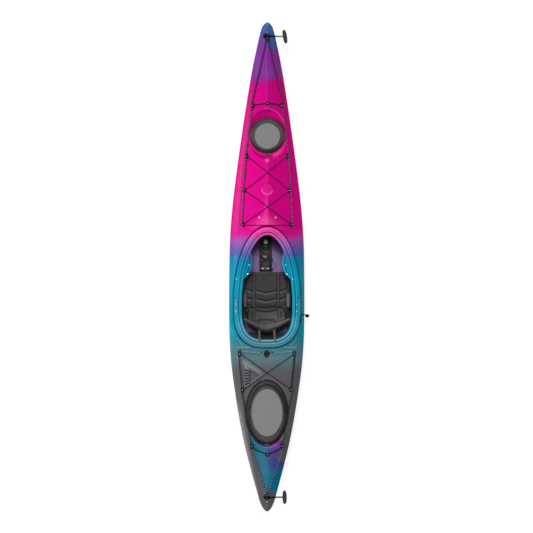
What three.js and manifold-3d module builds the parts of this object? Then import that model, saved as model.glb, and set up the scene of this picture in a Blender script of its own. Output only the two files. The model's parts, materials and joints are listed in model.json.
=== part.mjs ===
// A sea kayak: a one-piece moulded hull and deck with a coaming round the cockpit, a round and an oval
// hatch, deck lines and bungees in screwed fittings, carry toggles, a padded seat, foot braces and a drop skeg.
// Sizes are in millimetres. X points to starboard, Y to the bow and Z up. The origin is on the floor,
// under the middle of the keel. A station is a share of the length, from 0 at the bow to 1 at the stern.
import * as THREE from "three";
import { mergeVertices } from "three/addons/utils/BufferGeometryUtils.js";
import Module from "manifold-3d";

// Hull
const LENGTH = 3810;
const BEAM = 588;
const BOW_HEIGHT = 352;
const WALL = 5;
const COMPASS_SEAT_STATION_SHARE = 0.3404;
const COMPASS_SEAT_RADIUS = 43;
const COMPASS_SEAT_DEPTH = 7;
const CREASE_SHARE = 0.8;
const FIT_GAP = 0.4;
const SEAT_GAP = 0.3;
const CUT_OVERRUN = 60;

// Cockpit and coaming
const COCKPIT_CENTRE_STATION_SHARE = 0.5777;
const COCKPIT_HALF_WIDTH = 197;
const COCKPIT_FORWARD_LENGTH = 543;
const COCKPIT_AFT_LENGTH = 268;
const COAMING_WIDTH = 64;
const COAMING_HEIGHT = 26;
const COAMING_DROP = 46;
const COAMING_SKIN = 6;
const COAMING_WEB_WIDTH = 46;
const COAMING_LIP = 9;
const OPENING_TRIM = 1;
const PEDESTAL_SLOPE = 0.75;

// Hatches
const FRONT_HATCH_STATION_SHARE = 0.2323;
const FRONT_HATCH_RADIUS = 135;
const FRONT_PANEL_RADIUS = 99;
const FRONT_SEAT_HEIGHT_SHARE = 0.8267;
const FRONT_RECESS_HALF_WIDTH = 152;
const FRONT_RECESS_FORWARD = 211;
const FRONT_RECESS_AFT = 182;
const REAR_HATCH_STATION_SHARE = 0.7979;
const REAR_HATCH_HALF_WIDTH = 154;
const REAR_HATCH_HALF_LENGTH = 240;
const REAR_PANEL_HALF_WIDTH = 112;
const REAR_PANEL_HALF_LENGTH = 184;
const REAR_SEAT_HEIGHT_SHARE = 0.6903;
const REAR_RECESS_MARGIN = 30;
const RECESS_LEDGE = 7;
const RECESS_SLOPE_LEAST = 1;
const RIM_WALL = 6;
const RIM_FLANGE = 24;
const RIM_FLANGE_THICKNESS = 4;
const RIM_RISE = 15;
const RIM_DEPTH = 22;
const COVER_SKIRT = 26;
const COVER_STEP_HEIGHT = 9;
const COVER_TOP_HEIGHT = 27;
const COVER_SKIN = 5;
const PANEL_THICKNESS = 4;
const PULL_TAB_LENGTH = 16;
const PULL_TAB_WIDTH = 34;

// Deck cord and its fittings
const LINE_DIAMETER = 5.6;
const BUNGEE_DIAMETER = 5;
const CORD_SIDES = 6;
const CORD_REACH = 95;
const CORD_LAY = 1.2;
const CROSS_EASE_SHARE = 0.35;
const TUNNEL_HEIGHT = 6.5;
const TUNNEL_CLEARANCE = 0.4;
const FITTING_LENGTH = 46;
const FITTING_WIDTH = 32;
const FITTING_HEIGHT = 15;
const LINE_OFFSET = 6.5;
const BUNGEE_OFFSET = 6;
const CROSSING_RISE = 6;

// Carry toggles
const EYE_STATION_SHARE = 0.0289;
const EYE_SCREW_SPACING = 66;
const EYE_FOOT_LENGTH = 22;
const EYE_FOOT_WIDTH = 15;
const EYE_BAR_WIDTH = 8;
const EYE_BAR_THICKNESS = 5;
const EYE_BAR_RISE = 14;
const HAND_RECESS_HALF_WIDTH = 31;
const HAND_RECESS_HALF_LENGTH = 20;
const HAND_RECESS_DEPTH = 14;
const TOGGLE_CORD_DIAMETER = 6;
const TOGGLE_LOOP_RADIUS = 12.5;
const TOGGLE_LENGTH = 105;
const TOGGLE_DIAMETER = 30;
const TOGGLE_REACH = 138;
const TOGGLE_SAG = 12;
const TOGGLE_SIDES = 8;
const STRAND_RISE_SHARES = [1.2, 2.2];
const GUNWALE_RISE_SHARE = 1.1;

// Seat
const SEAT_HALF_WIDTH = 176;
const SEAT_FRONT = -38;
const SEAT_LENGTH = 292;
const SEAT_BASE_HEIGHT = 42;
const CUSHION_THICKNESS = 34;
const CHANNEL_DEPTH = 9;
const CHANNEL_WIDTH = 15;
const WING_THICKNESS = 5;
const PAN_WALL = 6;
const PAN_RIB_SHARE = 0.5;
const WING_LENGTH = 150;
const WING_TOP_DROP = 14;
const HIP_PAD_THICKNESS = 20;
const HIP_PAD_LENGTH = 126;
const HIP_PAD_HEIGHT = 116;
const BACKREST_HALF_WIDTH = 172;
const BACKREST_HEIGHT = 196;
const BACKREST_PAD_THICKNESS = 46;
const BACKREST_FRAME_THICKNESS = 7;
const BACKREST_TILT_DEGREES = 26;
const BACKREST_WRAP = 34;
const BACKREST_FLARE = 84;
const FLARE_PLACE_SHARE = 0.1;
const HINGE_DIAMETER = 12;
const HINGE_HEIGHT = 86;
const HINGE_LUG_WIDTH = 14;
const HINGE_SPACING = 150;
const HINGE_CLEARANCE = 0.4;
const STRAP_WIDTH = 17;
const STRAP_THICKNESS = 2.4;
const STRAP_OFFSET = 60;
const STRAP_PLACE_SHARE = 0.72;
const CHANNEL_OFFSET = 95;
const PAD_INSET = 5;
const CUSHION_ACROSS = 17;
const CUSHION_ALONG = 13;
const CUSHION_ROUND_SHARE = 0.22;
const CUSHION_TAPER_SHARE = 0.26;
const CUSHION_EDGE_SHARE = 0.45;
const CUSHION_NOSE_SHARE = 0.12;
const BOLSTER_SHARE = 0.3;
const SEAM_SHARES = [-0.36, -0.2, -0.04];
const SEAM_V_SHARE = 0.06;
const SEAM_DEPTH_SHARE = 0.5;
const PAD_ROUND_SHARE = 0.3;
const PAD_EDGE_SHARE = 0.4;
const BACKREST_ROUND_SHARE = 0.3;
const BACKREST_TAPER_SHARE = 0.3;
const BACKREST_DROOP_SHARE = 0.12;
const COLLAR_SHARE = 0.3;
const COLLAR_PLACE_SHARE = 0.45;
const COLLAR_BREADTH_SHARE = 0.12;

// Seat track and its ratchet
const TRACK_WIDTH = 98;
const TRACK_LENGTH = 318;
const TRACK_HEIGHT = 13;
const TRACK_RAIL_WIDTH = 14;
const TRACK_RAIL_RISE = 8;
const TRACK_BOX_LENGTH = 96;
const TRACK_BOX_WIDTH = 58;
const TRACK_BOX_HEIGHT = 30;
const RATCHET_WIDTH = 40;
const RATCHET_LENGTH = 52;
const RATCHET_THICKNESS = 5;
const RATCHET_POST_HEIGHT = 14;
const RATCHET_PIN_DIAMETER = 5;
const RATCHET_PLACE_SHARE = -0.1;
const TRACK_BOX_PLACE_SHARE = 0.2;
const BOLT_DIAMETER = 30;

// Thigh braces
const BRACE_THICKNESS = 7;
const BRACE_DROP = 5;
const BRACE_SAG = 9;

// Foot braces
const FOOT_RAIL_LENGTH = 400;
const FOOT_RAIL_HEIGHT = 26;
const FOOT_RAIL_THICKNESS = 9;
const FOOT_RAIL_STANDOFF = 14;
const FOOT_RAIL_AFT_STATION_SHARE = 0.412;
const FOOT_RAIL_LEVEL = 140;
const PEDAL_WIDTH = 78;
const PEDAL_HEIGHT = 112;
const PEDAL_THICKNESS = 12;
const PEDAL_SADDLE_LENGTH = 54;
const PEDAL_SADDLE_WALL = 5;
const RAIL_END_LENGTH = 34;
const RUNNING_GAP = 0.6;

// Bulkheads
const BULKHEAD_THICKNESS = 20;
const FRONT_BULKHEAD_STATION_SHARE = 0.281;
const REAR_BULKHEAD_STATION_SHARE = 0.696;

// Skeg
const SKEG_PIVOT_STATION_SHARE = 0.856;
const SKEG_PIVOT_HEIGHT = 60;
const SKEG_HUB_RADIUS = 34;
const SKEG_BLADE_LENGTH = 270;
const SKEG_BLADE_DEPTH = 92;
const SKEG_BLADE_THICKNESS = 9;
const SKEG_TRUNNION_DIAMETER = 12;
const SKEG_SLOT_WIDTH = 15;
const SKEG_BOX_WALL = 6;
const SKEG_BOX_HEIGHT = 142;
const SKEG_END_ROOM = 14;
const SKEG_TUBE_DIAMETER = 9;
const CLEAT_LENGTH = 66;
const CLEAT_WIDTH = 17;
const CLEAT_HEIGHT = 15;
const SKEG_CORD_DIAMETER = 5;
const KNOB_DIAMETER = 28;
const KNOB_HANG = 78;

// Security bar
const BAR_CLEARANCE = 38;
const BAR_LENGTH = 84;
const BAR_WIDTH = 13;
const BAR_HEIGHT = 12;
const BAR_DISH_HALF_WIDTH = 19;
const BAR_DISH_HALF_LENGTH = 36;
const BAR_DISH_DEPTH = 17;

// Half beam along the boat: station share, share of half the beam.
const BEAM_SHARES = [
  [0, 0.02], [0.004, 0.085], [0.011, 0.15], [0.036, 0.246], [0.085, 0.37], [0.158, 0.528], [0.22, 0.65],
  [0.293, 0.782], [0.367, 0.9], [0.441, 0.975], [0.539, 1], [0.637, 0.99], [0.698, 0.94], [0.76, 0.834],
  [0.821, 0.702], [0.87, 0.57], [0.919, 0.41], [0.956, 0.278], [0.981, 0.185], [0.992, 0.12],
  [0.997, 0.07], [1, 0.02],
];

// Heights along the boat: station share, share of the bow height.
const KEEL_SHARES = [
  [0, 0.86], [0.006, 0.62], [0.018, 0.42], [0.04, 0.235], [0.07, 0.125], [0.12, 0.05], [0.19, 0.01],
  [0.25, 0], [0.5, 0], [0.75, 0], [0.82, 0.012], [0.88, 0.045], [0.93, 0.105], [0.965, 0.205],
  [0.985, 0.36], [0.994, 0.5], [1, 0.66],
];
const SHEER_SHARES = [
  [0, 0.93], [0.05, 0.865], [0.15, 0.755], [0.3, 0.665], [0.42, 0.64], [0.54, 0.625], [0.66, 0.612],
  [0.75, 0.61], [0.85, 0.64], [0.95, 0.725], [1, 0.775],
];
const CREASE_SHARES = [
  [0, 0.975], [0.05, 0.93], [0.15, 0.845], [0.3, 0.775], [0.42, 0.77], [0.54, 0.735], [0.66, 0.7],
  [0.75, 0.685], [0.85, 0.705], [0.95, 0.785], [1, 0.825],
];
const RIDGE_SHARES = [
  [0, 1], [0.05, 0.985], [0.15, 0.95], [0.3, 0.95], [0.42, 0.985], [0.54, 0.86], [0.66, 0.735],
  [0.75, 0.72], [0.85, 0.74], [0.95, 0.815], [1, 0.85],
];
const RIM_SHARES = [
  [0.38, 1.08], [0.41, 1.062], [0.44, 1.035], [0.5, 0.945], [0.56, 0.87], [0.62, 0.825], [0.67, 0.805],
  [0.7, 0.8],
];

// How sharply the deck is peaked: station share, power of the fall from the ridge.
const PEAK_SHARES = [
  [0, 1.4], [0.1, 1.15], [0.4, 1.25], [0.5, 1.8], [0.66, 2.4], [0.9, 2.2], [1, 1.6],
];

// Half section below the sheer, as shares of the half beam and of the height from keel to sheer.
const MIDSHIP_SECTION_SHARES = [
  [0, 0], [0.36, 0], [0.62, 0.045], [0.8, 0.14], [0.915, 0.34], [0.975, 0.66], [1, 1],
];
const END_SECTION_SHARES = [
  [0, 0], [0.17, 0.05], [0.36, 0.17], [0.56, 0.36], [0.75, 0.58], [0.9, 0.8], [1, 1],
];
// How much of the midship section there is: station share, share.
const FULLNESS_SHARES = [
  [0, 0], [0.06, 0.08], [0.16, 0.5], [0.26, 1], [0.5, 1], [0.74, 1], [0.84, 0.6], [0.94, 0.12], [1, 0],
];
const DECK_ACROSS_SHARES = [0.93, CREASE_SHARE, 0.65, 0.47, 0.29, 0.13, 0];
const INNER_ACROSS_SHARES = [0.93, CREASE_SHARE, 0.65, 0.47, 0.29, 0];

// Stations of the hull's rings, closer together at the ends, the hatches and the cockpit.
const HULL_STATION_SHARES = [
  0.0006, 0.0025, 0.006, 0.012, 0.022, 0.037, 0.056, 0.08, 0.115, 0.15, 0.172, 0.185, 0.205, 0.232, 0.26, 0.281,
  0.31, 0.345, 0.38, 0.405, 0.43, 0.46, 0.5, 0.54, 0.58, 0.615, 0.64, 0.655, 0.68, 0.705, 0.727, 0.755, 0.8,
  0.845, 0.87, 0.888, 0.915, 0.94, 0.96, 0.976, 0.988, 0.9945, 0.998, 0.9994,
];
const INNER_STATION_SHARES = [
  0.0025, 0.022, 0.056, 0.115, 0.172, 0.185, 0.205, 0.232, 0.26, 0.281, 0.345, 0.38, 0.405, 0.43, 0.5, 0.58,
  0.615, 0.64, 0.655, 0.68, 0.705, 0.727, 0.755, 0.8, 0.845, 0.87, 0.888, 0.94, 0.976, 0.998,
];
const CAVITY_STATION_SHARES = [
  0.018, 0.035, 0.07, 0.12, 0.18, 0.25, 0.33, 0.42, 0.5, 0.58, 0.67, 0.75, 0.81, 0.87, 0.92, 0.955, 0.982,
];

// Deck fittings: station share, share of the half beam there, and which cords run through.
const PAIRED_FITTINGS = [
  { name: "bow_fitting_a", along: 0.1703, across: 0.695, line: true, cross: true },
  { name: "bow_fitting_b", along: 0.2743, across: 0.73, line: true, bungee: true },
  { name: "bow_fitting_c", along: 0.3436, across: 0.7, line: true, bungee: true },
  { name: "bow_fitting_d", along: 0.4131, across: 0.675, line: true, bungee: true },
  { name: "stern_fitting_a", along: 0.6777, across: 0.755, line: true, bungee: true },
  { name: "stern_fitting_b", along: 0.7514, across: 0.76, line: true, bungee: true },
  { name: "stern_fitting_c", along: 0.8667, across: 0.7, line: true, cross: true },
];
const CENTRE_FITTINGS = [
  { name: "bow_fitting_centre", along: 0.1656 },
  { name: "stern_fitting_centre", along: 0.884 },
];

// Half of a handle's outline: share along it, share of its thickness.
const TOGGLE_SHAPE_SHARES = [
  [-1, 0.36], [-0.93, 0.6], [-0.66, 0.86], [0, 1], [0.66, 0.86], [0.93, 0.6], [1, 0.36],
];

// Inner edge of a thigh brace: share of the cockpit's length ahead of its widest place, share of its half width.
const BRACE_EDGE_SHARES = [
  [0.36, 0.945], [0.4, 0.84], [0.44, 0.72], [0.5, 0.65], [0.56, 0.605], [0.62, 0.588], [0.69, 0.6], [0.745, 0.63],
  [0.775, 0.67],
];

// The skeg blade's outline: share of its length behind the pivot, share of its depth above its foot.
const BLADE_SHARES = [
  [0, 0.02], [0.5, 0.06], [0.9, 0.16], [0.97, 0.24], [1, 0.4], [0.97, 0.7], [0.9, 0.95], [0.8, 1.03], [0.4, 0.98],
  [0, 0.74],
];

// Where the skeg's tube runs: shares across, back from the cleat and up.
const TUBE_SHARES = [
  [0.2, 0.95, 0.52], [0.47, 0.86, 0.5], [0.65, 0.74, 0.5], [0.75, 0.6, 0.5], [0.83, 0.45, 0.5], [0.9, 0.3, 0.55],
  [0.96, 0.17, 0.62],
];

const UP = new THREE.Vector3(0, 0, 1);
const RIGHT = new THREE.Vector3(1, 0, 0);
const FORWARD = new THREE.Vector3(0, 1, 0);

const wasm = await Module();
wasm.setup();

// Curves and places on the boat

// A smooth curve through a table of pairs, by cubic Hermite spans.
function through(table) {
  const slope = (i) => {
    const before = table[Math.max(0, i - 1)];
    const after = table[Math.min(table.length - 1, i + 1)];
    return (after[1] - before[1]) / (after[0] - before[0]);
  };
  return (at) => {
    const x = Math.min(Math.max(at, table[0][0]), table[table.length - 1][0]);
    let i = 0;
    while (i < table.length - 2 && x > table[i + 1][0]) i += 1;
    const [x0, y0] = table[i];
    const [x1, y1] = table[i + 1];
    const span = x1 - x0;
    const t = (x - x0) / span;
    const a = (1 + 2 * t) * (1 - t) ** 2;
    const b = t * (1 - t) ** 2;
    const c = t ** 2 * (3 - 2 * t);
    const d = t ** 2 * (t - 1);
    return a * y0 + b * span * slope(i) + c * y1 + d * span * slope(i + 1);
  };
}

const beamShare = through(BEAM_SHARES);
const keelShare = through(KEEL_SHARES);
const sheerShare = through(SHEER_SHARES);
const creaseShare = through(CREASE_SHARES);
const ridgeShare = through(RIDGE_SHARES);
const rimShare = through(RIM_SHARES);
const peakPower = through(PEAK_SHARES);
const fullness = through(FULLNESS_SHARES);

const stationOf = (y) => 0.5 - y / LENGTH;
const placeOf = (station) => (0.5 - station) * LENGTH;
const halfBeam = (station) => (BEAM / 2) * beamShare(station);
const keelHeight = (station) => BOW_HEIGHT * Math.max(0, keelShare(station));
const rimHeight = (y) => BOW_HEIGHT * rimShare(stationOf(y));
const smooth = (t) => {
  const held = Math.min(Math.max(t, 0), 1);
  return held * held * (3 - 2 * held);
};

const COCKPIT_Y = placeOf(COCKPIT_CENTRE_STATION_SHARE);
const FRONT_HATCH_Y = placeOf(FRONT_HATCH_STATION_SHARE);
const FRONT_SEAT_HEIGHT = BOW_HEIGHT * FRONT_SEAT_HEIGHT_SHARE;
const REAR_HATCH_Y = placeOf(REAR_HATCH_STATION_SHARE);
const REAR_SEAT_HEIGHT = BOW_HEIGHT * REAR_SEAT_HEIGHT_SHARE;
const BAR_Y = COCKPIT_Y - COCKPIT_AFT_LENGTH - COAMING_WIDTH - BAR_CLEARANCE;
const BOW_EYE_Y = placeOf(EYE_STATION_SHARE);
const STERN_EYE_Y = -BOW_EYE_Y;

// A point of the cockpit's egg-shaped opening, set outward by an offset.
function cockpitPoint(turn, offset) {
  const at = (angle) => {
    const power = Math.sin(angle) > 0 ? 1 : 2 / 3;
    const long = Math.sin(angle) > 0 ? COCKPIT_FORWARD_LENGTH : COCKPIT_AFT_LENGTH;
    const across = Math.sign(Math.cos(angle)) * Math.abs(Math.cos(angle)) ** power;
    const along = Math.sign(Math.sin(angle)) * Math.abs(Math.sin(angle)) ** power;
    return new THREE.Vector2(COCKPIT_HALF_WIDTH * across, COCKPIT_Y + long * along);
  };
  const step = 1e-3;
  const ahead = at(turn + step).sub(at(turn - step)).normalize();
  return at(turn).add(new THREE.Vector2(ahead.y, -ahead.x).multiplyScalar(offset));
}

// How far a place lies outside the cockpit's opening, square to its edge.
function cockpitDistance(x, y) {
  const forward = y > COCKPIT_Y;
  const power = forward ? 2 : 3;
  const long = forward ? COCKPIT_FORWARD_LENGTH : COCKPIT_AFT_LENGTH;
  const across = Math.abs(x) / COCKPIT_HALF_WIDTH;
  const along = Math.abs(y - COCKPIT_Y) / long;
  const share = Math.max((across ** power + along ** power) ** (1 / power), 0.01);
  const [a, b] = [(across / share) ** (power - 1), (along / share) ** (power - 1)];
  return (share - 1) / Math.hypot(a / COCKPIT_HALF_WIDTH, b / long);
}

// The deck without its recesses: a bevel from the sheer to the crease, then a peak to the ridge.
function plainDeck(x, y) {
  const station = stationOf(y);
  const across = Math.min(Math.abs(x) / halfBeam(station), 1);
  const sheer = BOW_HEIGHT * sheerShare(station);
  const crease = BOW_HEIGHT * creaseShare(station);
  const ridge = BOW_HEIGHT * ridgeShare(station);
  if (across > CREASE_SHARE) {
    return sheer + (crease - sheer) * ((1 - across) / (1 - CREASE_SHARE)) ** 0.8;
  }
  return ridge + (crease - ridge) * (across / CREASE_SHARE) ** peakPower(station);
}

// How much of a flat hatch seat there is at a place, from 0 outside its recess to 1 on the seat.
function seatShare(x, y, seat) {
  const away = Math.hypot(x, y - seat.y);
  if (away < RECESS_SLOPE_LEAST) return 1;
  const long = y > seat.y ? seat.forward : seat.aft;
  const ray = (across, along) => away / Math.hypot(x / across, (y - seat.y) / along);
  const outer = ray(seat.halfWidth, long);
  const inner = Math.min(ray(seat.flatWidth, seat.flatLength), outer - RECESS_SLOPE_LEAST);
  return smooth((outer - away) / (outer - inner));
}

const FRONT_SEAT = {
  y: FRONT_HATCH_Y,
  height: FRONT_SEAT_HEIGHT,
  halfWidth: FRONT_RECESS_HALF_WIDTH,
  forward: FRONT_RECESS_FORWARD,
  aft: FRONT_RECESS_AFT,
  flatWidth: FRONT_HATCH_RADIUS + RECESS_LEDGE,
  flatLength: FRONT_HATCH_RADIUS + RECESS_LEDGE,
};
const REAR_SEAT = {
  y: REAR_HATCH_Y,
  height: REAR_SEAT_HEIGHT,
  halfWidth: REAR_HATCH_HALF_WIDTH + 2 * RECESS_LEDGE,
  forward: REAR_HATCH_HALF_LENGTH + REAR_RECESS_MARGIN,
  aft: REAR_HATCH_HALF_LENGTH + REAR_RECESS_MARGIN,
  flatWidth: REAR_HATCH_HALF_WIDTH + RECESS_LEDGE,
  flatLength: REAR_HATCH_HALF_LENGTH + RECESS_LEDGE,
};

// The deck's height, with the hatch seats cut in and the cockpit's pedestal raised.
function deckHeight(x, y) {
  let height = plainDeck(x, y);
  for (const seat of [FRONT_SEAT, REAR_SEAT]) {
    const share = seatShare(x, y, seat);
    height += (seat.height - height) * share;
  }
  const outside = Math.max(0, cockpitDistance(x, y) - COAMING_WEB_WIDTH);
  const pedestal = rimHeight(y) - COAMING_HEIGHT - PEDESTAL_SLOPE * outside;
  const across = Math.abs(x) / halfBeam(stationOf(y));
  if (across < CREASE_SHARE || pedestal < height) return Math.max(height, pedestal);
  return height + (pedestal - height) * smooth((1 - across) / (1 - CREASE_SHARE) / 0.4);
}

// Solids

function solidOf(geometry) {
  const bare = new THREE.BufferGeometry();
  const source = geometry.index ? geometry.toNonIndexed() : geometry;
  bare.setAttribute("position", source.getAttribute("position"));
  const merged = mergeVertices(bare, 1e-4);
  const points = merged.attributes.position.array;
  const faces = new Uint32Array(merged.index.array);
  let volume = 0;
  for (let i = 0; i < faces.length; i += 3) {
    const [a, b, c] = [0, 1, 2].map((k) => new THREE.Vector3().fromArray(points, 3 * faces[i + k]));
    volume += a.dot(b.cross(c));
  }
  if (volume < 0) {
    for (let i = 0; i < faces.length; i += 3) {
      [faces[i], faces[i + 1]] = [faces[i + 1], faces[i]];
    }
  }
  return new wasm.Manifold(new wasm.Mesh({ numProp: 3, vertProperties: points, triVerts: faces }));
}

function geometryOf(solid) {
  const made = solid.getMesh();
  const points = new Float32Array(made.numVert * 3);
  for (let i = 0; i < made.numVert; i += 1) {
    points.set(made.vertProperties.subarray(i * made.numProp, i * made.numProp + 3), i * 3);
  }
  const geometry = new THREE.BufferGeometry();
  geometry.setAttribute("position", new THREE.BufferAttribute(points, 3));
  geometry.setIndex(new THREE.BufferAttribute(new Uint32Array(made.triVerts), 1));
  geometry.computeVertexNormals();
  return geometry;
}

// The largest single body of a solid, so that a slice left loose by a cut is dropped.
function largest(solid) {
  const bodies = solid.decompose().sort((a, b) => b.volume() - a.volume());
  return bodies[0];
}

// A closed body from rings of points, with its two ends fanned shut, or joined up as a hoop.
function loft(rings, hoop = false) {
  const count = rings[0].length;
  const points = rings.flat();
  const faces = [];
  const spans = hoop ? rings.length : rings.length - 1;
  for (let i = 0; i < spans; i += 1) {
    const here = i * count;
    const next = ((i + 1) % rings.length) * count;
    for (let j = 0; j < count; j += 1) {
      const k = (j + 1) % count;
      faces.push(here + j, here + k, next + k, here + j, next + k, next + j);
    }
  }
  if (!hoop) {
    for (const [ring, first, flip] of [[rings[0], 0, false], [rings.at(-1), (rings.length - 1) * count, true]]) {
      const centre = ring.reduce((sum, p) => sum.add(p), new THREE.Vector3()).divideScalar(count);
      const middle = points.push(centre) - 1;
      for (let j = 0; j < count; j += 1) {
        const k = (j + 1) % count;
        faces.push(middle, first + (flip ? j : k), first + (flip ? k : j));
      }
    }
  }
  const geometry = new THREE.BufferGeometry();
  const places = new Float32Array(points.flatMap((p) => [p.x, p.y, p.z]));
  geometry.setAttribute("position", new THREE.BufferAttribute(places, 3));
  geometry.setIndex(faces);
  return solidOf(geometry);
}

function box(width, length, height, x, y, z) {
  return solidOf(new THREE.BoxGeometry(width, length, height).translate(x, y, z));
}

// An ellipsoid about a point.
function ellipsoid(x, y, z, halfWidth, halfLength, halfHeight, around = 12, down = 8) {
  const ball = new THREE.SphereGeometry(1, around, down).rotateX(Math.PI / 2);
  return solidOf(ball.scale(halfWidth, halfLength, halfHeight).translate(x, y, z));
}

// A rod along a row axis, centred on a point.
function rod(diameter, length, x, y, z, axis, sides = 16) {
  const made = new THREE.CylinderGeometry(diameter / 2, diameter / 2, length, sides);
  const turn = new THREE.Quaternion().setFromUnitVectors(FORWARD, axis);
  return solidOf(made.applyQuaternion(turn).translate(x, y, z));
}

// An outline function for a hatch: an ellipse, drawn in by an inset.
const oval = (centreY, halfWidth, halfLength) => (turn, inset) =>
  new THREE.Vector2(
    (halfWidth - inset) * Math.cos(turn),
    centreY + (halfLength - inset) * Math.sin(turn),
  );

// A lid-like body: each pair is an inset from the outline and a height, from top middle to bottom middle.
function lid(outline, profile, count) {
  const rings = profile.map(([inset, z]) =>
    Array.from({ length: count }, (_, i) => {
      const p = outline((2 * Math.PI * i) / count, inset);
      return new THREE.Vector3(p.x, p.y, z);
    }),
  );
  return loft(rings);
}

// A hoop round an outline, from a closed profile of offsets and heights.
function hoop(outline, profile, count, heightAt = () => 0) {
  const rings = Array.from({ length: count }, (_, i) => {
    const turn = (2 * Math.PI * i) / count;
    return profile.map(([offset, z]) => {
      const p = outline(turn, offset);
      return new THREE.Vector3(p.x, p.y, z + heightAt(p.y));
    });
  });
  return loft(rings, true);
}

// The hull and its inside

function hullRing(station, grow, marks) {
  const half = halfBeam(station) + grow;
  const keel = keelHeight(station) - grow;
  const sheer = BOW_HEIGHT * sheerShare(station);
  const share = Math.min(Math.max(fullness(station), 0), 1);
  const y = placeOf(station);
  const lower = MIDSHIP_SECTION_SHARES.map(([across, up], i) => {
    const [endAcross, endUp] = END_SECTION_SHARES[i];
    const x = half * (endAcross + (across - endAcross) * share);
    const rise = endUp + (up - endUp) * share;
    return new THREE.Vector3(x, y, keel + (sheer - keel) * rise);
  });
  const upper = marks.map((across) => {
    const x = halfBeam(station) * across;
    return new THREE.Vector3(x, y, deckHeight(x, y) + grow);
  });
  const starboard = [...lower, ...upper];
  const port = starboard.slice(1, -1).reverse().map((p) => new THREE.Vector3(-p.x, p.y, p.z));
  return [...starboard, ...port];
}

const hullBody = (grow, stations = HULL_STATION_SHARES, marks = DECK_ACROSS_SHARES) =>
  loft(stations.map((station) => hullRing(station, grow, marks)));

const HATCH_STEPS = 22;
const frontOutline = oval(FRONT_HATCH_Y, FRONT_HATCH_RADIUS, FRONT_HATCH_RADIUS);
const rearOutline = oval(REAR_HATCH_Y, REAR_HATCH_HALF_WIDTH, REAR_HATCH_HALF_LENGTH);
const HATCH_SEATS = [
  [frontOutline, FRONT_SEAT_HEIGHT, FRONT_HATCH_Y - FRONT_HATCH_RADIUS],
  [rearOutline, REAR_SEAT_HEIGHT, REAR_HATCH_Y - REAR_HATCH_HALF_LENGTH],
];

// The space inside the walls, drawn in by a further clearance.
function cavity(clearance) {
  const inset = WALL + clearance;
  const rings = CAVITY_STATION_SHARES.map((station) => {
    const half = halfBeam(station) - inset;
    const keel = keelHeight(station) + inset;
    const sheer = BOW_HEIGHT * sheerShare(station);
    const share = Math.min(Math.max(fullness(station), 0), 1);
    const y = placeOf(station);
    const side = MIDSHIP_SECTION_SHARES.map(([across, up], i) => {
      const [endAcross, endUp] = END_SECTION_SHARES[i];
      const x = half * (endAcross + (across - endAcross) * share);
      return new THREE.Vector3(x, y, keel + (sheer - keel) * (endUp + (up - endUp) * share));
    });
    const above = BOW_HEIGHT + CUT_OVERRUN;
    side.push(new THREE.Vector3(half, y, above), new THREE.Vector3(0, y, above));
    const port = side.slice(1, -1).reverse().map((p) => new THREE.Vector3(-p.x, p.y, p.z));
    return [...side, ...port];
  });
  const top = hullBody(0, INNER_STATION_SHARES, INNER_ACROSS_SHARES);
  let room = loft(rings).intersect(top.translate([0, 0, -inset]));
  for (const [outline, seat] of HATCH_SEATS) {
    const margin = RECESS_LEDGE + PULL_TAB_LENGTH;
    room = room.subtract(plug(outline, -margin, seat - inset, seat + CUT_OVERRUN, HATCH_STEPS));
  }
  return room;
}

const COAMING_STEPS = 34;

// The coaming: an inner wall, a broad top with a shallow valley, and a lip that a spray deck grips.
function coamingRing() {
  const lipInner = COAMING_WEB_WIDTH;
  const lipTop = COAMING_WIDTH;
  const profile = [
    [0, -COAMING_DROP],
    [0, -COAMING_SKIN],
    [COAMING_SKIN, 0],
    [lipInner * 0.66, -COAMING_SKIN / 2],
    [lipInner, 0],
    [lipTop - COAMING_SKIN / 2, -COAMING_SKIN / 3],
    [lipTop, -COAMING_LIP - COAMING_SKIN / 2],
    [lipTop - COAMING_SKIN, -COAMING_LIP - COAMING_SKIN / 2],
    [lipInner, -COAMING_LIP],
    [lipInner, -COAMING_HEIGHT - WALL],
    [COAMING_SKIN, -COAMING_DROP],
  ];
  return hoop(cockpitPoint, profile, COAMING_STEPS, rimHeight);
}

// The hollow under the coaming's top, open to the inside of the hull.
function coamingHollow() {
  const inner = COAMING_SKIN;
  const outer = COAMING_WEB_WIDTH - COAMING_SKIN / 2;
  const profile = [
    [inner, -COAMING_DROP - CUT_OVERRUN / 4],
    [inner, -COAMING_SKIN * 1.5],
    [outer, -COAMING_SKIN * 1.5],
    [outer, -COAMING_DROP - CUT_OVERRUN / 4],
  ];
  return hoop(cockpitPoint, profile, COAMING_STEPS, rimHeight);
}

// A straight-sided plug on an outline, used to cut openings.
function plug(outline, offset, low, high, count) {
  const rings = [low, high].map((z) =>
    Array.from({ length: count }, (_, i) => {
      const p = outline((2 * Math.PI * i) / count, offset);
      return new THREE.Vector3(p.x, p.y, z);
    }),
  );
  return loft(rings);
}

const rimOuterInset = COVER_SKIRT + FIT_GAP;

const SKEG_PIVOT_Y = placeOf(SKEG_PIVOT_STATION_SHARE);
const SLOT_FRONT = SKEG_PIVOT_Y + SKEG_HUB_RADIUS + SKEG_END_ROOM;
const SLOT_BACK = SKEG_PIVOT_Y - SKEG_BLADE_LENGTH - SKEG_END_ROOM;

const CLEAT_X = BEAM / 2 - COAMING_WIDTH / 2;
const CLEAT_Y = COCKPIT_Y - CLEAT_LENGTH * 1.7;

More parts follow.
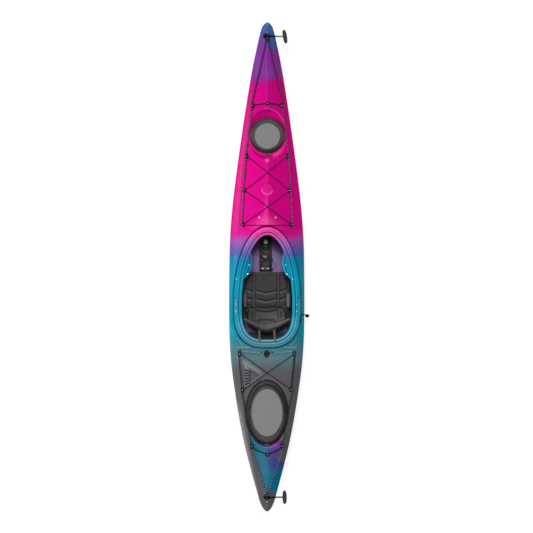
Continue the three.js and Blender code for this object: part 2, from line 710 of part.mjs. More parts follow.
// A dish pressed into the deck, with the wall kept under it.
function pressedDish(hull, outer, x, y, halfWidth, halfLength, depth) {
  const top = deckHeight(x, y);
  const backing = ellipsoid(x, y, top, halfWidth + WALL, halfLength + WALL, depth + WALL, 8, 6);
  const bowl = ellipsoid(x, y, top + FIT_GAP, halfWidth, halfLength, depth, 8, 6);
  return hull.add(backing.intersect(outer)).subtract(bowl);
}

function hullShell(outer) {
  let hull = outer.subtract(cavity(0)).add(coamingRing()).subtract(coamingHollow());
  hull = hull.subtract(plug(cockpitPoint, OPENING_TRIM, BOW_HEIGHT / 2.4, BOW_HEIGHT * 1.3, COAMING_STEPS));
  for (const [outline, seat, tabY] of HATCH_SEATS) {
    const notch = PULL_TAB_WIDTH + RECESS_LEDGE;
    hull = hull.subtract(box(notch, 2 * PULL_TAB_LENGTH + RECESS_LEDGE, CUT_OVERRUN, 0, tabY, seat + CUT_OVERRUN / 2));
    const neck = rimOuterInset - FIT_GAP;
    hull = hull.subtract(plug(outline, neck, seat - CUT_OVERRUN, seat + CUT_OVERRUN, HATCH_STEPS));
    hull = hull.subtract(plug(outline, -RECESS_LEDGE / 2, seat, seat + CUT_OVERRUN, HATCH_STEPS));
  }
  const eyeDish = [HAND_RECESS_HALF_WIDTH, HAND_RECESS_HALF_LENGTH, HAND_RECESS_DEPTH];
  hull = pressedDish(hull, outer, 0, BOW_EYE_Y, ...eyeDish);
  hull = pressedDish(hull, outer, 0, STERN_EYE_Y, ...eyeDish);
  const barDishY = BAR_Y - BAR_DISH_HALF_LENGTH / 3;
  hull = pressedDish(hull, outer, 0, barDishY, BAR_DISH_HALF_WIDTH, BAR_DISH_HALF_LENGTH, BAR_DISH_DEPTH);
  const compassY = placeOf(COMPASS_SEAT_STATION_SHARE);
  const compassTop = deckHeight(0, compassY);
  const seatDepth = COMPASS_SEAT_DEPTH + WALL;
  const backing = rod(2 * (COMPASS_SEAT_RADIUS + WALL), 2 * seatDepth, 0, compassY, compassTop, UP, 12);
  hull = hull.add(backing.intersect(outer));
  const seatFloor = compassTop - COMPASS_SEAT_DEPTH + CUT_OVERRUN / 2;
  hull = hull.subtract(rod(2 * COMPASS_SEAT_RADIUS, CUT_OVERRUN, 0, compassY, seatFloor, UP, 20));
  const slotLength = SLOT_FRONT - SLOT_BACK;
  const slotY = (SLOT_FRONT + SLOT_BACK) / 2;
  hull = hull.subtract(box(SKEG_SLOT_WIDTH, slotLength, CUT_OVERRUN * 2, 0, slotY, 0));
  const tubeHole = SKEG_TUBE_DIAMETER + 2 * FIT_GAP;
  const cleatDeck = deckHeight(CLEAT_X, CLEAT_Y);
  hull = hull.subtract(rod(tubeHole, CUT_OVERRUN, CLEAT_X, CLEAT_Y - CLEAT_LENGTH / 3, cleatDeck, UP, 12));
  return largest(hull);
}

// Cords on the deck

// A curve that passes its own points at even shares, so that a tube has a ring at each of them.
class Route extends THREE.CatmullRomCurve3 {
  constructor(points) {
    super(points, false, "centripetal");
  }
  getSpacedPoints(count) {
    return this.getPoints(count);
  }
  getTangentAt(share, target) {
    return this.getTangent(share, target);
  }
}

// A round cord with a ring at each point, as an extruded polygon.
function cord(points, diameter, sides = CORD_SIDES) {
  const section = new THREE.Shape();
  for (let i = 0; i < sides; i += 1) {
    const turn = (2 * Math.PI * i) / sides;
    const [x, y] = [(diameter / 2) * Math.cos(turn), (diameter / 2) * Math.sin(turn)];
    if (i) section.lineTo(x, y);
    else section.moveTo(x, y);
  }
  section.closePath();
  const settings = { steps: points.length - 1, bevelEnabled: false, extrudePath: new Route(points) };
  return solidOf(new THREE.ExtrudeGeometry(section, settings));
}

// The square tunnel that a cord runs through with clearance.
const tunnel = (points, diameter) => cord(points, (diameter + 2 * TUNNEL_CLEARANCE) * Math.SQRT2, 4);

// The height of the hull's own facets, which a cord lies on.
function facetHeight(x, y) {
  const station = stationOf(y);
  const next = Math.max(1, HULL_STATION_SHARES.findIndex((share) => share > station));
  const [s0, s1] = [HULL_STATION_SHARES[next - 1], HULL_STATION_SHARES[next]];
  const at = (share) => {
    const half = halfBeam(share);
    const across = Math.min(Math.abs(x) / half, 1);
    const marks = [1, ...DECK_ACROSS_SHARES];
    const i = Math.min(marks.findIndex((mark) => mark <= across), marks.length - 1);
    const [a, b] = [marks[Math.max(0, i - 1)], marks[i]];
    const level = (mark) => (mark === 1 ? BOW_HEIGHT * sheerShare(share) : deckHeight(mark * half, placeOf(share)));
    return a === b ? level(a) : level(b) + ((level(a) - level(b)) * (across - b)) / (a - b);
  };
  return at(s0) + ((at(s1) - at(s0)) * (station - s0)) / (s1 - s0);
}

// Points along the deck through places given as x, y and a rise above lying flat.
function overDeck(places, diameter) {
  const points = [];
  places.forEach(([x, y, rise = 0], i) => {
    const [px, py, pr = 0] = places[Math.max(0, i - 1)];
    const pieces = Math.max(1, Math.round(Math.hypot(x - px, y - py) / CORD_REACH));
    for (let k = i ? 1 : pieces; k <= pieces; k += 1) {
      const t = k / pieces;
      const [cx, cy] = [px + (x - px) * t, py + (y - py) * t];
      const level = Math.max(facetHeight(cx, cy), deckHeight(cx, cy));
      points.push(new THREE.Vector3(cx, cy, level + diameter / 2 + CORD_LAY + pr + (rise - pr) * t));
    }
  });
  return points;
}

const fittingPlace = (fitting) => {
  const y = placeOf(fitting.along);
  return [halfBeam(fitting.along) * fitting.across, y];
};
const [BOW_A, BOW_B, BOW_C, BOW_D, STERN_A, STERN_B, STERN_C] = PAIRED_FITTINGS.map(fittingPlace);
const HALF_FITTING = FITTING_LENGTH / 2;
const LINE_RISE = TUNNEL_HEIGHT - LINE_DIAMETER / 2 - CORD_LAY;
const BUNGEE_RISE = TUNNEL_HEIGHT - BUNGEE_DIAMETER / 2 - CORD_LAY;

// A line that runs through fittings on one side, from its tail to the eye.
function lineSide(stops, towards) {
  const places = [];
  for (const [x, y] of stops) {
    const out = x + LINE_OFFSET;
    places.push([out, y - towards * HALF_FITTING, LINE_RISE], [out, y + towards * HALF_FITTING, LINE_RISE]);
  }
  return places;
}
const mirrored = (places) => places.map(([x, y, rise]) => [-x, y, rise]).reverse();
const EYE_FOOT_Y = BOW_EYE_Y - EYE_SCREW_SPACING / 2;
const ROUND_FOOT = EYE_FOOT_WIDTH / 2 + LINE_DIAMETER;
const eyeTurn = (towards) => [
  [ROUND_FOOT, towards * (EYE_FOOT_Y - EYE_FOOT_LENGTH), 0],
  [ROUND_FOOT, towards * (EYE_FOOT_Y + EYE_FOOT_LENGTH / 4), 0],
  [ROUND_FOOT / 2, towards * (EYE_FOOT_Y + EYE_FOOT_LENGTH / 2 + LINE_DIAMETER), 0],
];
const HATCH_EDGE = [REAR_HATCH_HALF_WIDTH + 2 * LINE_DIAMETER, REAR_HATCH_Y, 0];

const bowSide = [...lineSide([BOW_D, BOW_C, BOW_B, BOW_A], 1), ...eyeTurn(1)];
const sternSide = [...lineSide([STERN_A, STERN_B], -1), HATCH_EDGE, ...lineSide([STERN_C], -1), ...eyeTurn(-1)];
const bowLinePoints = overDeck([...bowSide, ...mirrored(bowSide)], LINE_DIAMETER);
const sternLinePoints = overDeck([...sternSide, ...mirrored(sternSide)], LINE_DIAMETER);

// A bungee's tail, its turn inside a fitting, and the place where it crosses itself on the centre line.
const tail = ([x, y], side, towards) => [
  [side * (x - BUNGEE_OFFSET), y + towards * (HALF_FITTING + BUNGEE_OFFSET), BUNGEE_RISE / 2],
  [side * (x - BUNGEE_OFFSET), y, BUNGEE_RISE],
];
const turnAt = ([x, y], side, towards) => [
  [side * (x - FITTING_WIDTH / 2 - BUNGEE_OFFSET), y - towards * FITTING_WIDTH / 2, BUNGEE_RISE],
  [side * (x - BUNGEE_OFFSET), y - towards * BUNGEE_OFFSET, BUNGEE_RISE],
  [side * (x - BUNGEE_OFFSET), y + towards * BUNGEE_OFFSET, BUNGEE_RISE],
  [side * (x - FITTING_WIDTH / 2 - BUNGEE_OFFSET), y + towards * FITTING_WIDTH / 2, BUNGEE_RISE],
];
const crossing = (a, b, rise) => {
  const share = a[0] / (a[0] + b[0]);
  return [0, a[1] + (b[1] - a[1]) * share, rise];
};
const front1 = crossing(BOW_B, BOW_C, 0);
const front2 = crossing(BOW_C, BOW_D, 0);
const lift = ([x, y]) => [x, y, CROSSING_RISE];
const cornerTurn = ([x, y], side, from) => [
  [side * (x - FITTING_WIDTH / 2 - BUNGEE_OFFSET), y + from * FITTING_WIDTH / 2, BUNGEE_RISE],
  [side * (x - BUNGEE_OFFSET), y + from * BUNGEE_OFFSET, BUNGEE_RISE],
  [side * (x - BUNGEE_OFFSET), y - from * BUNGEE_OFFSET / 2, BUNGEE_RISE],
  [side * (x - FITTING_WIDTH / 2 - BUNGEE_OFFSET), y - from * BUNGEE_OFFSET, BUNGEE_RISE],
];
const frontBungeePoints = overDeck(
  [
    ...tail(BOW_B, -1, 1),
    front1,
    ...turnAt(BOW_C, 1, -1),
    front2,
    ...cornerTurn(BOW_D, -1, 1),
    ...cornerTurn(BOW_D, 1, 1).reverse(),
    lift(front2),
    ...turnAt(BOW_C, -1, -1).reverse(),
    lift(front1),
    ...tail(BOW_B, 1, 1).reverse(),
  ],
  BUNGEE_DIAMETER,
);
const rearCross = crossing(STERN_A, STERN_B, 0);
const rearBungeePoints = overDeck(
  [
    ...tail(STERN_A, -1, 1),
    rearCross,
    [STERN_B[0] - FITTING_WIDTH / 2 - BUNGEE_OFFSET, STERN_B[1] + FITTING_WIDTH / 2, BUNGEE_RISE],
    [STERN_B[0] - BUNGEE_OFFSET, STERN_B[1] + BUNGEE_OFFSET / 2, BUNGEE_RISE],
    [STERN_B[0] - BUNGEE_OFFSET / 3, STERN_B[1] + HALF_FITTING, BUNGEE_RISE],
    [STERN_A[0] - BUNGEE_OFFSET / 3, STERN_A[1] - HALF_FITTING, BUNGEE_RISE],
    [STERN_A[0] - BUNGEE_OFFSET, STERN_A[1] - BUNGEE_OFFSET / 2, BUNGEE_RISE],
    [STERN_A[0] - FITTING_WIDTH / 2 - BUNGEE_OFFSET, STERN_A[1] - FITTING_WIDTH / 2, BUNGEE_RISE],
    lift(rearCross),
    ...tail(STERN_B, -1, -1).reverse(),
  ],
  BUNGEE_DIAMETER,
);

function crossCord(pair, centre) {
  const [x, y] = pair;
  const middle = placeOf(centre.along);
  const side = [
    [x - BUNGEE_OFFSET, y, BUNGEE_RISE],
    [x - FITTING_WIDTH / 2 - BUNGEE_OFFSET, y + (middle - y) * CROSS_EASE_SHARE, BUNGEE_RISE],
  ];
  return overDeck([...side, [0, middle, BUNGEE_RISE], ...mirrored(side)], LINE_DIAMETER);
}
const bowCrossPoints = crossCord(BOW_A, CENTRE_FITTINGS[0]);
const sternCrossPoints = crossCord(STERN_C, CENTRE_FITTINGS[1]);

// A screwed dome that fits the deck, with a tunnel for each cord.
function fitting(x, y, length, width, cords, hull) {
  const level = deckHeight(x, y);
  const outline = (turn, inset) =>
    new THREE.Vector2(x + (width / 2 - inset) * Math.cos(turn), y + (length / 2 - inset) * Math.sin(turn));
  const profile = [
    [width / 4, level + FITTING_HEIGHT],
    [width / 10, level + FITTING_HEIGHT * 0.72],
    [0, level - FITTING_HEIGHT],
  ];
  let made = lid(outline, profile, 8).subtract(hull);
  for (const [points, diameter] of cords) {
    made = made.subtract(tunnel(points, diameter));
  }
  return largest(made);
}

// Eyes, toggles and their cords

function deckEye(y, hull) {
  const level = deckHeight(0, y);
  const height = EYE_BAR_RISE + EYE_BAR_THICKNESS / 2;
  const feet = [-1, 1].map((end) => {
    const at = y + (end * EYE_SCREW_SPACING) / 2;
    return ellipsoid(0, at, level, EYE_FOOT_WIDTH / 2, EYE_FOOT_LENGTH / 2, height, 8, 6);
  });
  const barZ = level + EYE_BAR_RISE - EYE_BAR_THICKNESS / 2;
  const bar = box(EYE_BAR_WIDTH, EYE_SCREW_SPACING, EYE_BAR_THICKNESS, 0, y, barZ);
  return largest(feet[0].add(feet[1]).add(bar).subtract(hull));
}

// The cord's loop round the eye's bar and its two strands out over the gunwale to the handle.
function togglePoints(y) {
  const level = deckHeight(0, y) + EYE_BAR_RISE - EYE_BAR_THICKNESS / 2;
  const side = halfBeam(stationOf(y));
  const edge = BOW_HEIGHT * sheerShare(stationOf(y));
  const round = TOGGLE_LOOP_RADIUS;
  const apart = TOGGLE_CORD_DIAMETER * 0.6;
  const [tx, tz] = [TOGGLE_REACH, edge - TOGGLE_SAG];
  const clear = TOGGLE_CORD_DIAMETER;
  const half = (strand, low) => [
    [tx, y + strand * apart, tz],
    [tx - TOGGLE_DIAMETER, y + strand * apart, tz + TOGGLE_DIAMETER / 3],
    [side + clear, y + strand * apart, edge + clear],
    [side * 0.86, y + strand * apart, deckHeight(side * 0.86, y) + clear * GUNWALE_RISE_SHARE],
    [side * 0.6, y + strand * apart, deckHeight(side * 0.6, y) + clear * STRAND_RISE_SHARES[low ? 0 : 1]],
    [round, y + strand * apart, low ? level - round : level + round / 2],
  ];
  return [
    ...half(1, false),
    [0, y + apart / 2, level + round],
    [-round, y, level],
    [0, y - apart / 2, level - round],
    ...half(-1, true).reverse().slice(1),
  ].map((p) => new THREE.Vector3(...p));
}

function toggle(y, cordPoints) {
  const [tx, tz] = [TOGGLE_REACH, BOW_HEIGHT * sheerShare(stationOf(y)) - TOGGLE_SAG];
  const rings = TOGGLE_SHAPE_SHARES.map(([along, thick]) =>
    Array.from({ length: TOGGLE_SIDES }, (_, i) => {
      const turn = (2 * Math.PI * i) / TOGGLE_SIDES;
      const r = (TOGGLE_DIAMETER / 2) * thick;
      return new THREE.Vector3(tx + r * Math.cos(turn), y + (TOGGLE_LENGTH / 2) * along, tz + r * Math.sin(turn));
    }),
  );
  return largest(loft(rings).subtract(tunnel(cordPoints, TOGGLE_CORD_DIAMETER + FIT_GAP)));
}

// Sheets and pads

// A closed body from two sheets over a square of shares from -1 to 1; a flat back is closed as a fan.
function slab(across, along, front, back, fan = false) {
  const points = [];
  const faces = [];
  const at = (i, j) => i * (along + 1) + j;
  for (let i = 0; i <= across; i += 1) {
    for (let j = 0; j <= along; j += 1) {
      points.push(front((2 * i) / across - 1, (2 * j) / along - 1));
    }
  }
  const edge = [];
  for (let i = 0; i < across; i += 1) edge.push([i, 0]);
  for (let j = 0; j < along; j += 1) edge.push([across, j]);
  for (let i = across; i > 0; i -= 1) edge.push([i, along]);
  for (let j = along; j > 0; j -= 1) edge.push([0, j]);
  const quad = (a, b, c, d) => faces.push(a, b, c, a, c, d);
  for (let i = 0; i < across; i += 1) {
    for (let j = 0; j < along; j += 1) quad(at(i, j), at(i + 1, j), at(i + 1, j + 1), at(i, j + 1));
  }
  const first = points.length;
  const share = ([i, j]) => [(2 * i) / across - 1, (2 * j) / along - 1];
  if (fan) {
    for (const place of edge) points.push(back(...share(place)));
    const middle = points.push(back(0, 0)) - 1;
    edge.forEach((place, k) => {
      const next = (k + 1) % edge.length;
      quad(at(...edge[next]), at(...place), first + k, first + next);
      faces.push(middle, first + next, first + k);
    });
  } else {
    for (let i = 0; i <= across; i += 1) {
      for (let j = 0; j <= along; j += 1) points.push(back((2 * i) / across - 1, (2 * j) / along - 1));
    }
    for (let i = 0; i < across; i += 1) {
      for (let j = 0; j < along; j += 1) {
        quad(first + at(i, j), first + at(i, j + 1), first + at(i + 1, j + 1), first + at(i + 1, j));
      }
    }
    edge.forEach((place, k) => {
      const next = edge[(k + 1) % edge.length];
      quad(at(...next), at(...place), first + at(...place), first + at(...next));
    });
  }
  const geometry = new THREE.BufferGeometry();
  const places = new Float32Array(points.flatMap((p) => [p.x, p.y, p.z]));
  geometry.setAttribute("position", new THREE.BufferAttribute(places, 3));
  geometry.setIndex(faces);
  return solidOf(geometry);
}

// A square of shares drawn in at its corners.
const rounded = (u, v, round) => [
  u * Math.sqrt(1 - (round * v * v) / 2),
  v * Math.sqrt(1 - (round * u * u) / 2),
];

// An outline of Y and Z places, made into a plate across the boat.
function plate(outline, width, x) {
  const shape = new THREE.Shape(outline.map(([y, z]) => new THREE.Vector2(y, z)));
  const made = new THREE.ExtrudeGeometry(shape, { depth: width, bevelEnabled: false, steps: 1 });
  made.applyMatrix4(new THREE.Matrix4().makeBasis(FORWARD, UP, RIGHT));
  return solidOf(made.translate(x - width / 2, 0, 0));
}

// Seat

const FLOOR = WALL + SEAT_GAP;
const SEAT_BACK = SEAT_FRONT - SEAT_LENGTH;
const SEAT_Y = (SEAT_FRONT + SEAT_BACK) / 2;
const HINGE_Y = SEAT_BACK - HINGE_DIAMETER;
const WING_X = SEAT_HALF_WIDTH + WING_THICKNESS;
const WING_Y = SEAT_BACK + WING_LENGTH / 2 + HINGE_DIAMETER;

function seatPan(room) {
  const back = HINGE_Y - HINGE_DIAMETER * 1.5;
  const length = SEAT_FRONT - back;
  const width = 2 * WING_X + WING_THICKNESS;
  const base = box(width, length, SEAT_BASE_HEIGHT, 0, (SEAT_FRONT + back) / 2, SEAT_BASE_HEIGHT / 2);
  let pan = base.intersect(room);
  const inner = box(width - 2 * PAN_WALL, length / 2 - 1.5 * PAN_WALL, SEAT_BASE_HEIGHT, 0, 0, 0);
  for (const part of [-1, 1]) {
    const y = (SEAT_FRONT + back) / 2 + (part * (length / 2 - PAN_WALL / 2)) * PAN_RIB_SHARE;
    const well = inner.translate([0, y, SEAT_BASE_HEIGHT / 2 - PAN_WALL]);
    pan = pan.subtract(well.intersect(room.translate([0, 0, -PAN_WALL])));
  }
  const top = rimHeight(WING_Y) - COAMING_DROP - WING_TOP_DROP;
  const wing = [
    [WING_Y - WING_LENGTH / 2, SEAT_BASE_HEIGHT / 2],
    [WING_Y + WING_LENGTH / 2, SEAT_BASE_HEIGHT / 2],
    [WING_Y + WING_LENGTH / 2, (top + SEAT_BASE_HEIGHT) / 2],
    [WING_Y + WING_LENGTH / 3, top - WING_TOP_DROP],
    [WING_Y + WING_LENGTH / 5, top],
    [WING_Y - WING_LENGTH / 3, top],
    [WING_Y - WING_LENGTH / 2, top - WING_TOP_DROP],
  ];
  const lugRound = HINGE_DIAMETER;
  const lug = [
    [HINGE_Y - lugRound * 1.2, SEAT_BASE_HEIGHT / 2],
    [HINGE_Y + lugRound * 1.2, SEAT_BASE_HEIGHT / 2],
    [HINGE_Y + lugRound, HINGE_HEIGHT],
    [HINGE_Y + lugRound / 2, HINGE_HEIGHT + lugRound],
    [HINGE_Y - lugRound / 2, HINGE_HEIGHT + lugRound],
    [HINGE_Y - lugRound, HINGE_HEIGHT],
  ];
  for (const side of [-1, 1]) {
    pan = pan.add(plate(wing, WING_THICKNESS, side * WING_X));
    pan = pan.add(plate(lug, HINGE_LUG_WIDTH, side * HINGE_SPACING));
  }
  const bore = rod(HINGE_DIAMETER + 2 * HINGE_CLEARANCE, CUT_OVERRUN * 8, 0, HINGE_Y, HINGE_HEIGHT, RIGHT);
  return largest(pan.subtract(bore));
}

// The cushion: a narrower front, raised sides, two channels along it and three V seams across it.
function seatCushion() {
  const base = SEAT_BASE_HEIGHT + SEAT_GAP;
  const plan = (u, v, inset) => {
    const [a, b] = rounded(u, v, CUSHION_ROUND_SHARE);
    const narrow = 1 - CUSHION_TAPER_SHARE * smooth((v + 0.1) / 1.1) ** 2;
    return [a * (SEAT_HALF_WIDTH - WING_THICKNESS - inset) * narrow, SEAT_Y + b * (SEAT_LENGTH / 2 - inset)];
  };
  const top = (u, v) => {
    const [x, y] = plan(u, v, 0);
    const edge = (1 - Math.abs(u) ** 8) * (1 - Math.abs(v) ** 8);
    const channel = Math.exp(-(((Math.abs(x) - CHANNEL_OFFSET) / (CHANNEL_WIDTH / 2)) ** 2));
    const seam = SEAM_SHARES.reduce((sum, at) => {
      const away = y - SEAT_Y - SEAT_LENGTH * (at + SEAM_V_SHARE * Math.abs(u));
      return sum + Math.exp(-((away / (CHANNEL_WIDTH / 2)) ** 2));
    }, 0);
    const raised = BOLSTER_SHARE * Math.abs(u) ** 3 + CUSHION_NOSE_SHARE * smooth(v);
    const crown = CUSHION_THICKNESS * (CUSHION_EDGE_SHARE + (1 - CUSHION_EDGE_SHARE + raised) * edge ** 0.5);
    const inner = Math.abs(x) < CHANNEL_OFFSET ? seam * CHANNEL_DEPTH * SEAM_DEPTH_SHARE : 0;
    return new THREE.Vector3(x, y, base + crown - (channel * CHANNEL_DEPTH + inner) * edge);
  };
  const under = (u, v) => {
    const [x, y] = plan(u, v, CUSHION_THICKNESS / 5);
    return new THREE.Vector3(x, y, base);
  };
  return slab(CUSHION_ACROSS, CUSHION_ALONG, top, under, true);
}

// A pad on the inner face of each side wing.
function hipPad(side) {
  const centre = rimHeight(WING_Y) - COAMING_DROP - WING_TOP_DROP * 1.5 - HIP_PAD_HEIGHT / 2;
  const face = WING_X - WING_THICKNESS / 2 - SEAT_GAP;
  const shape = (u, v, depth, inset) => {
    const [a, b] = rounded(u, v, PAD_ROUND_SHARE);
    const y = WING_Y + a * (HIP_PAD_LENGTH / 2 - inset);
    return new THREE.Vector3(side * (face - depth), y, centre + b * (HIP_PAD_HEIGHT / 2 - inset));
  };
  const front = (u, v) => {
    const crown = Math.sqrt((1 - u ** 4) * (1 - v ** 4));
    return shape(u, v, HIP_PAD_THICKNESS * (PAD_EDGE_SHARE + (1 - PAD_EDGE_SHARE) * crown), 0);
  };
  return slab(6, 6, front, (u, v) => shape(u, v, 0, HIP_PAD_THICKNESS / 6), true);
}

// The backrest leans back about its hinge: a curved shell with a pad in front.
const lean = (p) => {
  const tilt = (BACKREST_TILT_DEGREES * Math.PI) / 180;
  const made = new THREE.Vector3(p.x, p.y, p.z).applyAxisAngle(RIGHT, tilt);
  return made.add(new THREE.Vector3(0, HINGE_Y, HINGE_HEIGHT));
};

function backrestPlace(u, v, depth, inset) {
  const [a, b] = rounded(u, v, BACKREST_ROUND_SHARE);
  const waist = 1 - BACKREST_TAPER_SHARE * smooth(-v);
  const x = a * (BACKREST_HALF_WIDTH - inset) * waist;
  const droop = BACKREST_HEIGHT * BACKREST_DROOP_SHARE * (1 - Math.abs(u) ** 1.5) * smooth((v + 1) / 2);
  const z = ((b + 1) / 2) * (BACKREST_HEIGHT - 2 * inset) + inset - droop;
  const wrap = BACKREST_WRAP * (x / BACKREST_HALF_WIDTH) ** 2;
  const bent = smooth((v - FLARE_PLACE_SHARE) / (1 - FLARE_PLACE_SHARE));
  const flare = BACKREST_FLARE * (1 - Math.abs(u) ** 1.3) * bent;
  return lean(new THREE.Vector3(x, depth + wrap - flare - HINGE_DIAMETER, z));
}

function backrestFrame() {
  const front = (u, v) => backrestPlace(u, v, 0, 0);
  const back = (u, v) => backrestPlace(u, v, -BACKREST_FRAME_THICKNESS, 0);
  let frame = slab(8, 4, front, back);
  const reach = HINGE_SPACING - HINGE_LUG_WIDTH / 2 - HINGE_CLEARANCE;
  const bar = rod(HINGE_DIAMETER, 2 * (HINGE_SPACING + HINGE_LUG_WIDTH / 2), 0, HINGE_Y, HINGE_HEIGHT, RIGHT);
  const foot = [
    [HINGE_Y - HINGE_DIAMETER * 1.6, HINGE_HEIGHT - HINGE_DIAMETER / 2],
    [HINGE_Y + HINGE_DIAMETER / 2, HINGE_HEIGHT - HINGE_DIAMETER / 2],
    [HINGE_Y + HINGE_DIAMETER / 2, HINGE_HEIGHT + HINGE_DIAMETER / 2],
    [HINGE_Y - HINGE_DIAMETER * 1.6, HINGE_HEIGHT + HINGE_DIAMETER * 2.5],
  ];
  for (const side of [-1, 1]) {
    frame = frame.add(plate(foot, HINGE_LUG_WIDTH * 2, side * (reach - HINGE_LUG_WIDTH)));
  }
  return largest(frame.add(bar));
}

function backrestPad(frame) {
  const front = (u, v) => {
    const crown = Math.sqrt((1 - u ** 6) * (1 - v ** 6));
    const collar = COLLAR_SHARE * Math.exp(-(((v - COLLAR_PLACE_SHARE) / COLLAR_BREADTH_SHARE) ** 2));
    const depth = BACKREST_PAD_THICKNESS * (PAD_EDGE_SHARE + (1 - PAD_EDGE_SHARE) * crown - collar * crown);
    return backrestPlace(u, v, depth, PAD_INSET);
  };
  const pad = slab(10, 7, front, (u, v) => backrestPlace(u, v, -BACKREST_FRAME_THICKNESS / 3, PAD_INSET * 2));
  return largest(pad.subtract(frame.translate([0, SEAT_GAP, 0])));
}

// A webbing strap from the back of the shell up over the coaming.
function backrestStrap(side, frame, pad) {
  const v = STRAP_PLACE_SHARE;
  const depth = -BACKREST_FRAME_THICKNESS / 2;
  const start = backrestPlace((side * STRAP_OFFSET) / BACKREST_HALF_WIDTH, v, depth, 0);
  const rim = COCKPIT_Y - COCKPIT_AFT_LENGTH;
  const end = rim - COAMING_WEB_WIDTH * 0.6;
  const over = (y) => rimHeight(y) + SEAT_GAP + STRAP_THICKNESS / 4;
  const low = [
    [start.y, start.z],
    [rim + COAMING_SKIN * 2, over(rim) - COAMING_SKIN],
    [rim - COAMING_SKIN / 2, over(rim) + STRAP_THICKNESS / 4],
    [end, over(end) + STRAP_THICKNESS / 4],
  ];
  const high = low.map(([y, z]) => [y, z + STRAP_THICKNESS]).reverse();
  const strap = plate([...low, ...high], STRAP_WIDTH, side * STRAP_OFFSET);
  const behind = strap.subtract(frame.translate([0, -SEAT_GAP, 0])).subtract(frame);
  return largest(behind.subtract(pad.translate([0, -SEAT_GAP, 0])).subtract(pad));
}

// Seat track

const TRACK_Y = SEAT_FRONT + TRACK_LENGTH / 2 + SEAT_GAP * 10;
const BOX_Y = TRACK_Y + TRACK_BOX_PLACE_SHARE * TRACK_LENGTH;
const RATCHET_Y = TRACK_Y + RATCHET_PLACE_SHARE * TRACK_LENGTH;
const RATCHET_Z = FLOOR + TRACK_HEIGHT + RATCHET_POST_HEIGHT - RATCHET_THICKNESS;

function seatTrack(room) {
  const middle = FLOOR + TRACK_HEIGHT / 2;
  let track = box(TRACK_WIDTH, TRACK_LENGTH, TRACK_HEIGHT, 0, TRACK_Y, middle);
  for (const side of [-1, 1]) {
    const railX = side * (TRACK_WIDTH - TRACK_RAIL_WIDTH) / 2;
    const railZ = middle + TRACK_RAIL_RISE / 2;
    track = track.add(box(TRACK_RAIL_WIDTH, TRACK_LENGTH, TRACK_HEIGHT + TRACK_RAIL_RISE, railX, TRACK_Y, railZ));
    const postX = side * (RATCHET_WIDTH / 2 + RATCHET_THICKNESS);
    const post = [
      [RATCHET_Y - RATCHET_LENGTH / 3, middle],
      [RATCHET_Y + RATCHET_LENGTH / 3, middle],
      [RATCHET_Y + RATCHET_LENGTH / 6, RATCHET_Z + RATCHET_THICKNESS],
      [RATCHET_Y - RATCHET_LENGTH / 6, RATCHET_Z + RATCHET_THICKNESS],
    ];
    track = track.add(plate(post, RATCHET_THICKNESS, postX));
  }
  const boxZ = FLOOR + TRACK_BOX_HEIGHT / 2;
  track = track.add(box(TRACK_BOX_WIDTH, TRACK_BOX_LENGTH, TRACK_BOX_HEIGHT, 0, BOX_Y, boxZ));
  const boltZ = FLOOR + TRACK_BOX_HEIGHT + TRACK_RAIL_RISE / 2;
  track = track.add(rod(BOLT_DIAMETER, 2 * TRACK_RAIL_RISE, 0, BOX_Y, boltZ, UP, 20));
  const bore = rod(RATCHET_PIN_DIAMETER + 2 * HINGE_CLEARANCE, TRACK_WIDTH, 0, RATCHET_Y, RATCHET_Z, RIGHT, 12);
  return largest(track.intersect(room).subtract(bore));
}

function ratchetLever() {
  const width = RATCHET_WIDTH - 2 * HINGE_CLEARANCE;
  const arm = box(width, RATCHET_LENGTH, RATCHET_THICKNESS, 0, RATCHET_Y - RATCHET_LENGTH / 3, RATCHET_Z);
  const lip = RATCHET_Y - RATCHET_LENGTH / 3 - RATCHET_LENGTH / 2;
  const grip = box(width, RATCHET_THICKNESS, RATCHET_THICKNESS * 2, 0, lip, RATCHET_Z + RATCHET_THICKNESS / 2);
  const span = RATCHET_WIDTH + 3 * RATCHET_THICKNESS;
  return arm.add(grip).add(rod(RATCHET_PIN_DIAMETER, span, 0, RATCHET_Y, RATCHET_Z, RIGHT, 12));
}

// Thigh braces: hull-coloured plates that fill in from the coaming's inner wall.
function thighBrace(side) {
  const inner = through(BRACE_EDGE_SHARES);
  const reach = [BRACE_EDGE_SHARES[0][0], BRACE_EDGE_SHARES.at(-1)[0]];
  const at = (u, v, drop) => {
    const along = reach[0] + ((reach[1] - reach[0]) * (v + 1)) / 2;
    const y = COCKPIT_Y + along * COCKPIT_FORWARD_LENGTH;
    const near = inner(along) * COCKPIT_HALF_WIDTH;
    const far = COCKPIT_HALF_WIDTH + COAMING_SKIN;
    const x = near + ((far - near) * (u + 1)) / 2;
    const sag = BRACE_SAG * ((1 - u) / 2) ** 2;
    return new THREE.Vector3(side * x, y, rimHeight(y) - BRACE_DROP - sag - drop);
  };
  const top = (u, v) => at(u, v, 0);
  const under = (u, v) => at(u, v, BRACE_THICKNESS);
  const made = slab(3, 9, top, under);
  return largest(made.intersect(plug(cockpitPoint, OPENING_TRIM - SEAT_GAP, 0, BOW_HEIGHT * 1.3, COAMING_STEPS)));
}

// Foot braces

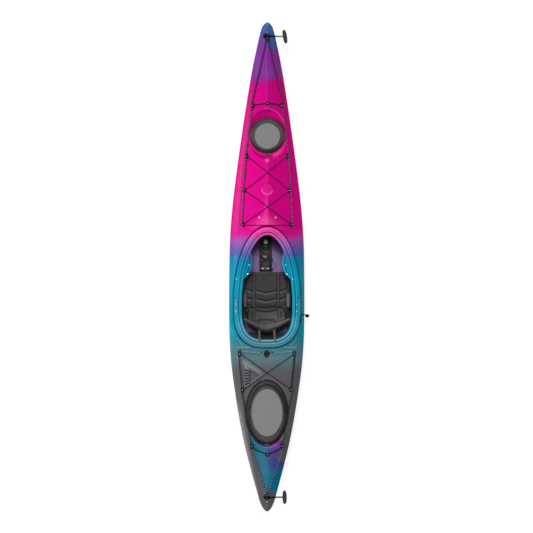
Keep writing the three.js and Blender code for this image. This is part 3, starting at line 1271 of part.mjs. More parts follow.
const RAIL_AFT_Y = placeOf(FOOT_RAIL_AFT_STATION_SHARE);
const sideAt = (y) => {
  const station = stationOf(y);
  const up = (FOOT_RAIL_LEVEL - keelHeight(station)) / (BOW_HEIGHT * sheerShare(station) - keelHeight(station));
  const across = through(MIDSHIP_SECTION_SHARES.slice(1).map(([a, b]) => [b, a]));
  return halfBeam(station) * across(up) - WALL;
};
const RAIL_AFT_X = sideAt(RAIL_AFT_Y);
const RAIL_FORE_X = sideAt(RAIL_AFT_Y + FOOT_RAIL_LENGTH);
const RAIL_TURN = Math.asin((RAIL_AFT_X - RAIL_FORE_X) / FOOT_RAIL_LENGTH);
const RAIL_MIDDLE_X = (RAIL_AFT_X + RAIL_FORE_X) / 2 - FOOT_RAIL_STANDOFF - FOOT_RAIL_THICKNESS / 2;
const RAIL_MIDDLE_Y = RAIL_AFT_Y + (FOOT_RAIL_LENGTH * Math.cos(RAIL_TURN)) / 2;

// A solid made along Y at the origin, turned to follow the hull's side.
const onRail = (solid, side) =>
  solid
    .rotate([0, 0, (side * RAIL_TURN * 180) / Math.PI])
    .translate([side * RAIL_MIDDLE_X, RAIL_MIDDLE_Y, FOOT_RAIL_LEVEL]);

function footRail(side, room) {
  const bar = box(FOOT_RAIL_THICKNESS, FOOT_RAIL_LENGTH, FOOT_RAIL_HEIGHT, 0, 0, 0);
  let rail = bar;
  for (const end of [-1, 1]) {
    const depth = FOOT_RAIL_THICKNESS + 3 * FOOT_RAIL_STANDOFF;
    const x = (side * (depth - FOOT_RAIL_THICKNESS)) / 2;
    const y = (end * (FOOT_RAIL_LENGTH - RAIL_END_LENGTH)) / 2;
    rail = rail.add(box(depth, RAIL_END_LENGTH, FOOT_RAIL_HEIGHT + RAIL_END_LENGTH / 2, x, y, 0));
  }
  return largest(onRail(rail, side).intersect(room));
}

function footPedal(side) {
  const gap = RUNNING_GAP;
  const hole = [FOOT_RAIL_THICKNESS + 2 * gap, FOOT_RAIL_HEIGHT + 2 * gap];
  const wall = PEDAL_SADDLE_WALL;
  const saddle = box(hole[0] + 2 * wall, PEDAL_SADDLE_LENGTH, hole[1] + 2 * wall, 0, 0, 0);
  const bore = box(hole[0], PEDAL_SADDLE_LENGTH + CUT_OVERRUN, hole[1], 0, 0, 0);
  const plateX = -side * (hole[0] / 2 + wall / 2 + PEDAL_WIDTH / 2);
  const face = box(PEDAL_WIDTH, PEDAL_THICKNESS, PEDAL_HEIGHT, plateX, 0, PEDAL_HEIGHT / 8);
  const web = box(PEDAL_WIDTH / 2, PEDAL_SADDLE_LENGTH, wall, -side * (PEDAL_WIDTH / 4), 0, -FOOT_RAIL_HEIGHT / 2);
  return onRail(saddle.add(face).add(web).subtract(bore), side);
}

// Skeg

function skegBox(room) {
  const length = SLOT_FRONT - SLOT_BACK;
  const y = (SLOT_FRONT + SLOT_BACK) / 2;
  const wall = SKEG_BOX_WALL;
  const outer = box(SKEG_SLOT_WIDTH + 2 * wall, length + 2 * wall, SKEG_BOX_HEIGHT, 0, y, SKEG_BOX_HEIGHT / 2);
  const space = box(SKEG_SLOT_WIDTH, length, 2 * (SKEG_BOX_HEIGHT - wall), 0, y, 0);
  const bore = rod(SKEG_TRUNNION_DIAMETER + 2 * HINGE_CLEARANCE, CUT_OVERRUN, 0, SKEG_PIVOT_Y, SKEG_PIVOT_HEIGHT, RIGHT);
  return largest(outer.intersect(room).subtract(space).subtract(bore));
}

function skegBlade() {
  const foot = SKEG_PIVOT_HEIGHT - SKEG_HUB_RADIUS;
  const outline = BLADE_SHARES.map(([back, up]) => [
    SKEG_PIVOT_Y - SKEG_BLADE_LENGTH * back,
    foot + SKEG_BLADE_DEPTH * up,
  ]);
  const hub = rod(2 * SKEG_HUB_RADIUS, SKEG_BLADE_THICKNESS, 0, SKEG_PIVOT_Y, SKEG_PIVOT_HEIGHT, RIGHT, 24);
  const span = SKEG_SLOT_WIDTH + 2 * SKEG_BOX_WALL - 2 * HINGE_CLEARANCE;
  const trunnion = rod(SKEG_TRUNNION_DIAMETER, span, 0, SKEG_PIVOT_Y, SKEG_PIVOT_HEIGHT, RIGHT);
  return plate(outline, SKEG_BLADE_THICKNESS, 0).add(hub).add(trunnion);
}

const cleatLevel = deckHeight(CLEAT_X, CLEAT_Y);
const tubePoints = [
  [0, SLOT_FRONT - SKEG_END_ROOM, SKEG_BOX_HEIGHT + SKEG_TUBE_DIAMETER],
  [0, SLOT_FRONT + CUT_OVERRUN, SKEG_BOX_HEIGHT],
  ...TUBE_SHARES.map(([across, back, up]) => [
    CLEAT_X * across,
    CLEAT_Y + (SLOT_FRONT - CLEAT_Y) * back,
    cleatLevel * up,
  ]),
  [CLEAT_X, CLEAT_Y - CLEAT_LENGTH / 3, cleatLevel - CUT_OVERRUN],
  [CLEAT_X, CLEAT_Y - CLEAT_LENGTH / 3, cleatLevel - CUT_OVERRUN / 3],
  [CLEAT_X, CLEAT_Y - CLEAT_LENGTH / 3, cleatLevel + SEAT_GAP],
].map((p) => new THREE.Vector3(...p));

const KNOB_X = BEAM / 2 + KNOB_DIAMETER;
const KNOB_Y = CLEAT_Y + CLEAT_LENGTH * 0.4;
const KNOB_Z = cleatLevel - KNOB_HANG;
const EDGE_Z = BOW_HEIGHT * sheerShare(stationOf(KNOB_Y));
const skegCordPoints = [
  [CLEAT_X, CLEAT_Y - CLEAT_LENGTH / 4, cleatLevel + CLEAT_HEIGHT / 2],
  [CLEAT_X, CLEAT_Y, cleatLevel + CLEAT_HEIGHT / 2],
  [CLEAT_X, CLEAT_Y + CLEAT_LENGTH / 3, cleatLevel + CLEAT_HEIGHT / 2],
  [(CLEAT_X + BEAM / 2) / 2, CLEAT_Y + CLEAT_LENGTH * 0.55, cleatLevel + SKEG_CORD_DIAMETER / 2],
  [BEAM / 2 + SKEG_CORD_DIAMETER, KNOB_Y + CLEAT_LENGTH / 6, EDGE_Z + 2 * SKEG_CORD_DIAMETER],
  [KNOB_X - SKEG_CORD_DIAMETER, KNOB_Y, (EDGE_Z + KNOB_Z) / 2 + SKEG_CORD_DIAMETER],
  [KNOB_X, KNOB_Y, KNOB_Z + KNOB_DIAMETER * 0.6],
  [KNOB_X, KNOB_Y, KNOB_Z + KNOB_DIAMETER / 4],
].map((p) => new THREE.Vector3(...p));

function skegCleat(hull) {
  const block = ellipsoid(CLEAT_X, CLEAT_Y, cleatLevel, CLEAT_WIDTH / 2, CLEAT_LENGTH / 2, CLEAT_HEIGHT, 10, 6);
  const groove = tunnel(skegCordPoints, SKEG_CORD_DIAMETER);
  const slot = box(SKEG_CORD_DIAMETER / 2, CLEAT_LENGTH, CLEAT_HEIGHT, CLEAT_X, CLEAT_Y, cleatLevel + CLEAT_HEIGHT);
  const tube = cord(tubePoints, SKEG_TUBE_DIAMETER + 2 * TUNNEL_CLEARANCE);
  return largest(block.subtract(hull).subtract(tube).subtract(groove).subtract(slot));
}

function knob() {
  const ball = ellipsoid(KNOB_X, KNOB_Y, KNOB_Z, KNOB_DIAMETER / 2, KNOB_DIAMETER / 2, KNOB_DIAMETER / 2, 10, 8);
  return ball.subtract(tunnel(skegCordPoints, SKEG_CORD_DIAMETER));
}

// Security bar: a bar on two feet over its dish.
function securityBar(hull) {
  const y = BAR_Y;
  const level = deckHeight(0, y);
  const foot = BAR_LENGTH / 2 - BAR_WIDTH / 2;
  const feet = [-1, 1].map((side) => ellipsoid(side * foot, y, level, BAR_WIDTH, BAR_WIDTH / 2, BAR_HEIGHT, 8, 6));
  const bar = box(BAR_LENGTH - BAR_WIDTH, BAR_WIDTH / 2, BAR_HEIGHT / 3, 0, y, level + BAR_HEIGHT * 0.75);
  return largest(feet[0].add(feet[1]).add(bar).subtract(hull));
}

// Hatches

function hatchRim(outline, seat) {
  const outer = rimOuterInset;
  const inner = outer + RIM_WALL;
  const flange = outer - RIM_FLANGE + COVER_SKIN;
  const profile = [
    [flange, SEAT_GAP],
    [flange, SEAT_GAP + RIM_FLANGE_THICKNESS],
    [outer, SEAT_GAP + RIM_FLANGE_THICKNESS],
    [outer, RIM_RISE],
    [inner, RIM_RISE],
    [inner, -RIM_DEPTH],
    [outer, -RIM_DEPTH],
    [outer, SEAT_GAP],
  ].map(([inset, z]) => [inset, seat + z]);
  return hoop(outline, profile, HATCH_STEPS);
}

function hatchCover(outline, seat, tabY) {
  const skirt = COVER_SKIN - FIT_GAP * 3;
  const flangeTop = SEAT_GAP + RIM_FLANGE_THICKNESS + FIT_GAP;
  const neck = rimOuterInset - FIT_GAP;
  const inner = neck + RIM_WALL + 2 * FIT_GAP;
  const profile = [
    [inner + COVER_SKIN, COVER_TOP_HEIGHT],
    [neck - COVER_SKIN / 2, COVER_TOP_HEIGHT - COVER_SKIN / 2],
    [neck - 2 * COVER_SKIN, COVER_STEP_HEIGHT + COVER_SKIN / 2],
    [neck - 3 * COVER_SKIN, COVER_STEP_HEIGHT],
    [0, COVER_STEP_HEIGHT - COVER_SKIN / 2],
    [0, FIT_GAP * 3],
    [skirt, FIT_GAP * 3],
    [skirt, flangeTop],
    [neck, flangeTop],
    [neck, RIM_RISE + FIT_GAP],
    [inner, RIM_RISE + FIT_GAP],
    [inner + COVER_SKIN / 2, COVER_TOP_HEIGHT - COVER_SKIN],
  ].map(([inset, z]) => [inset, seat + z]);
  const cover = lid(outline, profile, HATCH_STEPS);
  const tab = box(PULL_TAB_WIDTH, 2 * PULL_TAB_LENGTH, COVER_SKIN, 0, tabY, seat + FIT_GAP * 3 + COVER_SKIN / 2);
  const clear = plug(outline, skirt, seat - CUT_OVERRUN, seat + CUT_OVERRUN, HATCH_STEPS);
  return cover.add(tab.subtract(clear));
}

function hatchPanel(outline, seat) {
  const foot = seat + COVER_TOP_HEIGHT + SEAT_GAP;
  const edge = PANEL_THICKNESS / 2;
  return lid(
    outline,
    [
      [2 * edge, foot + PANEL_THICKNESS],
      [0, foot + edge],
      [0, foot],
    ],
    HATCH_STEPS,
  );
}

// Materials

const material = (color, roughness, metalness = 0) =>
  new THREE.MeshStandardMaterial({ color, roughness, metalness });
const HULL_PLASTIC = material(0xc2187f, 0.32);
const BLACK_PLASTIC = material(0x1f1f21, 0.5);
const BLACK_RUBBER = material(0x3c3b3c, 0.75);
const GREY_PLASTIC = material(0x868482, 0.55);
const SEAT_PLASTIC = material(0x2c2b2c, 0.6);
const SEAT_FABRIC = material(0x403e3e, 0.9);
const WEBBING = material(0x5a585a, 0.85);
const CORD_BLACK = material(0x19181a, 0.8);
const STEEL = material(0xa9abad, 0.35, 0.9);
const FOAM = material(0x8a8a8c, 0.9);

const kayak = new THREE.Group();

function place(name, solid, finish) {
  const mesh = new THREE.Mesh(geometryOf(solid), finish);
  mesh.name = name;
  kayak.add(mesh);
}

const outerHull = hullBody(0);
const clearHull = hullBody(SEAT_GAP);
const inside = cavity(FIT_GAP);
place("hull_shell", hullShell(outerHull), HULL_PLASTIC);

const tubeSolid = cord(tubePoints, SKEG_TUBE_DIAMETER);
const tubeCut = cord(tubePoints, SKEG_TUBE_DIAMETER + 2 * TUNNEL_CLEARANCE);
for (const [name, station] of [
  ["front_bulkhead", FRONT_BULKHEAD_STATION_SHARE],
  ["rear_bulkhead", REAR_BULKHEAD_STATION_SHARE],
]) {
  const wall = box(BEAM, BULKHEAD_THICKNESS, 2 * BOW_HEIGHT, 0, placeOf(station), BOW_HEIGHT);
  place(name, largest(wall.intersect(inside).subtract(tubeCut)), FOAM);
}

place("skeg_box", skegBox(inside), BLACK_PLASTIC);
place("skeg_blade", skegBlade(), BLACK_PLASTIC);
place("skeg_tube", tubeSolid, BLACK_PLASTIC);
place("skeg_cleat", skegCleat(clearHull), BLACK_PLASTIC);
place("skeg_cord", cord(skegCordPoints, SKEG_CORD_DIAMETER), CORD_BLACK);
place("skeg_knob", knob(), BLACK_PLASTIC);

const frontPanel = oval(FRONT_HATCH_Y, FRONT_PANEL_RADIUS, FRONT_PANEL_RADIUS);
const rearPanel = oval(REAR_HATCH_Y, REAR_PANEL_HALF_WIDTH, REAR_PANEL_HALF_LENGTH);
place("front_hatch_rim", hatchRim(frontOutline, FRONT_SEAT_HEIGHT), BLACK_PLASTIC);
place("front_hatch_cover", hatchCover(...HATCH_SEATS[0]), BLACK_RUBBER);
place("front_hatch_panel", hatchPanel(frontPanel, FRONT_SEAT_HEIGHT), GREY_PLASTIC);
place("rear_hatch_rim", hatchRim(rearOutline, REAR_SEAT_HEIGHT), BLACK_PLASTIC);
place("rear_hatch_cover", hatchCover(...HATCH_SEATS[1]), BLACK_RUBBER);
place("rear_hatch_panel", hatchPanel(rearPanel, REAR_SEAT_HEIGHT), GREY_PLASTIC);

for (const [end, y] of [
  ["bow", BOW_EYE_Y],
  ["stern", STERN_EYE_Y],
]) {
  const points = togglePoints(y);
  place(`${end}_eye`, deckEye(y, clearHull), BLACK_PLASTIC);
  place(`${end}_toggle`, toggle(y, points), BLACK_RUBBER);
  place(`${end}_toggle_cord`, cord(points, TOGGLE_CORD_DIAMETER), CORD_BLACK);
}

const lines = [
  [bowLinePoints, LINE_DIAMETER],
  [sternLinePoints, LINE_DIAMETER],
];
const bungees = [
  [frontBungeePoints, BUNGEE_DIAMETER],
  [rearBungeePoints, BUNGEE_DIAMETER],
];
const crosses = [
  [bowCrossPoints, LINE_DIAMETER],
  [sternCrossPoints, LINE_DIAMETER],
];
for (const piece of PAIRED_FITTINGS) {
  const [x, y] = fittingPlace(piece);
  const end = piece.along < 0.5 ? 0 : 1;
  const cords = [lines[end]];
  if (piece.bungee) cords.push(bungees[end]);
  if (piece.cross) cords.push(crosses[end]);
  for (const [side, sign] of [["port", -1], ["starboard", 1]]) {
    const solid = fitting(sign * x, y, FITTING_LENGTH, FITTING_WIDTH, cords, clearHull);
    place(`${piece.name}_${side}`, solid, BLACK_PLASTIC);
  }
}
CENTRE_FITTINGS.forEach((piece, end) => {
  const solid = fitting(0, placeOf(piece.along), FITTING_WIDTH, FITTING_WIDTH, [crosses[end]], clearHull);
  place(piece.name, solid, BLACK_PLASTIC);
});
place("bow_deck_line", cord(...lines[0]), CORD_BLACK);
place("stern_deck_line", cord(...lines[1]), CORD_BLACK);
place("front_bungee", cord(...bungees[0]), CORD_BLACK);
place("rear_bungee", cord(...bungees[1]), CORD_BLACK);
place("bow_cross_cord", cord(...crosses[0]), CORD_BLACK);
place("stern_cross_cord", cord(...crosses[1]), CORD_BLACK);

place("seat_pan", seatPan(inside), SEAT_PLASTIC);
place("seat_cushion", seatCushion(), SEAT_FABRIC);
const shell = backrestFrame();
place("backrest_frame", shell, SEAT_PLASTIC);
const pad = backrestPad(shell);
place("backrest_pad", pad, SEAT_FABRIC);
place("seat_track", seatTrack(inside), BLACK_PLASTIC);
place("ratchet_lever", ratchetLever(), STEEL);
place("security_bar", securityBar(clearHull), BLACK_PLASTIC);
for (const [side, sign] of [["port", -1], ["starboard", 1]]) {
  place(`hip_pad_${side}`, hipPad(sign), SEAT_FABRIC);
  place(`backrest_strap_${side}`, backrestStrap(sign, shell, pad), WEBBING);
  place(`thigh_brace_${side}`, thighBrace(sign), HULL_PLASTIC);
  place(`foot_rail_${side}`, footRail(sign, inside), BLACK_PLASTIC);
  place(`foot_pedal_${side}`, footPedal(sign), BLACK_PLASTIC);
}

export default kayak;
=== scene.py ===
import json
import math

import bmesh
import bpy
import numpy as np
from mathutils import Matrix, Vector
from mathutils.kdtree import KDTree

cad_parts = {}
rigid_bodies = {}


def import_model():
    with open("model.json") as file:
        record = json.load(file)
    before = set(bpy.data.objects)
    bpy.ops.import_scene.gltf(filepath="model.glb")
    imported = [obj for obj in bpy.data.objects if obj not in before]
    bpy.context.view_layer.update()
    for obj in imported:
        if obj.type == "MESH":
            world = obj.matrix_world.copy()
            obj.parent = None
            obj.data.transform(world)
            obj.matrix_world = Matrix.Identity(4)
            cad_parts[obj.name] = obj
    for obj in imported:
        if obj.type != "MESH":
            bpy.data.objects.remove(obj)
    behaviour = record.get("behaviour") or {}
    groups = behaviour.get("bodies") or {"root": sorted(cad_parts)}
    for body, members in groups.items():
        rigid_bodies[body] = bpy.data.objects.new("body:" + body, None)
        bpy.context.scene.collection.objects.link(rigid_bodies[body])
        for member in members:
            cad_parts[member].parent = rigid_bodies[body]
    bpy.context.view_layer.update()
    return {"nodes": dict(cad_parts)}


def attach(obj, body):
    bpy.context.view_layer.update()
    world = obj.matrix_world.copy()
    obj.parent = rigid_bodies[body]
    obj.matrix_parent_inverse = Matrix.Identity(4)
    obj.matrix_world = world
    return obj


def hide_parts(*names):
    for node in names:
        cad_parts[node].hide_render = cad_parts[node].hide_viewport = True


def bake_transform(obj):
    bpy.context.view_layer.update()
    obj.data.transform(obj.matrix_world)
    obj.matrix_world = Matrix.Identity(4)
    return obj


for leftover in list(bpy.data.objects):
    bpy.data.objects.remove(leftover)
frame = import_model()
scene = bpy.context.scene

# ------------------------------------------------
# Camera and studio
# The boat lies on a pale floor with its bow up, seen from far overhead through a long lens. One
# lamp hangs over it, one stands low to port, and white walls fill from all round.
# ------------------------------------------------
VIEW_WIDTH = 4.152
CAMERA_HEIGHT = 40.0
DECK_LEVEL = 0.25
# The eye is a little to port of the boat and looks at its rim, so that low parts show to port.
LEAN = 0.043
AIM = (-0.006, 0.0039, 0.31)
SENSOR = 36.0
WALL_LIGHT = 0.27
FLOOR_REACH = 60
FLOOR_GLOW = 0.8
# Each lamp's strength, where it comes from, and how wide it looks in degrees.
LAMPS = {"overhead_lamp": (1.66, (-0.06, 0.24, 0.97), 14), "side_lamp": (1.7, (-0.92, 0.05, 0.42), 28)}

scene.view_settings.view_transform = "Standard"

camera = bpy.data.objects.new("camera", bpy.data.cameras.new("camera"))
camera.data.sensor_width = SENSOR
camera.data.lens = SENSOR * (CAMERA_HEIGHT - DECK_LEVEL) / VIEW_WIDTH
camera.data.clip_end = 200
camera.location = (AIM[0] - LEAN * (CAMERA_HEIGHT - AIM[2]), AIM[1], CAMERA_HEIGHT)
camera.rotation_euler = (0, -math.atan(LEAN), 0)
scene.collection.objects.link(camera)
scene.camera = camera

for name, (power, comes_from, wide) in LAMPS.items():
    lamp = bpy.data.objects.new(name, bpy.data.lights.new(name, "SUN"))
    lamp.data.energy = power
    lamp.data.angle = math.radians(wide)
    lamp.rotation_euler = Vector(comes_from).to_track_quat("Z", "Y").to_euler()
    scene.collection.objects.link(lamp)


def wire(tree, kind, settings=(), **inputs):
    """Adds a shader node. An input named by number starts with n, as n0 for the first."""
    node = tree.nodes.new("ShaderNode" + kind)
    for setting, value in dict(settings).items():
        setattr(node, setting, value)
    for place, value in inputs.items():
        number = place[0] == "n" and place[1:].isdigit()
        socket = node.inputs[int(place[1:]) if number else place.replace("_", " ")]
        if isinstance(value, bpy.types.NodeSocket):
            tree.links.new(value, socket)
        else:
            socket.default_value = value
    return node


def sums(tree, operation, a, b=0.0):
    return wire(tree, "Math", {"operation": operation}, n0=a, n1=b).outputs[0]


def times(tree, value, *others):
    for other in others:
        value = sums(tree, "MULTIPLY", value, other)
    return value


def plus(tree, value, *others):
    for other in others:
        value = sums(tree, "ADD", value, other)
    return value


def minus(tree, a, b):
    return sums(tree, "SUBTRACT", a, b)


def larger(tree, a, b):
    return sums(tree, "MAXIMUM", a, b)


def seen_share(tree):
    """1 for what the camera, a mirror or glass sees, and 0 for what only lights the scene."""
    path = wire(tree, "LightPath")
    seen = larger(tree, path.outputs["Is Camera Ray"], path.outputs["Is Glossy Ray"])
    return larger(tree, seen, path.outputs["Is Transmission Ray"])


world = bpy.data.worlds.new("studio_walls")
scene.world = world
world.use_nodes = True
walls = world.node_tree
strength = wire(walls, "MapRange", n0=seen_share(walls), n3=WALL_LIGHT, n4=1.0).outputs[0]
walls.nodes["Background"].inputs["Color"].default_value = (1, 1, 1, 1)
walls.links.new(strength, walls.nodes["Background"].inputs["Strength"])

floor_finish = bpy.data.materials.new("studio_floor")
floor_finish.use_nodes = True
tree = floor_finish.node_tree
shader = tree.nodes["Principled BSDF"]
shader.inputs["Base Color"].default_value = (0.3, 0.3, 0.3, 1)
shader.inputs["Roughness"].default_value = 0.9
shader.inputs["Specular IOR Level"].default_value = 0.0
shader.inputs["Emission Color"].default_value = (1, 1, 1, 1)
tree.links.new(times(tree, seen_share(tree), FLOOR_GLOW), shader.inputs["Emission Strength"])
floor_mesh = bpy.data.meshes.new("studio_floor")
corners = [(x * FLOOR_REACH, y * FLOOR_REACH, 0) for x, y in ((-1, -1), (1, -1), (1, 1), (-1, 1))]
floor_mesh.from_pydata(corners, [], [(0, 1, 2, 3)])
floor_mesh.materials.append(floor_finish)
floor = bpy.data.objects.new("studio_floor", floor_mesh)
scene.collection.objects.link(floor)

# ------------------------------------------------
# Hull and deck
# One rotationally moulded polyethylene shell, 5 mm thick. The deck has a bevel along each side,
# a peak ahead of the cockpit and recesses for the hatches, the eyes, the compass and the bar.
# Coloured powder was laid into the mould in bands, so that each colour drifts into the next.
# ------------------------------------------------
LENGTH = 3.81
BEAM = 0.588
BOW_HEIGHT = 0.352
SHELL = 0.005
CREASE_SHARE = 0.8
COCKPIT_Y = (0.5 - 0.5777) * LENGTH
COCKPIT_HALF_WIDTH = 0.197
COCKPIT_FORWARD = 0.543
COCKPIT_AFT = 0.268
COAMING_WEB = 0.046
COAMING_HEIGHT = 0.026
EYE_Y = (0.5 - 0.0289) * LENGTH
FRONT_HATCH_Y = (0.5 - 0.2323) * LENGTH
REAR_HATCH_Y = (0.5 - 0.7979) * LENGTH
FRONT_SEAT_Z = BOW_HEIGHT * 0.8267
REAR_SEAT_Z = BOW_HEIGHT * 0.6903
# Each hatch recess: half its width, its reach forward and aft, and then its flat floor's size.
FRONT_RECESS, FRONT_FLAT = (0.152, 0.211, 0.182), (0.142, 0.142)
REAR_RECESS, REAR_FLAT = (0.171, 0.256, 0.27), (0.162, 0.2475)
FRONT_HOLE = 0.117
REAR_HOLE = (0.136, 0.222)
COMPASS_Y = (0.5 - 0.3404) * LENGTH
COMPASS_RADIUS = 0.0455
COMPASS_DEPTH = 0.0045
BAR_Y = COCKPIT_Y - COCKPIT_AFT - 0.064 - 0.038
# The small dishes under the eyes and the bar: place, half width, half length and depth.
DISHES = [(EYE_Y, 0.031, 0.02, 0.014), (-EYE_Y, 0.031, 0.02, 0.014), (BAR_Y - 0.012, 0.019, 0.036, 0.017)]
# The skeg's slot in the keel: half width, place and half length.
SKEG_SLOT = (0.0075, -1.474, 0.166)
# No part of the deck is lower than this.
LOWEST_DECK = 0.12

# Lines along the boat. Each pair is a share of its length from the bow, and a share of the half
# beam, or of the bow's height for the keel, the deck's edge, its crease and its ridge.
BEAM_SHARES = [
    (0, 0.02), (0.004, 0.085), (0.011, 0.15), (0.036, 0.246), (0.085, 0.37), (0.158, 0.528), (0.22, 0.65),
    (0.293, 0.782), (0.367, 0.9), (0.441, 0.975), (0.539, 1), (0.637, 0.99), (0.698, 0.94), (0.76, 0.834),
    (0.821, 0.702), (0.87, 0.57), (0.919, 0.41), (0.956, 0.278), (0.981, 0.185), (0.992, 0.12),
    (0.997, 0.07), (1, 0.02),
]
KEEL_SHARES = [
    (0, 0.86), (0.006, 0.62), (0.018, 0.42), (0.04, 0.235), (0.07, 0.125), (0.12, 0.05), (0.19, 0.01),
    (0.25, 0), (0.5, 0), (0.75, 0), (0.82, 0.012), (0.88, 0.045), (0.93, 0.105), (0.965, 0.205),
    (0.985, 0.36), (0.994, 0.5), (1, 0.66),
]
SHEER_SHARES = [
    (0, 0.93), (0.05, 0.865), (0.15, 0.755), (0.3, 0.665), (0.42, 0.64), (0.54, 0.625), (0.66, 0.612),
    (0.75, 0.61), (0.85, 0.64), (0.95, 0.725), (1, 0.775),
]
CREASE_SHARES = [
    (0, 0.975), (0.05, 0.93), (0.15, 0.845), (0.3, 0.775), (0.42, 0.77), (0.54, 0.735), (0.66, 0.7),
    (0.75, 0.685), (0.85, 0.705), (0.95, 0.785), (1, 0.825),
]
RIDGE_SHARES = [
    (0, 1), (0.05, 0.985), (0.15, 0.95), (0.3, 0.95), (0.42, 0.985), (0.54, 0.86), (0.66, 0.735),
    (0.75, 0.72), (0.85, 0.74), (0.95, 0.815), (1, 0.85),
]
# The coaming's top, and how sharply the deck rises to its ridge.
RIM_SHARES = [
    (0.38, 1.08), (0.41, 1.062), (0.44, 1.035), (0.5, 0.945), (0.56, 0.87), (0.62, 0.825), (0.67, 0.805),
    (0.7, 0.8),
]
PEAK_SHARES = [(0, 1.4), (0.1, 1.15), (0.4, 1.25), (0.5, 1.8), (0.66, 2.4), (0.9, 2.2), (1, 1.6)]
# Half of the hull below the deck's edge, from the keel outward: shares across and up.
MIDSHIP_SECTION = [(0, 0), (0.36, 0), (0.62, 0.045), (0.8, 0.14), (0.915, 0.34), (0.975, 0.66), (1, 1)]
END_SECTION = [(0, 0), (0.17, 0.05), (0.36, 0.17), (0.56, 0.36), (0.75, 0.58), (0.9, 0.8), (1, 1)]
# How far a section is the midship one rather than the one at the ends.
FULLNESS_SHARES = [
    (0, 0), (0.06, 0.08), (0.16, 0.5), (0.26, 1), (0.5, 1), (0.74, 1), (0.84, 0.6), (0.94, 0.12), (1, 0),
]


def through(table):
    """A smooth curve through a table of pairs."""
    marks, levels = np.array(table, float).T
    last = len(marks) - 1
    before, after = np.maximum(np.arange(last + 1) - 1, 0), np.minimum(np.arange(last + 1) + 1, last)
    slopes = (levels[after] - levels[before]) / (marks[after] - marks[before])

    def curve(at):
        x = np.clip(at, marks[0], marks[-1])
        i = np.clip(np.searchsorted(marks, x) - 1, 0, last - 1)
        span = marks[i + 1] - marks[i]
        t = (x - marks[i]) / span
        held = (1 + 2 * t) * (1 - t) ** 2 * levels[i] + t**2 * (3 - 2 * t) * levels[i + 1]
        return held + span * (t * (1 - t) ** 2 * slopes[i] + t**2 * (t - 1) * slopes[i + 1])

    return curve


beam_share, keel_share, sheer_share = map(through, (BEAM_SHARES, KEEL_SHARES, SHEER_SHARES))
crease_share, ridge_share, rim_share = map(through, (CREASE_SHARES, RIDGE_SHARES, RIM_SHARES))
peak_power, fullness = map(through, (PEAK_SHARES, FULLNESS_SHARES))


def station_of(y):
    return 0.5 - y / LENGTH


def half_beam(station):
    return BEAM / 2 * beam_share(station)


def rim_height(y):
    return BOW_HEIGHT * rim_share(station_of(y))


def ease(t):
    """From 0 to 1 with a gentle start and end."""
    held = np.clip(t, 0, 1)
    return held * held * (3 - 2 * held)


def hill(away, width):
    """A soft bump, 1 in the middle and gone about two widths away."""
    return np.exp(-((away / width) ** 2))


def cockpit_distance(x, y):
    """How far a place lies outside the cockpit's egg-shaped mouth."""
    forward = y > COCKPIT_Y
    power = np.where(forward, 2.0, 3.0)
    long = np.where(forward, COCKPIT_FORWARD, COCKPIT_AFT)
    across, along = np.abs(x) / COCKPIT_HALF_WIDTH, np.abs(y - COCKPIT_Y) / long
    share = np.maximum((across**power + along**power) ** (1 / power), 0.01)
    slant = np.hypot(
        (across / share) ** (power - 1) / COCKPIT_HALF_WIDTH, (along / share) ** (power - 1) / long
    )
    return (share - 1) / slant


def plain_deck(x, y):
    """The deck's height without recesses: a peak in the middle and a bevel along each side."""
    station = station_of(y)
    across = np.minimum(np.abs(x) / half_beam(station), 1)
    sheer, crease, ridge = (
        BOW_HEIGHT * share(station) for share in (sheer_share, crease_share, ridge_share)
    )
    bevel = sheer + (crease - sheer) * (np.maximum(1 - across, 0) / (1 - CREASE_SHARE)) ** 0.8
    inboard = np.minimum(across, CREASE_SHARE) / CREASE_SHARE
    peak = ridge + (crease - ridge) * inboard ** peak_power(station)
    return np.where(across > CREASE_SHARE, bevel, peak)


def seat_slope(x, y, centre, half_width, forward, aft, flat_width, flat_length):
    """0 outside a hatch's recess, rising to 1 on its flat floor."""
    away = np.maximum(np.hypot(x, y - centre), 0.001)
    long = np.where(y > centre, forward, aft)
    outer = away / np.hypot(x / half_width, (y - centre) / long)
    inner = np.minimum(away / np.hypot(x / flat_width, (y - centre) / flat_length), outer - 0.001)
    return (outer - away) / (outer - inner)


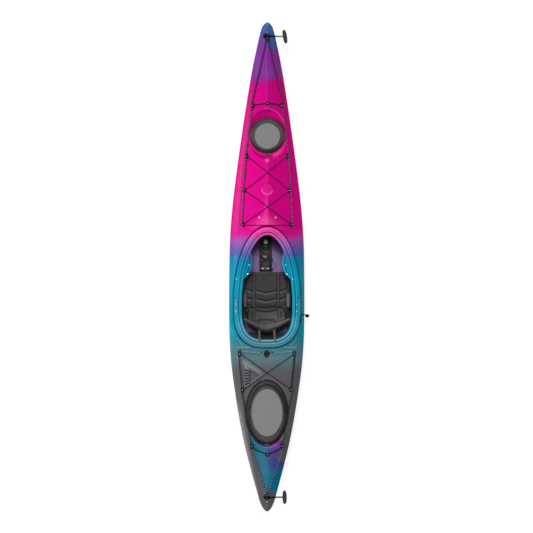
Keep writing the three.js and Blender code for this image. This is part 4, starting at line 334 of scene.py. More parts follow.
def deck_height(x, y):
    """The deck's height, with the hatch recesses cut in and the cockpit's pedestal raised."""
    x, y = np.asarray(x, float), np.asarray(y, float)
    height = plain_deck(x, y)
    front = seat_slope(x, y, FRONT_HATCH_Y, *FRONT_RECESS, *FRONT_FLAT)
    rear = seat_slope(x, y, REAR_HATCH_Y, *REAR_RECESS, *REAR_FLAT)
    for slope, floor_z, crisp in ((front, FRONT_SEAT_Z, 2.1), (rear, REAR_SEAT_Z, 1.7)):
        held = np.clip(slope, 0, 1)
        share = 1 - (1 - held) ** crisp
        height = height + (floor_z - height) * share + 0.0016 * hill(slope, 0.07)
        height = height - 0.007 * ease(slope / 0.3) * ease((1.35 - slope) / 0.25)
    outside = np.maximum(0, cockpit_distance(x, y) - COAMING_WEB)
    pedestal = rim_height(y) - COAMING_HEIGHT - 0.75 * outside
    across = np.abs(x) / half_beam(station_of(y))
    edge = np.where(across < CREASE_SHARE, 1.0, ease((1 - across) / (1 - CREASE_SHARE) / 0.4))
    height = np.where(pedestal > height, height + (pedestal - height) * edge, height)
    for dish_y, wide, long, deep in DISHES:
        inside = np.clip(1 - (x / wide) ** 2 - ((y - dish_y) / long) ** 2, 0, 1)
        top = plain_deck(0.0, dish_y)
        height = np.where(inside > 0, np.minimum(height, top - deep * np.sqrt(inside)), height)
    compass = ease((COMPASS_RADIUS - np.hypot(x, y - COMPASS_Y)) / 0.004)
    height = height + (plain_deck(0.0, COMPASS_Y) - COMPASS_DEPTH - height) * compass
    return height + rear_deck_relief(x, y)


def rear_deck_relief(x, y):
    """The low steps and ribs that stiffen the deck behind the cockpit."""
    side = np.abs(x)
    behind = y + 0.631 + 0.02 * (side - 0.18)
    step = 0.004 * hill(behind, 0.006) * ease((side - 0.12) / 0.02) * ease((0.245 - side) / 0.02)
    slant = (side - 0.215) * 0.83 + (y + 0.585) * 0.55
    run = (side - 0.215) * -0.55 + (y + 0.585) * 0.83
    groove = -0.003 * hill(slant, 0.006) * ease((0.04 - np.abs(run)) / 0.02)
    aft = -0.655 - 0.07 * (0.2 - side) - y
    scoop = -0.004 * ease((0.2 - side) / 0.03) * ease(aft / 0.006) * ease((y + 0.76) / 0.08)
    return step + groove + scoop


def all_round(count):
    """Equal turns once round."""
    return 2 * math.pi * np.arange(count) / count


def rows_over(rows, hoop=False):
    """Points and faces of a skin over rows of points, with its ends shut or joined as a hoop."""
    rows = np.asarray(rows, float)
    count, size = rows.shape[:2]
    faces = []
    for i in range(count if hoop else count - 1):
        here, ahead = i * size, (i + 1) % count * size
        for j in range(size):
            k = (j + 1) % size
            faces.append((here + j, here + k, ahead + k, ahead + j))
    if not hoop:
        faces.append(tuple(range(size - 1, -1, -1)))
        faces.append(tuple(range((count - 1) * size, count * size)))
    return rows.reshape(-1, 3), faces


def mould(name, parts, *finishes, crisp=35, tidy=True):
    """One piece from several forms, each with the number of its finish."""
    points, faces, marks = [], [], []
    for (form_points, form_faces), mark in parts:
        start = len(points)
        points.extend(map(tuple, np.asarray(form_points, float).tolist()))
        faces.extend(tuple(start + corner for corner in face) for face in form_faces)
        marks.extend([mark] * len(form_faces))
    mesh = bpy.data.meshes.new(name)
    mesh.from_pydata(points, [], faces)
    for finish in finishes:
        mesh.materials.append(finish)
    mesh.polygons.foreach_set("material_index", marks)
    mesh.polygons.foreach_set("use_smooth", [True] * len(faces))
    if tidy:
        editable = bmesh.new()
        editable.from_mesh(mesh)
        bmesh.ops.recalc_face_normals(editable, faces=editable.faces)
        editable.to_mesh(mesh)
        editable.free()
    mesh.set_sharp_from_angle(angle=math.radians(crisp))
    piece = bpy.data.objects.new(name, mesh)
    scene.collection.objects.link(piece)
    return piece


def tint(red, green, blue):
    """A colour as it is read on a screen, for a shader."""
    parts = [part / 255 for part in (red, green, blue)]
    return (*(p / 12.92 if p <= 0.04045 else ((p + 0.055) / 1.055) ** 2.4 for p in parts), 1)


def finish_named(name, colour, roughness, shine=0.5, **sockets):
    """A new material, its node tree and its shader."""
    made = bpy.data.materials.new(name)
    made.use_nodes = True
    shader = made.node_tree.nodes["Principled BSDF"]
    shader.inputs["Base Color"].default_value = colour
    shader.inputs["Roughness"].default_value = roughness
    shader.inputs["Specular IOR Level"].default_value = shine
    for socket, value in sockets.items():
        shader.inputs[socket.replace("_", " ")].default_value = value
    return made, made.node_tree, shader


def new_group(name, wanted, given):
    """An empty node group with named sockets, and its two end nodes."""
    group = bpy.data.node_groups.new(name, "ShaderNodeTree")
    for label, kind, value in wanted:
        socket = group.interface.new_socket(label, in_out="INPUT", socket_type=kind)
        socket.default_value = value
    for label, kind in given:
        group.interface.new_socket(label, in_out="OUTPUT", socket_type=kind)
    return group, group.nodes.new("NodeGroupInput"), group.nodes.new("NodeGroupOutput")


def steps(tree, factor, stops):
    """A colour from a ramp with the given stops."""
    ramp = wire(tree, "ValToRGB", Fac=factor)
    elements = ramp.color_ramp.elements
    while len(elements) < len(stops):
        elements.new(1.0)
    for element, (place, colour) in zip(elements, stops):
        element.position = place
    for element, (place, colour) in zip(elements, stops):
        element.position, element.color = place, colour
    return ramp.outputs["Color"]


def mixed(tree, factor, a, b, blend="MIX"):
    settings = {"data_type": "RGBA", "blend_type": blend}
    return wire(tree, "Mix", settings, n0=factor, n6=a, n7=b).outputs[2]


def ranged(tree, value, low, high, start=0.0, end=1.0, smooth=True):
    settings = {"interpolation_type": "SMOOTHSTEP" if smooth else "LINEAR"}
    return wire(tree, "MapRange", settings, n0=value, n1=low, n2=high, n3=start, n4=end).outputs[0]


def object_place(tree):
    return wire(tree, "TexCoord").outputs["Object"]


def axes(tree):
    """How far across, along and up a place lies, as three outputs."""
    return wire(tree, "SeparateXYZ", n0=object_place(tree)).outputs


def noise(tree, place, scale, detail, **more):
    return wire(tree, "TexNoise", Vector=place, Scale=scale, Detail=detail, **more).outputs[0]


def painted(tree, shader, colour):
    tree.links.new(colour, shader.inputs["Base Color"])


def relief(tree, shader, height, depth, strength):
    """Fine unevenness of a finish, from a height and how deep it is."""
    bump = wire(tree, "Bump", Strength=strength, Distance=depth, Height=height)
    tree.links.new(bump.outputs[0], shader.inputs["Normal"])


# The bands of pigment, by distance ahead of the boat's middle.
PIGMENT_BANDS = [
    (-1.9, (82, 80, 83)), (-0.82, (88, 86, 89)), (-0.74, (84, 106, 114)), (-0.66, (72, 120, 130)),
    (-0.57, (34, 128, 146)), (-0.48, (4, 141, 168)), (-0.1, (2, 149, 178)), (0.05, (4, 132, 172)),
    (0.09, (70, 92, 162)), (0.16, (118, 82, 166)), (0.215, (158, 76, 164)), (0.255, (206, 24, 144)),
    (0.3, (214, 0, 132)), (1.0, (212, 0, 130)), (1.44, (196, 0, 124)), (1.475, (142, 34, 138)),
    (1.66, (134, 42, 148)), (1.72, (104, 62, 150)), (1.76, (58, 88, 152)), (1.9, (60, 96, 160)),
]


def pigment_group():
    """The bands across the boat, drifting and streaked, with the stern's patch and a darkened rose patch at
    the bow.
    """
    group, wants, gives = new_group(
        "drifting pigment",
        [("Drift", "NodeSocketFloat", 0.03), ("Streaks", "NodeSocketFloat", 0.5)],
        [("Color", "NodeSocketColor")],
    )
    place = object_place(group)
    x, y, z = axes(group)
    cloud = noise(group, place, 5.0, 5.0, Roughness=0.62)
    speck = noise(group, place, 55.0, 3.0, Roughness=0.6)
    sway = times(group, minus(group, cloud, 0.5), 3.2)
    fuzz = times(group, minus(group, speck, 0.5), 1.6)
    moved = times(group, plus(group, sway, fuzz), wants.outputs["Drift"])
    at_tip = times(group, ranged(group, y, 1.66, 1.7), 1.14)
    near_tip = times(group, ranged(group, y, 1.2, 1.3), 0.14)
    lean = times(group, x, minus(group, at_tip, near_tip))
    fall = plus(group, y, moved, lean)
    share = ranged(group, fall, -1.9, 1.9, smooth=False)
    bands = steps(group, share, [((at + 1.9) / 3.8, tint(*colour)) for at, colour in PIGMENT_BANDS])
    # Streaks along the boat, where violet runs into its neighbours near the bow.
    stretched = wire(group, "Mapping", n0=place, n3=(17, 1.6, 6)).outputs[0]
    run = noise(group, stretched, 1.0, 3.0)
    near_bow = times(group, ranged(group, y, 1.44, 1.5), ranged(group, y, 1.8, 1.7))
    veil = times(group, ranged(group, run, 0.42, 0.66), near_bow, wants.outputs["Streaks"])
    bands = mixed(group, veil, bands, tint(112, 78, 168))
    # A dark rose patch in the recess at the bow: magenta pigment, darkened as painted shade.
    rose_x, rose_y = times(group, plus(group, x, 0.019), 1.2), minus(group, y, EYE_Y)
    spread = plus(group, times(group, rose_x, rose_x), times(group, rose_y, rose_y))
    on_top = ranged(group, z, 0.2, 0.23)
    in_recess = times(group, ranged(group, spread, 0.0006, 0.0004), on_top)
    bands = mixed(group, in_recess, bands, tint(96, 0, 54))
    # The patch of teal, violet and blue inside the lines at the stern.
    line = ranged(group, y, -1.75, -1.24, 0.014, 0.162, smooth=False)
    ragged = plus(group, line, times(group, fuzz, 0.012))
    within = ranged(group, minus(group, ragged, sums(group, "ABSOLUTE", x)), 0.0, 0.012)
    starboard = times(group, larger(group, x, 0.0), 0.9)
    aft = ranged(group, plus(group, y, starboard, times(group, sway, 0.012)), -1.235, -1.262)
    tip = ranged(group, y, -1.775, -1.735)
    far_aft = ranged(group, plus(group, y, moved), -1.5, -1.53)
    over_edge = times(group, ranged(group, x, 0.0, 0.02), far_aft)
    within = larger(group, within, over_edge)
    patch = times(group, within, aft, tip)
    swirl = noise(group, place, 10.0, 3.0, Distortion=0.5)
    right = ranged(group, plus(group, x, times(group, fuzz, 0.03)), -0.006, 0.022)
    blue = times(group, right, ranged(group, y, -1.61, -1.55))
    violet = times(group, ranged(group, y, -1.44, -1.39), right)
    rose = times(group, ranged(group, swirl, 0.42, 0.5), blue, ranged(group, y, -1.52, -1.49))
    rose = times(group, rose, ranged(group, y, -1.43, -1.45))
    under_ring = times(group, ranged(group, y, -1.40, -1.36), ranged(group, x, -0.09, -0.05))
    inlay = mixed(group, blue, tint(0, 100, 128), tint(46, 64, 130))
    inlay = mixed(group, rose, inlay, tint(92, 52, 122))
    inlay = mixed(group, violet, inlay, tint(112, 58, 136))
    inlay = mixed(group, under_ring, inlay, tint(92, 30, 104))
    group.links.new(mixed(group, patch, bands, inlay), gives.inputs["Color"])
    return group


def grain_group():
    """The skin of a moulding: fine grain, slow waves and hair scratches where it is rubbed."""
    group, wants, gives = new_group(
        "moulded grain",
        [("Grain Scale", "NodeSocketFloat", 900.0), ("Scuff", "NodeSocketFloat", 0.5)],
        [("Height", "NodeSocketFloat"), ("Scuffs", "NodeSocketFloat"), ("Sheen", "NodeSocketFloat")],
    )
    place = object_place(group)
    fine = noise(group, place, wants.outputs["Grain Scale"], 2.0)
    waves = noise(group, place, 18.0, 2.0)
    turned = wire(group, "Mapping", n0=place, n2=(0.2, 0.1, 0.6), n3=(70, 620, 70)).outputs[0]
    hairs = noise(group, turned, 1.0, 4.0, Roughness=0.7)
    rubbed = noise(group, place, 9.0, 4.0, Roughness=0.7)
    scuffs = times(group, ranged(group, hairs, 0.63, 0.74), ranged(group, rubbed, 0.46, 0.72))
    scuffs = times(group, scuffs, wants.outputs["Scuff"])
    tall = plus(group, times(group, fine, 0.12), times(group, waves, 0.9))
    group.links.new(minus(group, tall, times(group, scuffs, 0.2)), gives.inputs["Height"])
    group.links.new(scuffs, gives.inputs["Scuffs"])
    group.links.new(ranged(group, waves, 0.3, 0.7, -0.05, 0.05), gives.inputs["Sheen"])
    return group


PIGMENT = pigment_group()
GRAIN = grain_group()


def placed_group(tree, group, **values):
    node = tree.nodes.new("ShaderNodeGroup")
    node.node_tree = group
    for label, value in values.items():
        node.inputs[label.replace("_", " ")].default_value = value
    return node


def grained(tree, shader, roughness, scale, scuff, depth, strength):
    """Gives a material moulded grain and a few hair scratches, and puts out the scratches."""
    grain = placed_group(tree, GRAIN, Grain_Scale=scale, Scuff=scuff)
    relief(tree, shader, grain.outputs["Height"], depth, strength)
    rough = plus(tree, times(tree, grain.outputs["Scuffs"], 0.3), roughness)
    tree.links.new(plus(tree, rough, grain.outputs["Sheen"]), shader.inputs["Roughness"])
    return grain.outputs["Scuffs"]


def mark_of(tree, name, share=1.0):
    """A mark kept on the mesh's points, such as painted shade in a recess or a painted highlight on an
    edge.
    """
    return times(tree, wire(tree, "Attribute", {"attribute_name": name}).outputs["Fac"], share)


def marked(piece, **marks):
    for name, values in marks.items():
        layer = piece.data.attributes.new(name, "FLOAT", "POINT")
        layer.data.foreach_set("value", np.clip(np.asarray(values, float).ravel(), 0, 1))


hull_outside, tree, shader = finish_named("hull_outside", (1, 1, 1, 1), 0.3, shine=0.06)
scuffs = grained(tree, shader, 0.3, 850.0, 0.5, 0.0006, 0.3)
pigment = placed_group(tree, PIGMENT, Drift=0.042, Streaks=0.7).outputs["Color"]
# The first mark darkens the pigment as painted shade. The second brightens it and pales it toward white as
# a painted highlight, together with the fine scratches.
shade = mixed(tree, mark_of(tree, "grime"), pigment, (0.09, 0.07, 0.1, 1), "MULTIPLY")
lit = mixed(tree, mark_of(tree, "wear", 0.5), shade, pigment, "ADD")
pale = larger(tree, times(tree, scuffs, 0.05), mark_of(tree, "wear", 0.24))
painted(tree, shader, mixed(tree, pale, lit, tint(236, 222, 234)))

hull_inside, tree, shader = finish_named("hull_inside", (1, 1, 1, 1), 0.55, shine=0.3)
grained(tree, shader, 0.55, 500.0, 0.2, 0.0012, 0.5)
cloud = noise(tree, object_place(tree), 7.0, 4.0)
violet = steps(
    tree, cloud, [(0.3, tint(118, 96, 150)), (0.55, tint(134, 112, 166)), (0.75, tint(146, 124, 176))]
)
# Under the foredeck, behind the seat and beside it, the inside is painted darker as painted shade.
x, along, z = axes(tree)
off_centre = sums(tree, "ABSOLUTE", x)
ahead = plus(tree, along, times(tree, off_centre, 0.55))
violet = mixed(tree, ranged(tree, ahead, 0.145, 0.185), violet, tint(98, 72, 122))
violet = mixed(tree, ranged(tree, along, -0.49, -0.525), violet, tint(12, 9, 14))
flank = times(tree, ranged(tree, off_centre, 0.155, 0.175), ranged(tree, along, -0.02, -0.06))
painted(tree, shader, mixed(tree, flank, violet, tint(30, 24, 36)))

stations = np.unique(np.concatenate([
    np.array([0.0006, 0.0012, 0.0022, 0.004, 0.006, 0.0085, 0.9915, 0.994, 0.996, 0.9978, 0.9988, 0.9994]),
    np.linspace(0.011, 0.989, 620),
]))
half_marks = np.concatenate([np.linspace(0, 0.785, 48), [0.8, 0.815, 0.85, 0.9, 0.95, 0.985]])
deck_marks = np.concatenate([-half_marks[::-1], half_marks[1:]])
low_marks = np.concatenate([np.linspace(6, 0.25, 24), [0.12]])


def hull_row(station):
    """One ring of the hull: across the deck from port, then down round the keel."""
    y = (0.5 - station) * LENGTH
    half = half_beam(station) * (1 - 0.06 * hill(station - 0.035, 0.035))
    keel = BOW_HEIGHT * max(0.0, float(keel_share(station)))
    sheer = BOW_HEIGHT * sheer_share(station)
    full = np.clip(fullness(station), 0, 1)
    section = np.array(END_SECTION) + (np.array(MIDSHIP_SECTION) - np.array(END_SECTION)) * full
    out, down = (through(list(zip(range(len(section)), part)))(low_marks) for part in section.T)
    x_low = half * out
    z_low = keel + (sheer - keel) * np.maximum(0, down)
    x_low[-1] = min(0.0075, x_low[-2] / 2)
    x_deck = half * deck_marks
    z_deck = deck_height(x_deck, np.full_like(x_deck, y))
    across = np.concatenate([[-half], x_deck, [half], x_low[1:], [0], -x_low[1:][::-1]])
    up = np.concatenate([[sheer], z_deck, [sheer], z_low[1:], [keel], z_low[1:][::-1]])
    return np.column_stack([across, np.full_like(across, y), up])


rows = np.array([hull_row(station) for station in stations])
points, faces = rows_over(rows)
middles = np.array([points[list(face)].mean(axis=0) for face in faces])
x, y, z = middles.T
mouth = cockpit_distance(x, y) < 0.074
front_hole = np.hypot(x, y - FRONT_HATCH_Y) < FRONT_HOLE
rear_hole = np.hypot(x / REAR_HOLE[0], (y - REAR_HATCH_Y) / REAR_HOLE[1]) < 1
slot = (z < 0.06) & (np.abs(x) < SKEG_SLOT[0]) & (np.abs(y - SKEG_SLOT[1]) < SKEG_SLOT[2])
open_at = (z > LOWEST_DECK) & (mouth | front_hole | rear_hole) | slot
kept = [face for face, cut in zip(faces, open_at) if not cut]
hull_skin = mould("hull_skin", [((points, kept), 0)], hull_outside, hull_inside, crisp=50)


def outside_ellipse(x, y, centre, wide, forward, aft):
    """How far a place lies outside an egg-shaped line round a hatch."""
    away = np.maximum(np.hypot(x, y - centre), 0.001)
    return away - away / np.hypot(x / wide, (y - centre) / np.where(y > centre, forward, aft))


def near_line(x, y, start, end, width):
    """1 on a straight line between two places, falling off to its sides."""
    start, end = np.array(start), np.array(end)
    span = end - start
    share = np.clip(((x - start[0]) * span[0] + (y - start[1]) * span[1]) / span.dot(span), 0, 1)
    return hill(np.hypot(x - start[0] - share * span[0], y - start[1] - share * span[1]), width)


# Straight painted highlights and painted shade: level, two ends and width. The first two lists are the same
# to both sides.
REAR_DECK_WEAR = [
    (0.5, (0.13, -0.629), (0.232, -0.631), 0.0042), (0.45, (0.192, -0.612), (0.234, -0.56), 0.0042),
    (0.4, (0.05, -0.672), (0.19, -0.657), 0.004), (0.5, (0.233, -0.69), (0.229, -0.74), 0.004),
]
REAR_DECK_GRIME = [
    (0.5, (0.13, -0.637), (0.232, -0.639), 0.0045), (0.4, (0.199, -0.617), (0.241, -0.565), 0.004),
    (0.35, (0.05, -0.681), (0.19, -0.666), 0.005),
]
FAN_WEAR = [
    (0.5, (-0.178, -0.742), (-0.06, -0.822), 0.014), (0.3, (-0.034, -0.836), (-0.16, -0.93), 0.006),
    (0.8, (-0.172, -0.773), (-0.156, -0.792), 0.006), (0.7, (-0.035, -0.885), (-0.02, -0.885), 0.003),
]
FAN_GRIME = [(0.4, (-0.13, -0.81), (-0.06, -0.842), 0.012)]


def lines_over(x, y, marks):
    return sum(level * near_line(x, y, start, end, width) for level, start, end, width in marks)


# Painted shade darkens the recesses and grooves, and painted highlights lighten the proud edges,
# small spots, the ridge ahead of the cockpit and the port bevel near the stern.
x, y, z = points.T
edge_x = half_beam(station_of(y))
top_side = (z > LOWEST_DECK) & (np.abs(x) < edge_x * 0.999)
front_edge = outside_ellipse(x, y, FRONT_HATCH_Y, *FRONT_RECESS)
rear_edge = outside_ellipse(x, y, REAR_HATCH_Y, *REAR_RECESS)
front_cover = outside_ellipse(x, y, FRONT_HATCH_Y, 0.136, 0.136, 0.136)
rear_cover = outside_ellipse(x, y, REAR_HATCH_Y, 0.16, 0.246, 0.246)
compass_edge = np.hypot(x, y - COMPASS_Y) - 0.043
forward_of = ease((y - FRONT_HATCH_Y - 0.01) / 0.07)
# How strongly each part of the front recess's edge gets its painted highlight.
rubbed = np.maximum(forward_of * ease((x + 0.05) / 0.06), 0.35 * ease((x - 0.02) / 0.05))
wear = 0.5 * hill(front_edge, 0.003) * rubbed
quarter = ease((x - 0.03) / 0.03) * ease((FRONT_HATCH_Y - 0.09 - y) / 0.03)
wear += 0.6 * hill(front_edge + 0.014, 0.0035) * quarter
wear += 0.8 * hill(x + 0.002, 0.014) * hill(y - FRONT_HATCH_Y + 0.196, 0.005)
wear += 0.6 * hill(rear_edge, 0.0045) * ease((REAR_HATCH_Y - 0.1 - y) / 0.08)
wear += 0.7 * hill(compass_edge, 0.0036) * ease((COMPASS_Y + 0.005 - y) / 0.03)
wear += 0.7 * hill(x, 0.014) * hill(y - 0.835, 0.006) + 0.9 * hill(np.hypot(x, y - 1.887), 0.006)
# A broad painted highlight along the ridge ahead of the cockpit.
sheen = (0.16 + 0.26 * ease((0.42 - y) / 0.1)) * ease((0.565 - y) / 0.1) * ease((y - 0.27) / 0.03)
wear += sheen * hill(x + 0.012, 0.011 + 0.075 * ease((0.44 - y) / 0.14))
side = np.abs(x)
wear += lines_over(side, y, REAR_DECK_WEAR) + lines_over(x, y, FAN_WEAR)
bevel = (side / edge_x - CREASE_SHARE) / (1 - CREASE_SHARE)
# A painted highlight on the port bevel toward the stern, on the side of the low lamp.
wear += 0.6 * hill(bevel - 0.72, 0.26) * ease((-1.0 - y) / 0.2) * ease((y + 1.86) / 0.12) * (x < 0)
# Painted shade in the recess ahead of the front cover, round the rear cover, on the compass's upper edge
# and along the crease.
grime = 0.8 * ease((0.036 - front_cover) / 0.036) * forward_of * (front_edge < 0)
grime += 0.35 * hill(rear_cover - 0.004, 0.007) + 0.3 * ease(-rear_edge / 0.004)
grime += 0.3 * hill(compass_edge, 0.004) * ease((y - COMPASS_Y) / 0.03)
grime += lines_over(side, y, REAR_DECK_GRIME) + lines_over(x, y, FAN_GRIME)
grime += 0.25 * ease((0.006 - np.abs(side - edge_x * CREASE_SHARE)) / 0.004) * ease((y - 0.2) / 0.2)
# Painted shade in the dishes under the eyes and the bar.
for dish_y, wide, long in ((EYE_Y, 0.031, 0.02), (-EYE_Y, 0.031, 0.02), (BAR_Y - 0.012, 0.026, 0.03)):
    grime += 0.9 * ease((1.05 - (x / wide) ** 2 - ((y - dish_y) / long) ** 2) / 0.5)
marked(hull_skin, grime=grime * top_side, wear=wear * top_side)
wall = hull_skin.modifiers.new("wall", "SOLIDIFY")
wall.thickness = SHELL
wall.offset = -1
wall.material_offset = 1
wall.material_offset_rim = 1
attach(hull_skin, "hull")
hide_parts("hull_shell")

# ------------------------------------------------
# Coaming
# The rim of the cockpit, moulded with the deck: two low ridges with a valley between them, and
# a lip that turns down on the outside for a spray deck. Small screws hold what hangs under it.
# ------------------------------------------------
# Offset from the mouth, height above the rim, painted shade and painted highlight, in mm and shares.
COAMING_PROFILE = [
    (0, -46, 0, 0), (0, -30, 0, 0), (0, -14, 0, 0), (0.5, -7, 0, 0), (1.8, -3.4, 0, 0), (4, -1.6, 0, 0.1),
    (7, -0.6, 0, 0.3), (11, 0, 0, 0.5), (15, 0.2, 0, 0.35), (18.5, 0, 0, 0.1), (21, -0.9, 0.1, 0),
    (22.6, -3, 0.3, 0), (23.8, -6, 0.5, 0), (25.2, -7, 0.55, 0), (26.6, -5.6, 0.4, 0),
    (27.6, -2.6, 0.1, 0.1), (29, -0.6, 0, 0.4), (31, 0, 0, 0.6), (34, -0.1, 0, 0.4), (37, -0.5, 0, 0.2),
    (41, -1.1, 0, 0.1), (44, -1.6, 0, 0.1), (46, -1.9, 0, 0.2), (48, -2.3, 0, 0.3), (52, -3.1, 0, 0.5),
    (56, -4, 0, 0.55), (58.5, -4.8, 0, 0.4), (60, -5.4, 0, 0.2), (62, -6.8, 0.06, 0), (63.5, -9, 0.25, 0),
    (64, -12, 0.6, 0), (63, -13, 1, 0), (58, -13, 1, 0), (52, -11.5, 1, 0), (46.5, -10, 1, 0),
    (46, -16, 1, 0), (46, -23, 1, 0),
]
# The deck's own surface outside the lip: offset, height above the deck, painted shade.
GUTTER = [
    (50, 0.4, 0.8), (56, 0, 0.8), (61, 0, 0.7), (63.5, -2, 0.6), (65, -7, 0.5), (67, -9, 0.48),
    (69, -7, 0.42), (70.5, -1.5, 0.36), (72.5, 0.3, 0.28), (76, 0.5, 0.16), (80, 0.5, 0.06), (86, -0.8, 0),
    (86, -4, 0), (66, -15, 0),
]
COAMING_UNDERSIDE = [(46, -35), (26, -38), (6, -46)]
MOUTH_STEPS = 360


def mouth_point(turn, offset):
    """A point of the cockpit's mouth, set outward by an offset."""
    def at(angle):
        power = np.where(np.sin(angle) > 0, 1.0, 2 / 3)
        long = np.where(np.sin(angle) > 0, COCKPIT_FORWARD, COCKPIT_AFT)
        across = np.sign(np.cos(angle)) * np.abs(np.cos(angle)) ** power
        along = np.sign(np.sin(angle)) * np.abs(np.sin(angle)) ** power
        return np.array([COCKPIT_HALF_WIDTH * across, COCKPIT_Y + long * along])

    ahead = at(turn + 1e-3) - at(turn - 1e-3)
    ahead = ahead / np.hypot(*ahead)
    return at(turn) + offset * np.array([ahead[1], -ahead[0]])


coaming_rows, coaming_grime, coaming_wear = [], [], []
for turn in 2 * math.pi * (np.arange(MOUTH_STEPS) + 0.5) / MOUTH_STEPS:
    row = []
    for offset, up, grime, wear in COAMING_PROFILE:
        px, py = mouth_point(turn, offset / 1000)
        # A shallow pocket on each side of the top, from beside the seat aft.
        across = ease((offset - 42) / 3) * ease((60.5 - offset) / 2)
        along = ease((-0.238 - py) / 0.005) * ease((py + 0.375) / 0.02)
        front_edge = hill(py + 0.239, 0.0045) * ease((offset - 41) / 2)
        edge = max(hill(offset - 43, 2.2) * along, hill(offset - 60, 1.6) * along, front_edge)
        row.append((px, py, rim_height(py) + (up - 5 * across * along) / 1000))
        # The pocket's edges get painted shade and its floor a painted highlight. The ridges' painted
        # highlight is strongest at the front and the back of the rim.
        coaming_grime.append(max(grime, 0.75 * edge * (offset < 62)))
        forward, aft = ease((py - 0.03) / 0.16), ease((-0.35 - py) / 0.1)
        rubbed = (0.15 + 0.85 * forward + 1.2 * aft) * (1 if offset < 42 else forward + 0.25 * aft)
        coaming_wear.append(max(wear * rubbed, 0.3 * across * along * (1 - edge)))
    for offset, up, grime in GUTTER:
        px, py = mouth_point(turn, offset / 1000)
        row.append((px, py, float(deck_height(px, py)) + up / 1000))
        coaming_grime.append(grime)
        coaming_wear.append(0)
    for offset, up in COAMING_UNDERSIDE:
        px, py = mouth_point(turn, offset / 1000)
        row.append((px, py, rim_height(py) + up / 1000))
        coaming_grime.append(0)
        coaming_wear.append(0)
    coaming_rows.append(row)
coaming_rim = mould("coaming_rim", [(rows_over(coaming_rows, hoop=True), 0)], hull_outside, crisp=60)
marked(coaming_rim, grime=coaming_grime, wear=coaming_wear)
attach(coaming_rim, "hull")
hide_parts("hull_shell")

steel, tree, shader = finish_named("steel", tint(176, 178, 180), 0.32, Metallic=1.0)
brushed = noise(tree, object_place(tree), 900.0, 2.0)
painted(tree, shader, steps(tree, brushed, [(0.3, tint(150, 152, 155)), (0.7, tint(206, 208, 210))]))
tree.links.new(ranged(tree, brushed, 0.3, 0.7, 0.24, 0.42), shader.inputs["Roughness"])


def turned_on(profile, centre, up=(0, 0, 1), sides=16, wide=1.0, long=1.0):
    """A turned form: pairs of radius and height about an axis, and stretched across and along."""
    axis = Vector(up).normalized()
    across = Vector((1, 0, 0)) - axis * axis.x
    across.normalize()
    along = axis.cross(across)
    frame_of = np.array([across, along, axis])
    angles = all_round(sides)
    x, y = wide * np.cos(angles), long * np.sin(angles)
    rows = []
    for radius, height in profile:
        flat = np.column_stack([radius * x, radius * y, np.full(sides, height)])
        rows.append(flat @ frame_of + np.array(centre))
    return rows_over(rows)


def deck_up(x, y):
    """The deck's outward direction at a place."""
    reach = 0.012
    slope_x = (deck_height(x + reach, y) - deck_height(x - reach, y)) / (2 * reach)
    slope_y = (deck_height(x, y + reach) - deck_height(x, y - reach)) / (2 * reach)
    return Vector((-float(slope_x), -float(slope_y), 1)).normalized()


SCREW = [
    (0.0001, -0.0002), (0.0013, -0.0002), (0.0017, 0.0011), (0.003, 0.0014), (0.0041, 0.0008),
    (0.0046, -0.0004), (0.0046, -0.003),
]
COAMING_SCREWS = [
    (-0.24, -0.0935), (0.198, -0.0935), (-0.2425, -0.288), (-0.2425, -0.343), (0.233, -0.292),
    (0.233, -0.343),
]
FOREDECK_SCREWS = [(-0.0631, 0.3856), (0.0654, 0.3856)]


def screw(centre, up=(0, 0, 1), size=1.0):
    return turned_on([(r * size, h * size) for r, h in SCREW], centre, up, sides=12)


# The profile's first thirty stops lie along the coaming's top.
top_offsets, top_heights = np.array(COAMING_PROFILE[:30]).T[:2]
heads = []
for x, y in COAMING_SCREWS:
    up = float(np.interp(float(cockpit_distance(x, y)) * 1000, top_offsets, top_heights))
    heads.append((screw((x, y, float(rim_height(y)) + up / 1000), size=1.05), 0))
for x, y in FOREDECK_SCREWS:
    heads.append((screw((x, y, float(deck_height(x, y)) + 0.0006), deck_up(x, y), 1.45), 0))
coaming_screws = mould("coaming_screws", heads, steel)
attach(coaming_screws, "hull")

# ------------------------------------------------
# Deck ribs
# A fan of small ribs with deep slots between is moulded into a three-cornered field on the port
# side behind the cockpit, where a paddle blade is braced against the deck.
# ------------------------------------------------
FAN_POINT = (-0.042, -0.851)
SLOT_PITCH = 0.024
SLOTS = 6
# Of a dark slot and a light rib: length, rise over the deck, and swell in width and in height.
# Each slot is a low bar painted near-black as painted shade, and each rib carries a painted highlight.
DARK_SLOT = (0.052, 0.0012, 0.0075, 0.0012)
LIGHT_RIB = (0.046, 0.002, 0.0035, 0.0028)


def bar_between(places, widths, heights):
    """A rounded bar through points, with a width and a height at each."""
    sides, squareness = 12, 0.8
    angles = all_round(sides)
    a = np.sign(np.cos(angles)) * np.abs(np.cos(angles)) ** squareness
    b = np.sign(np.sin(angles)) * np.abs(np.sin(angles)) ** squareness
    places = np.asarray(places, float)
    ahead = np.gradient(places, axis=0)
    rows = []
    for point, direction, wide, high in zip(places, ahead, widths, heights):
        direction = direction / np.linalg.norm(direction)
        across = np.cross(direction, (0, 0, 1.0))
        across /= np.linalg.norm(across)
        up = np.cross(across, direction)
        rows.append(point + np.outer(a * wide / 2, across) + np.outer(b * high / 2, up))
    return rows_over(rows)


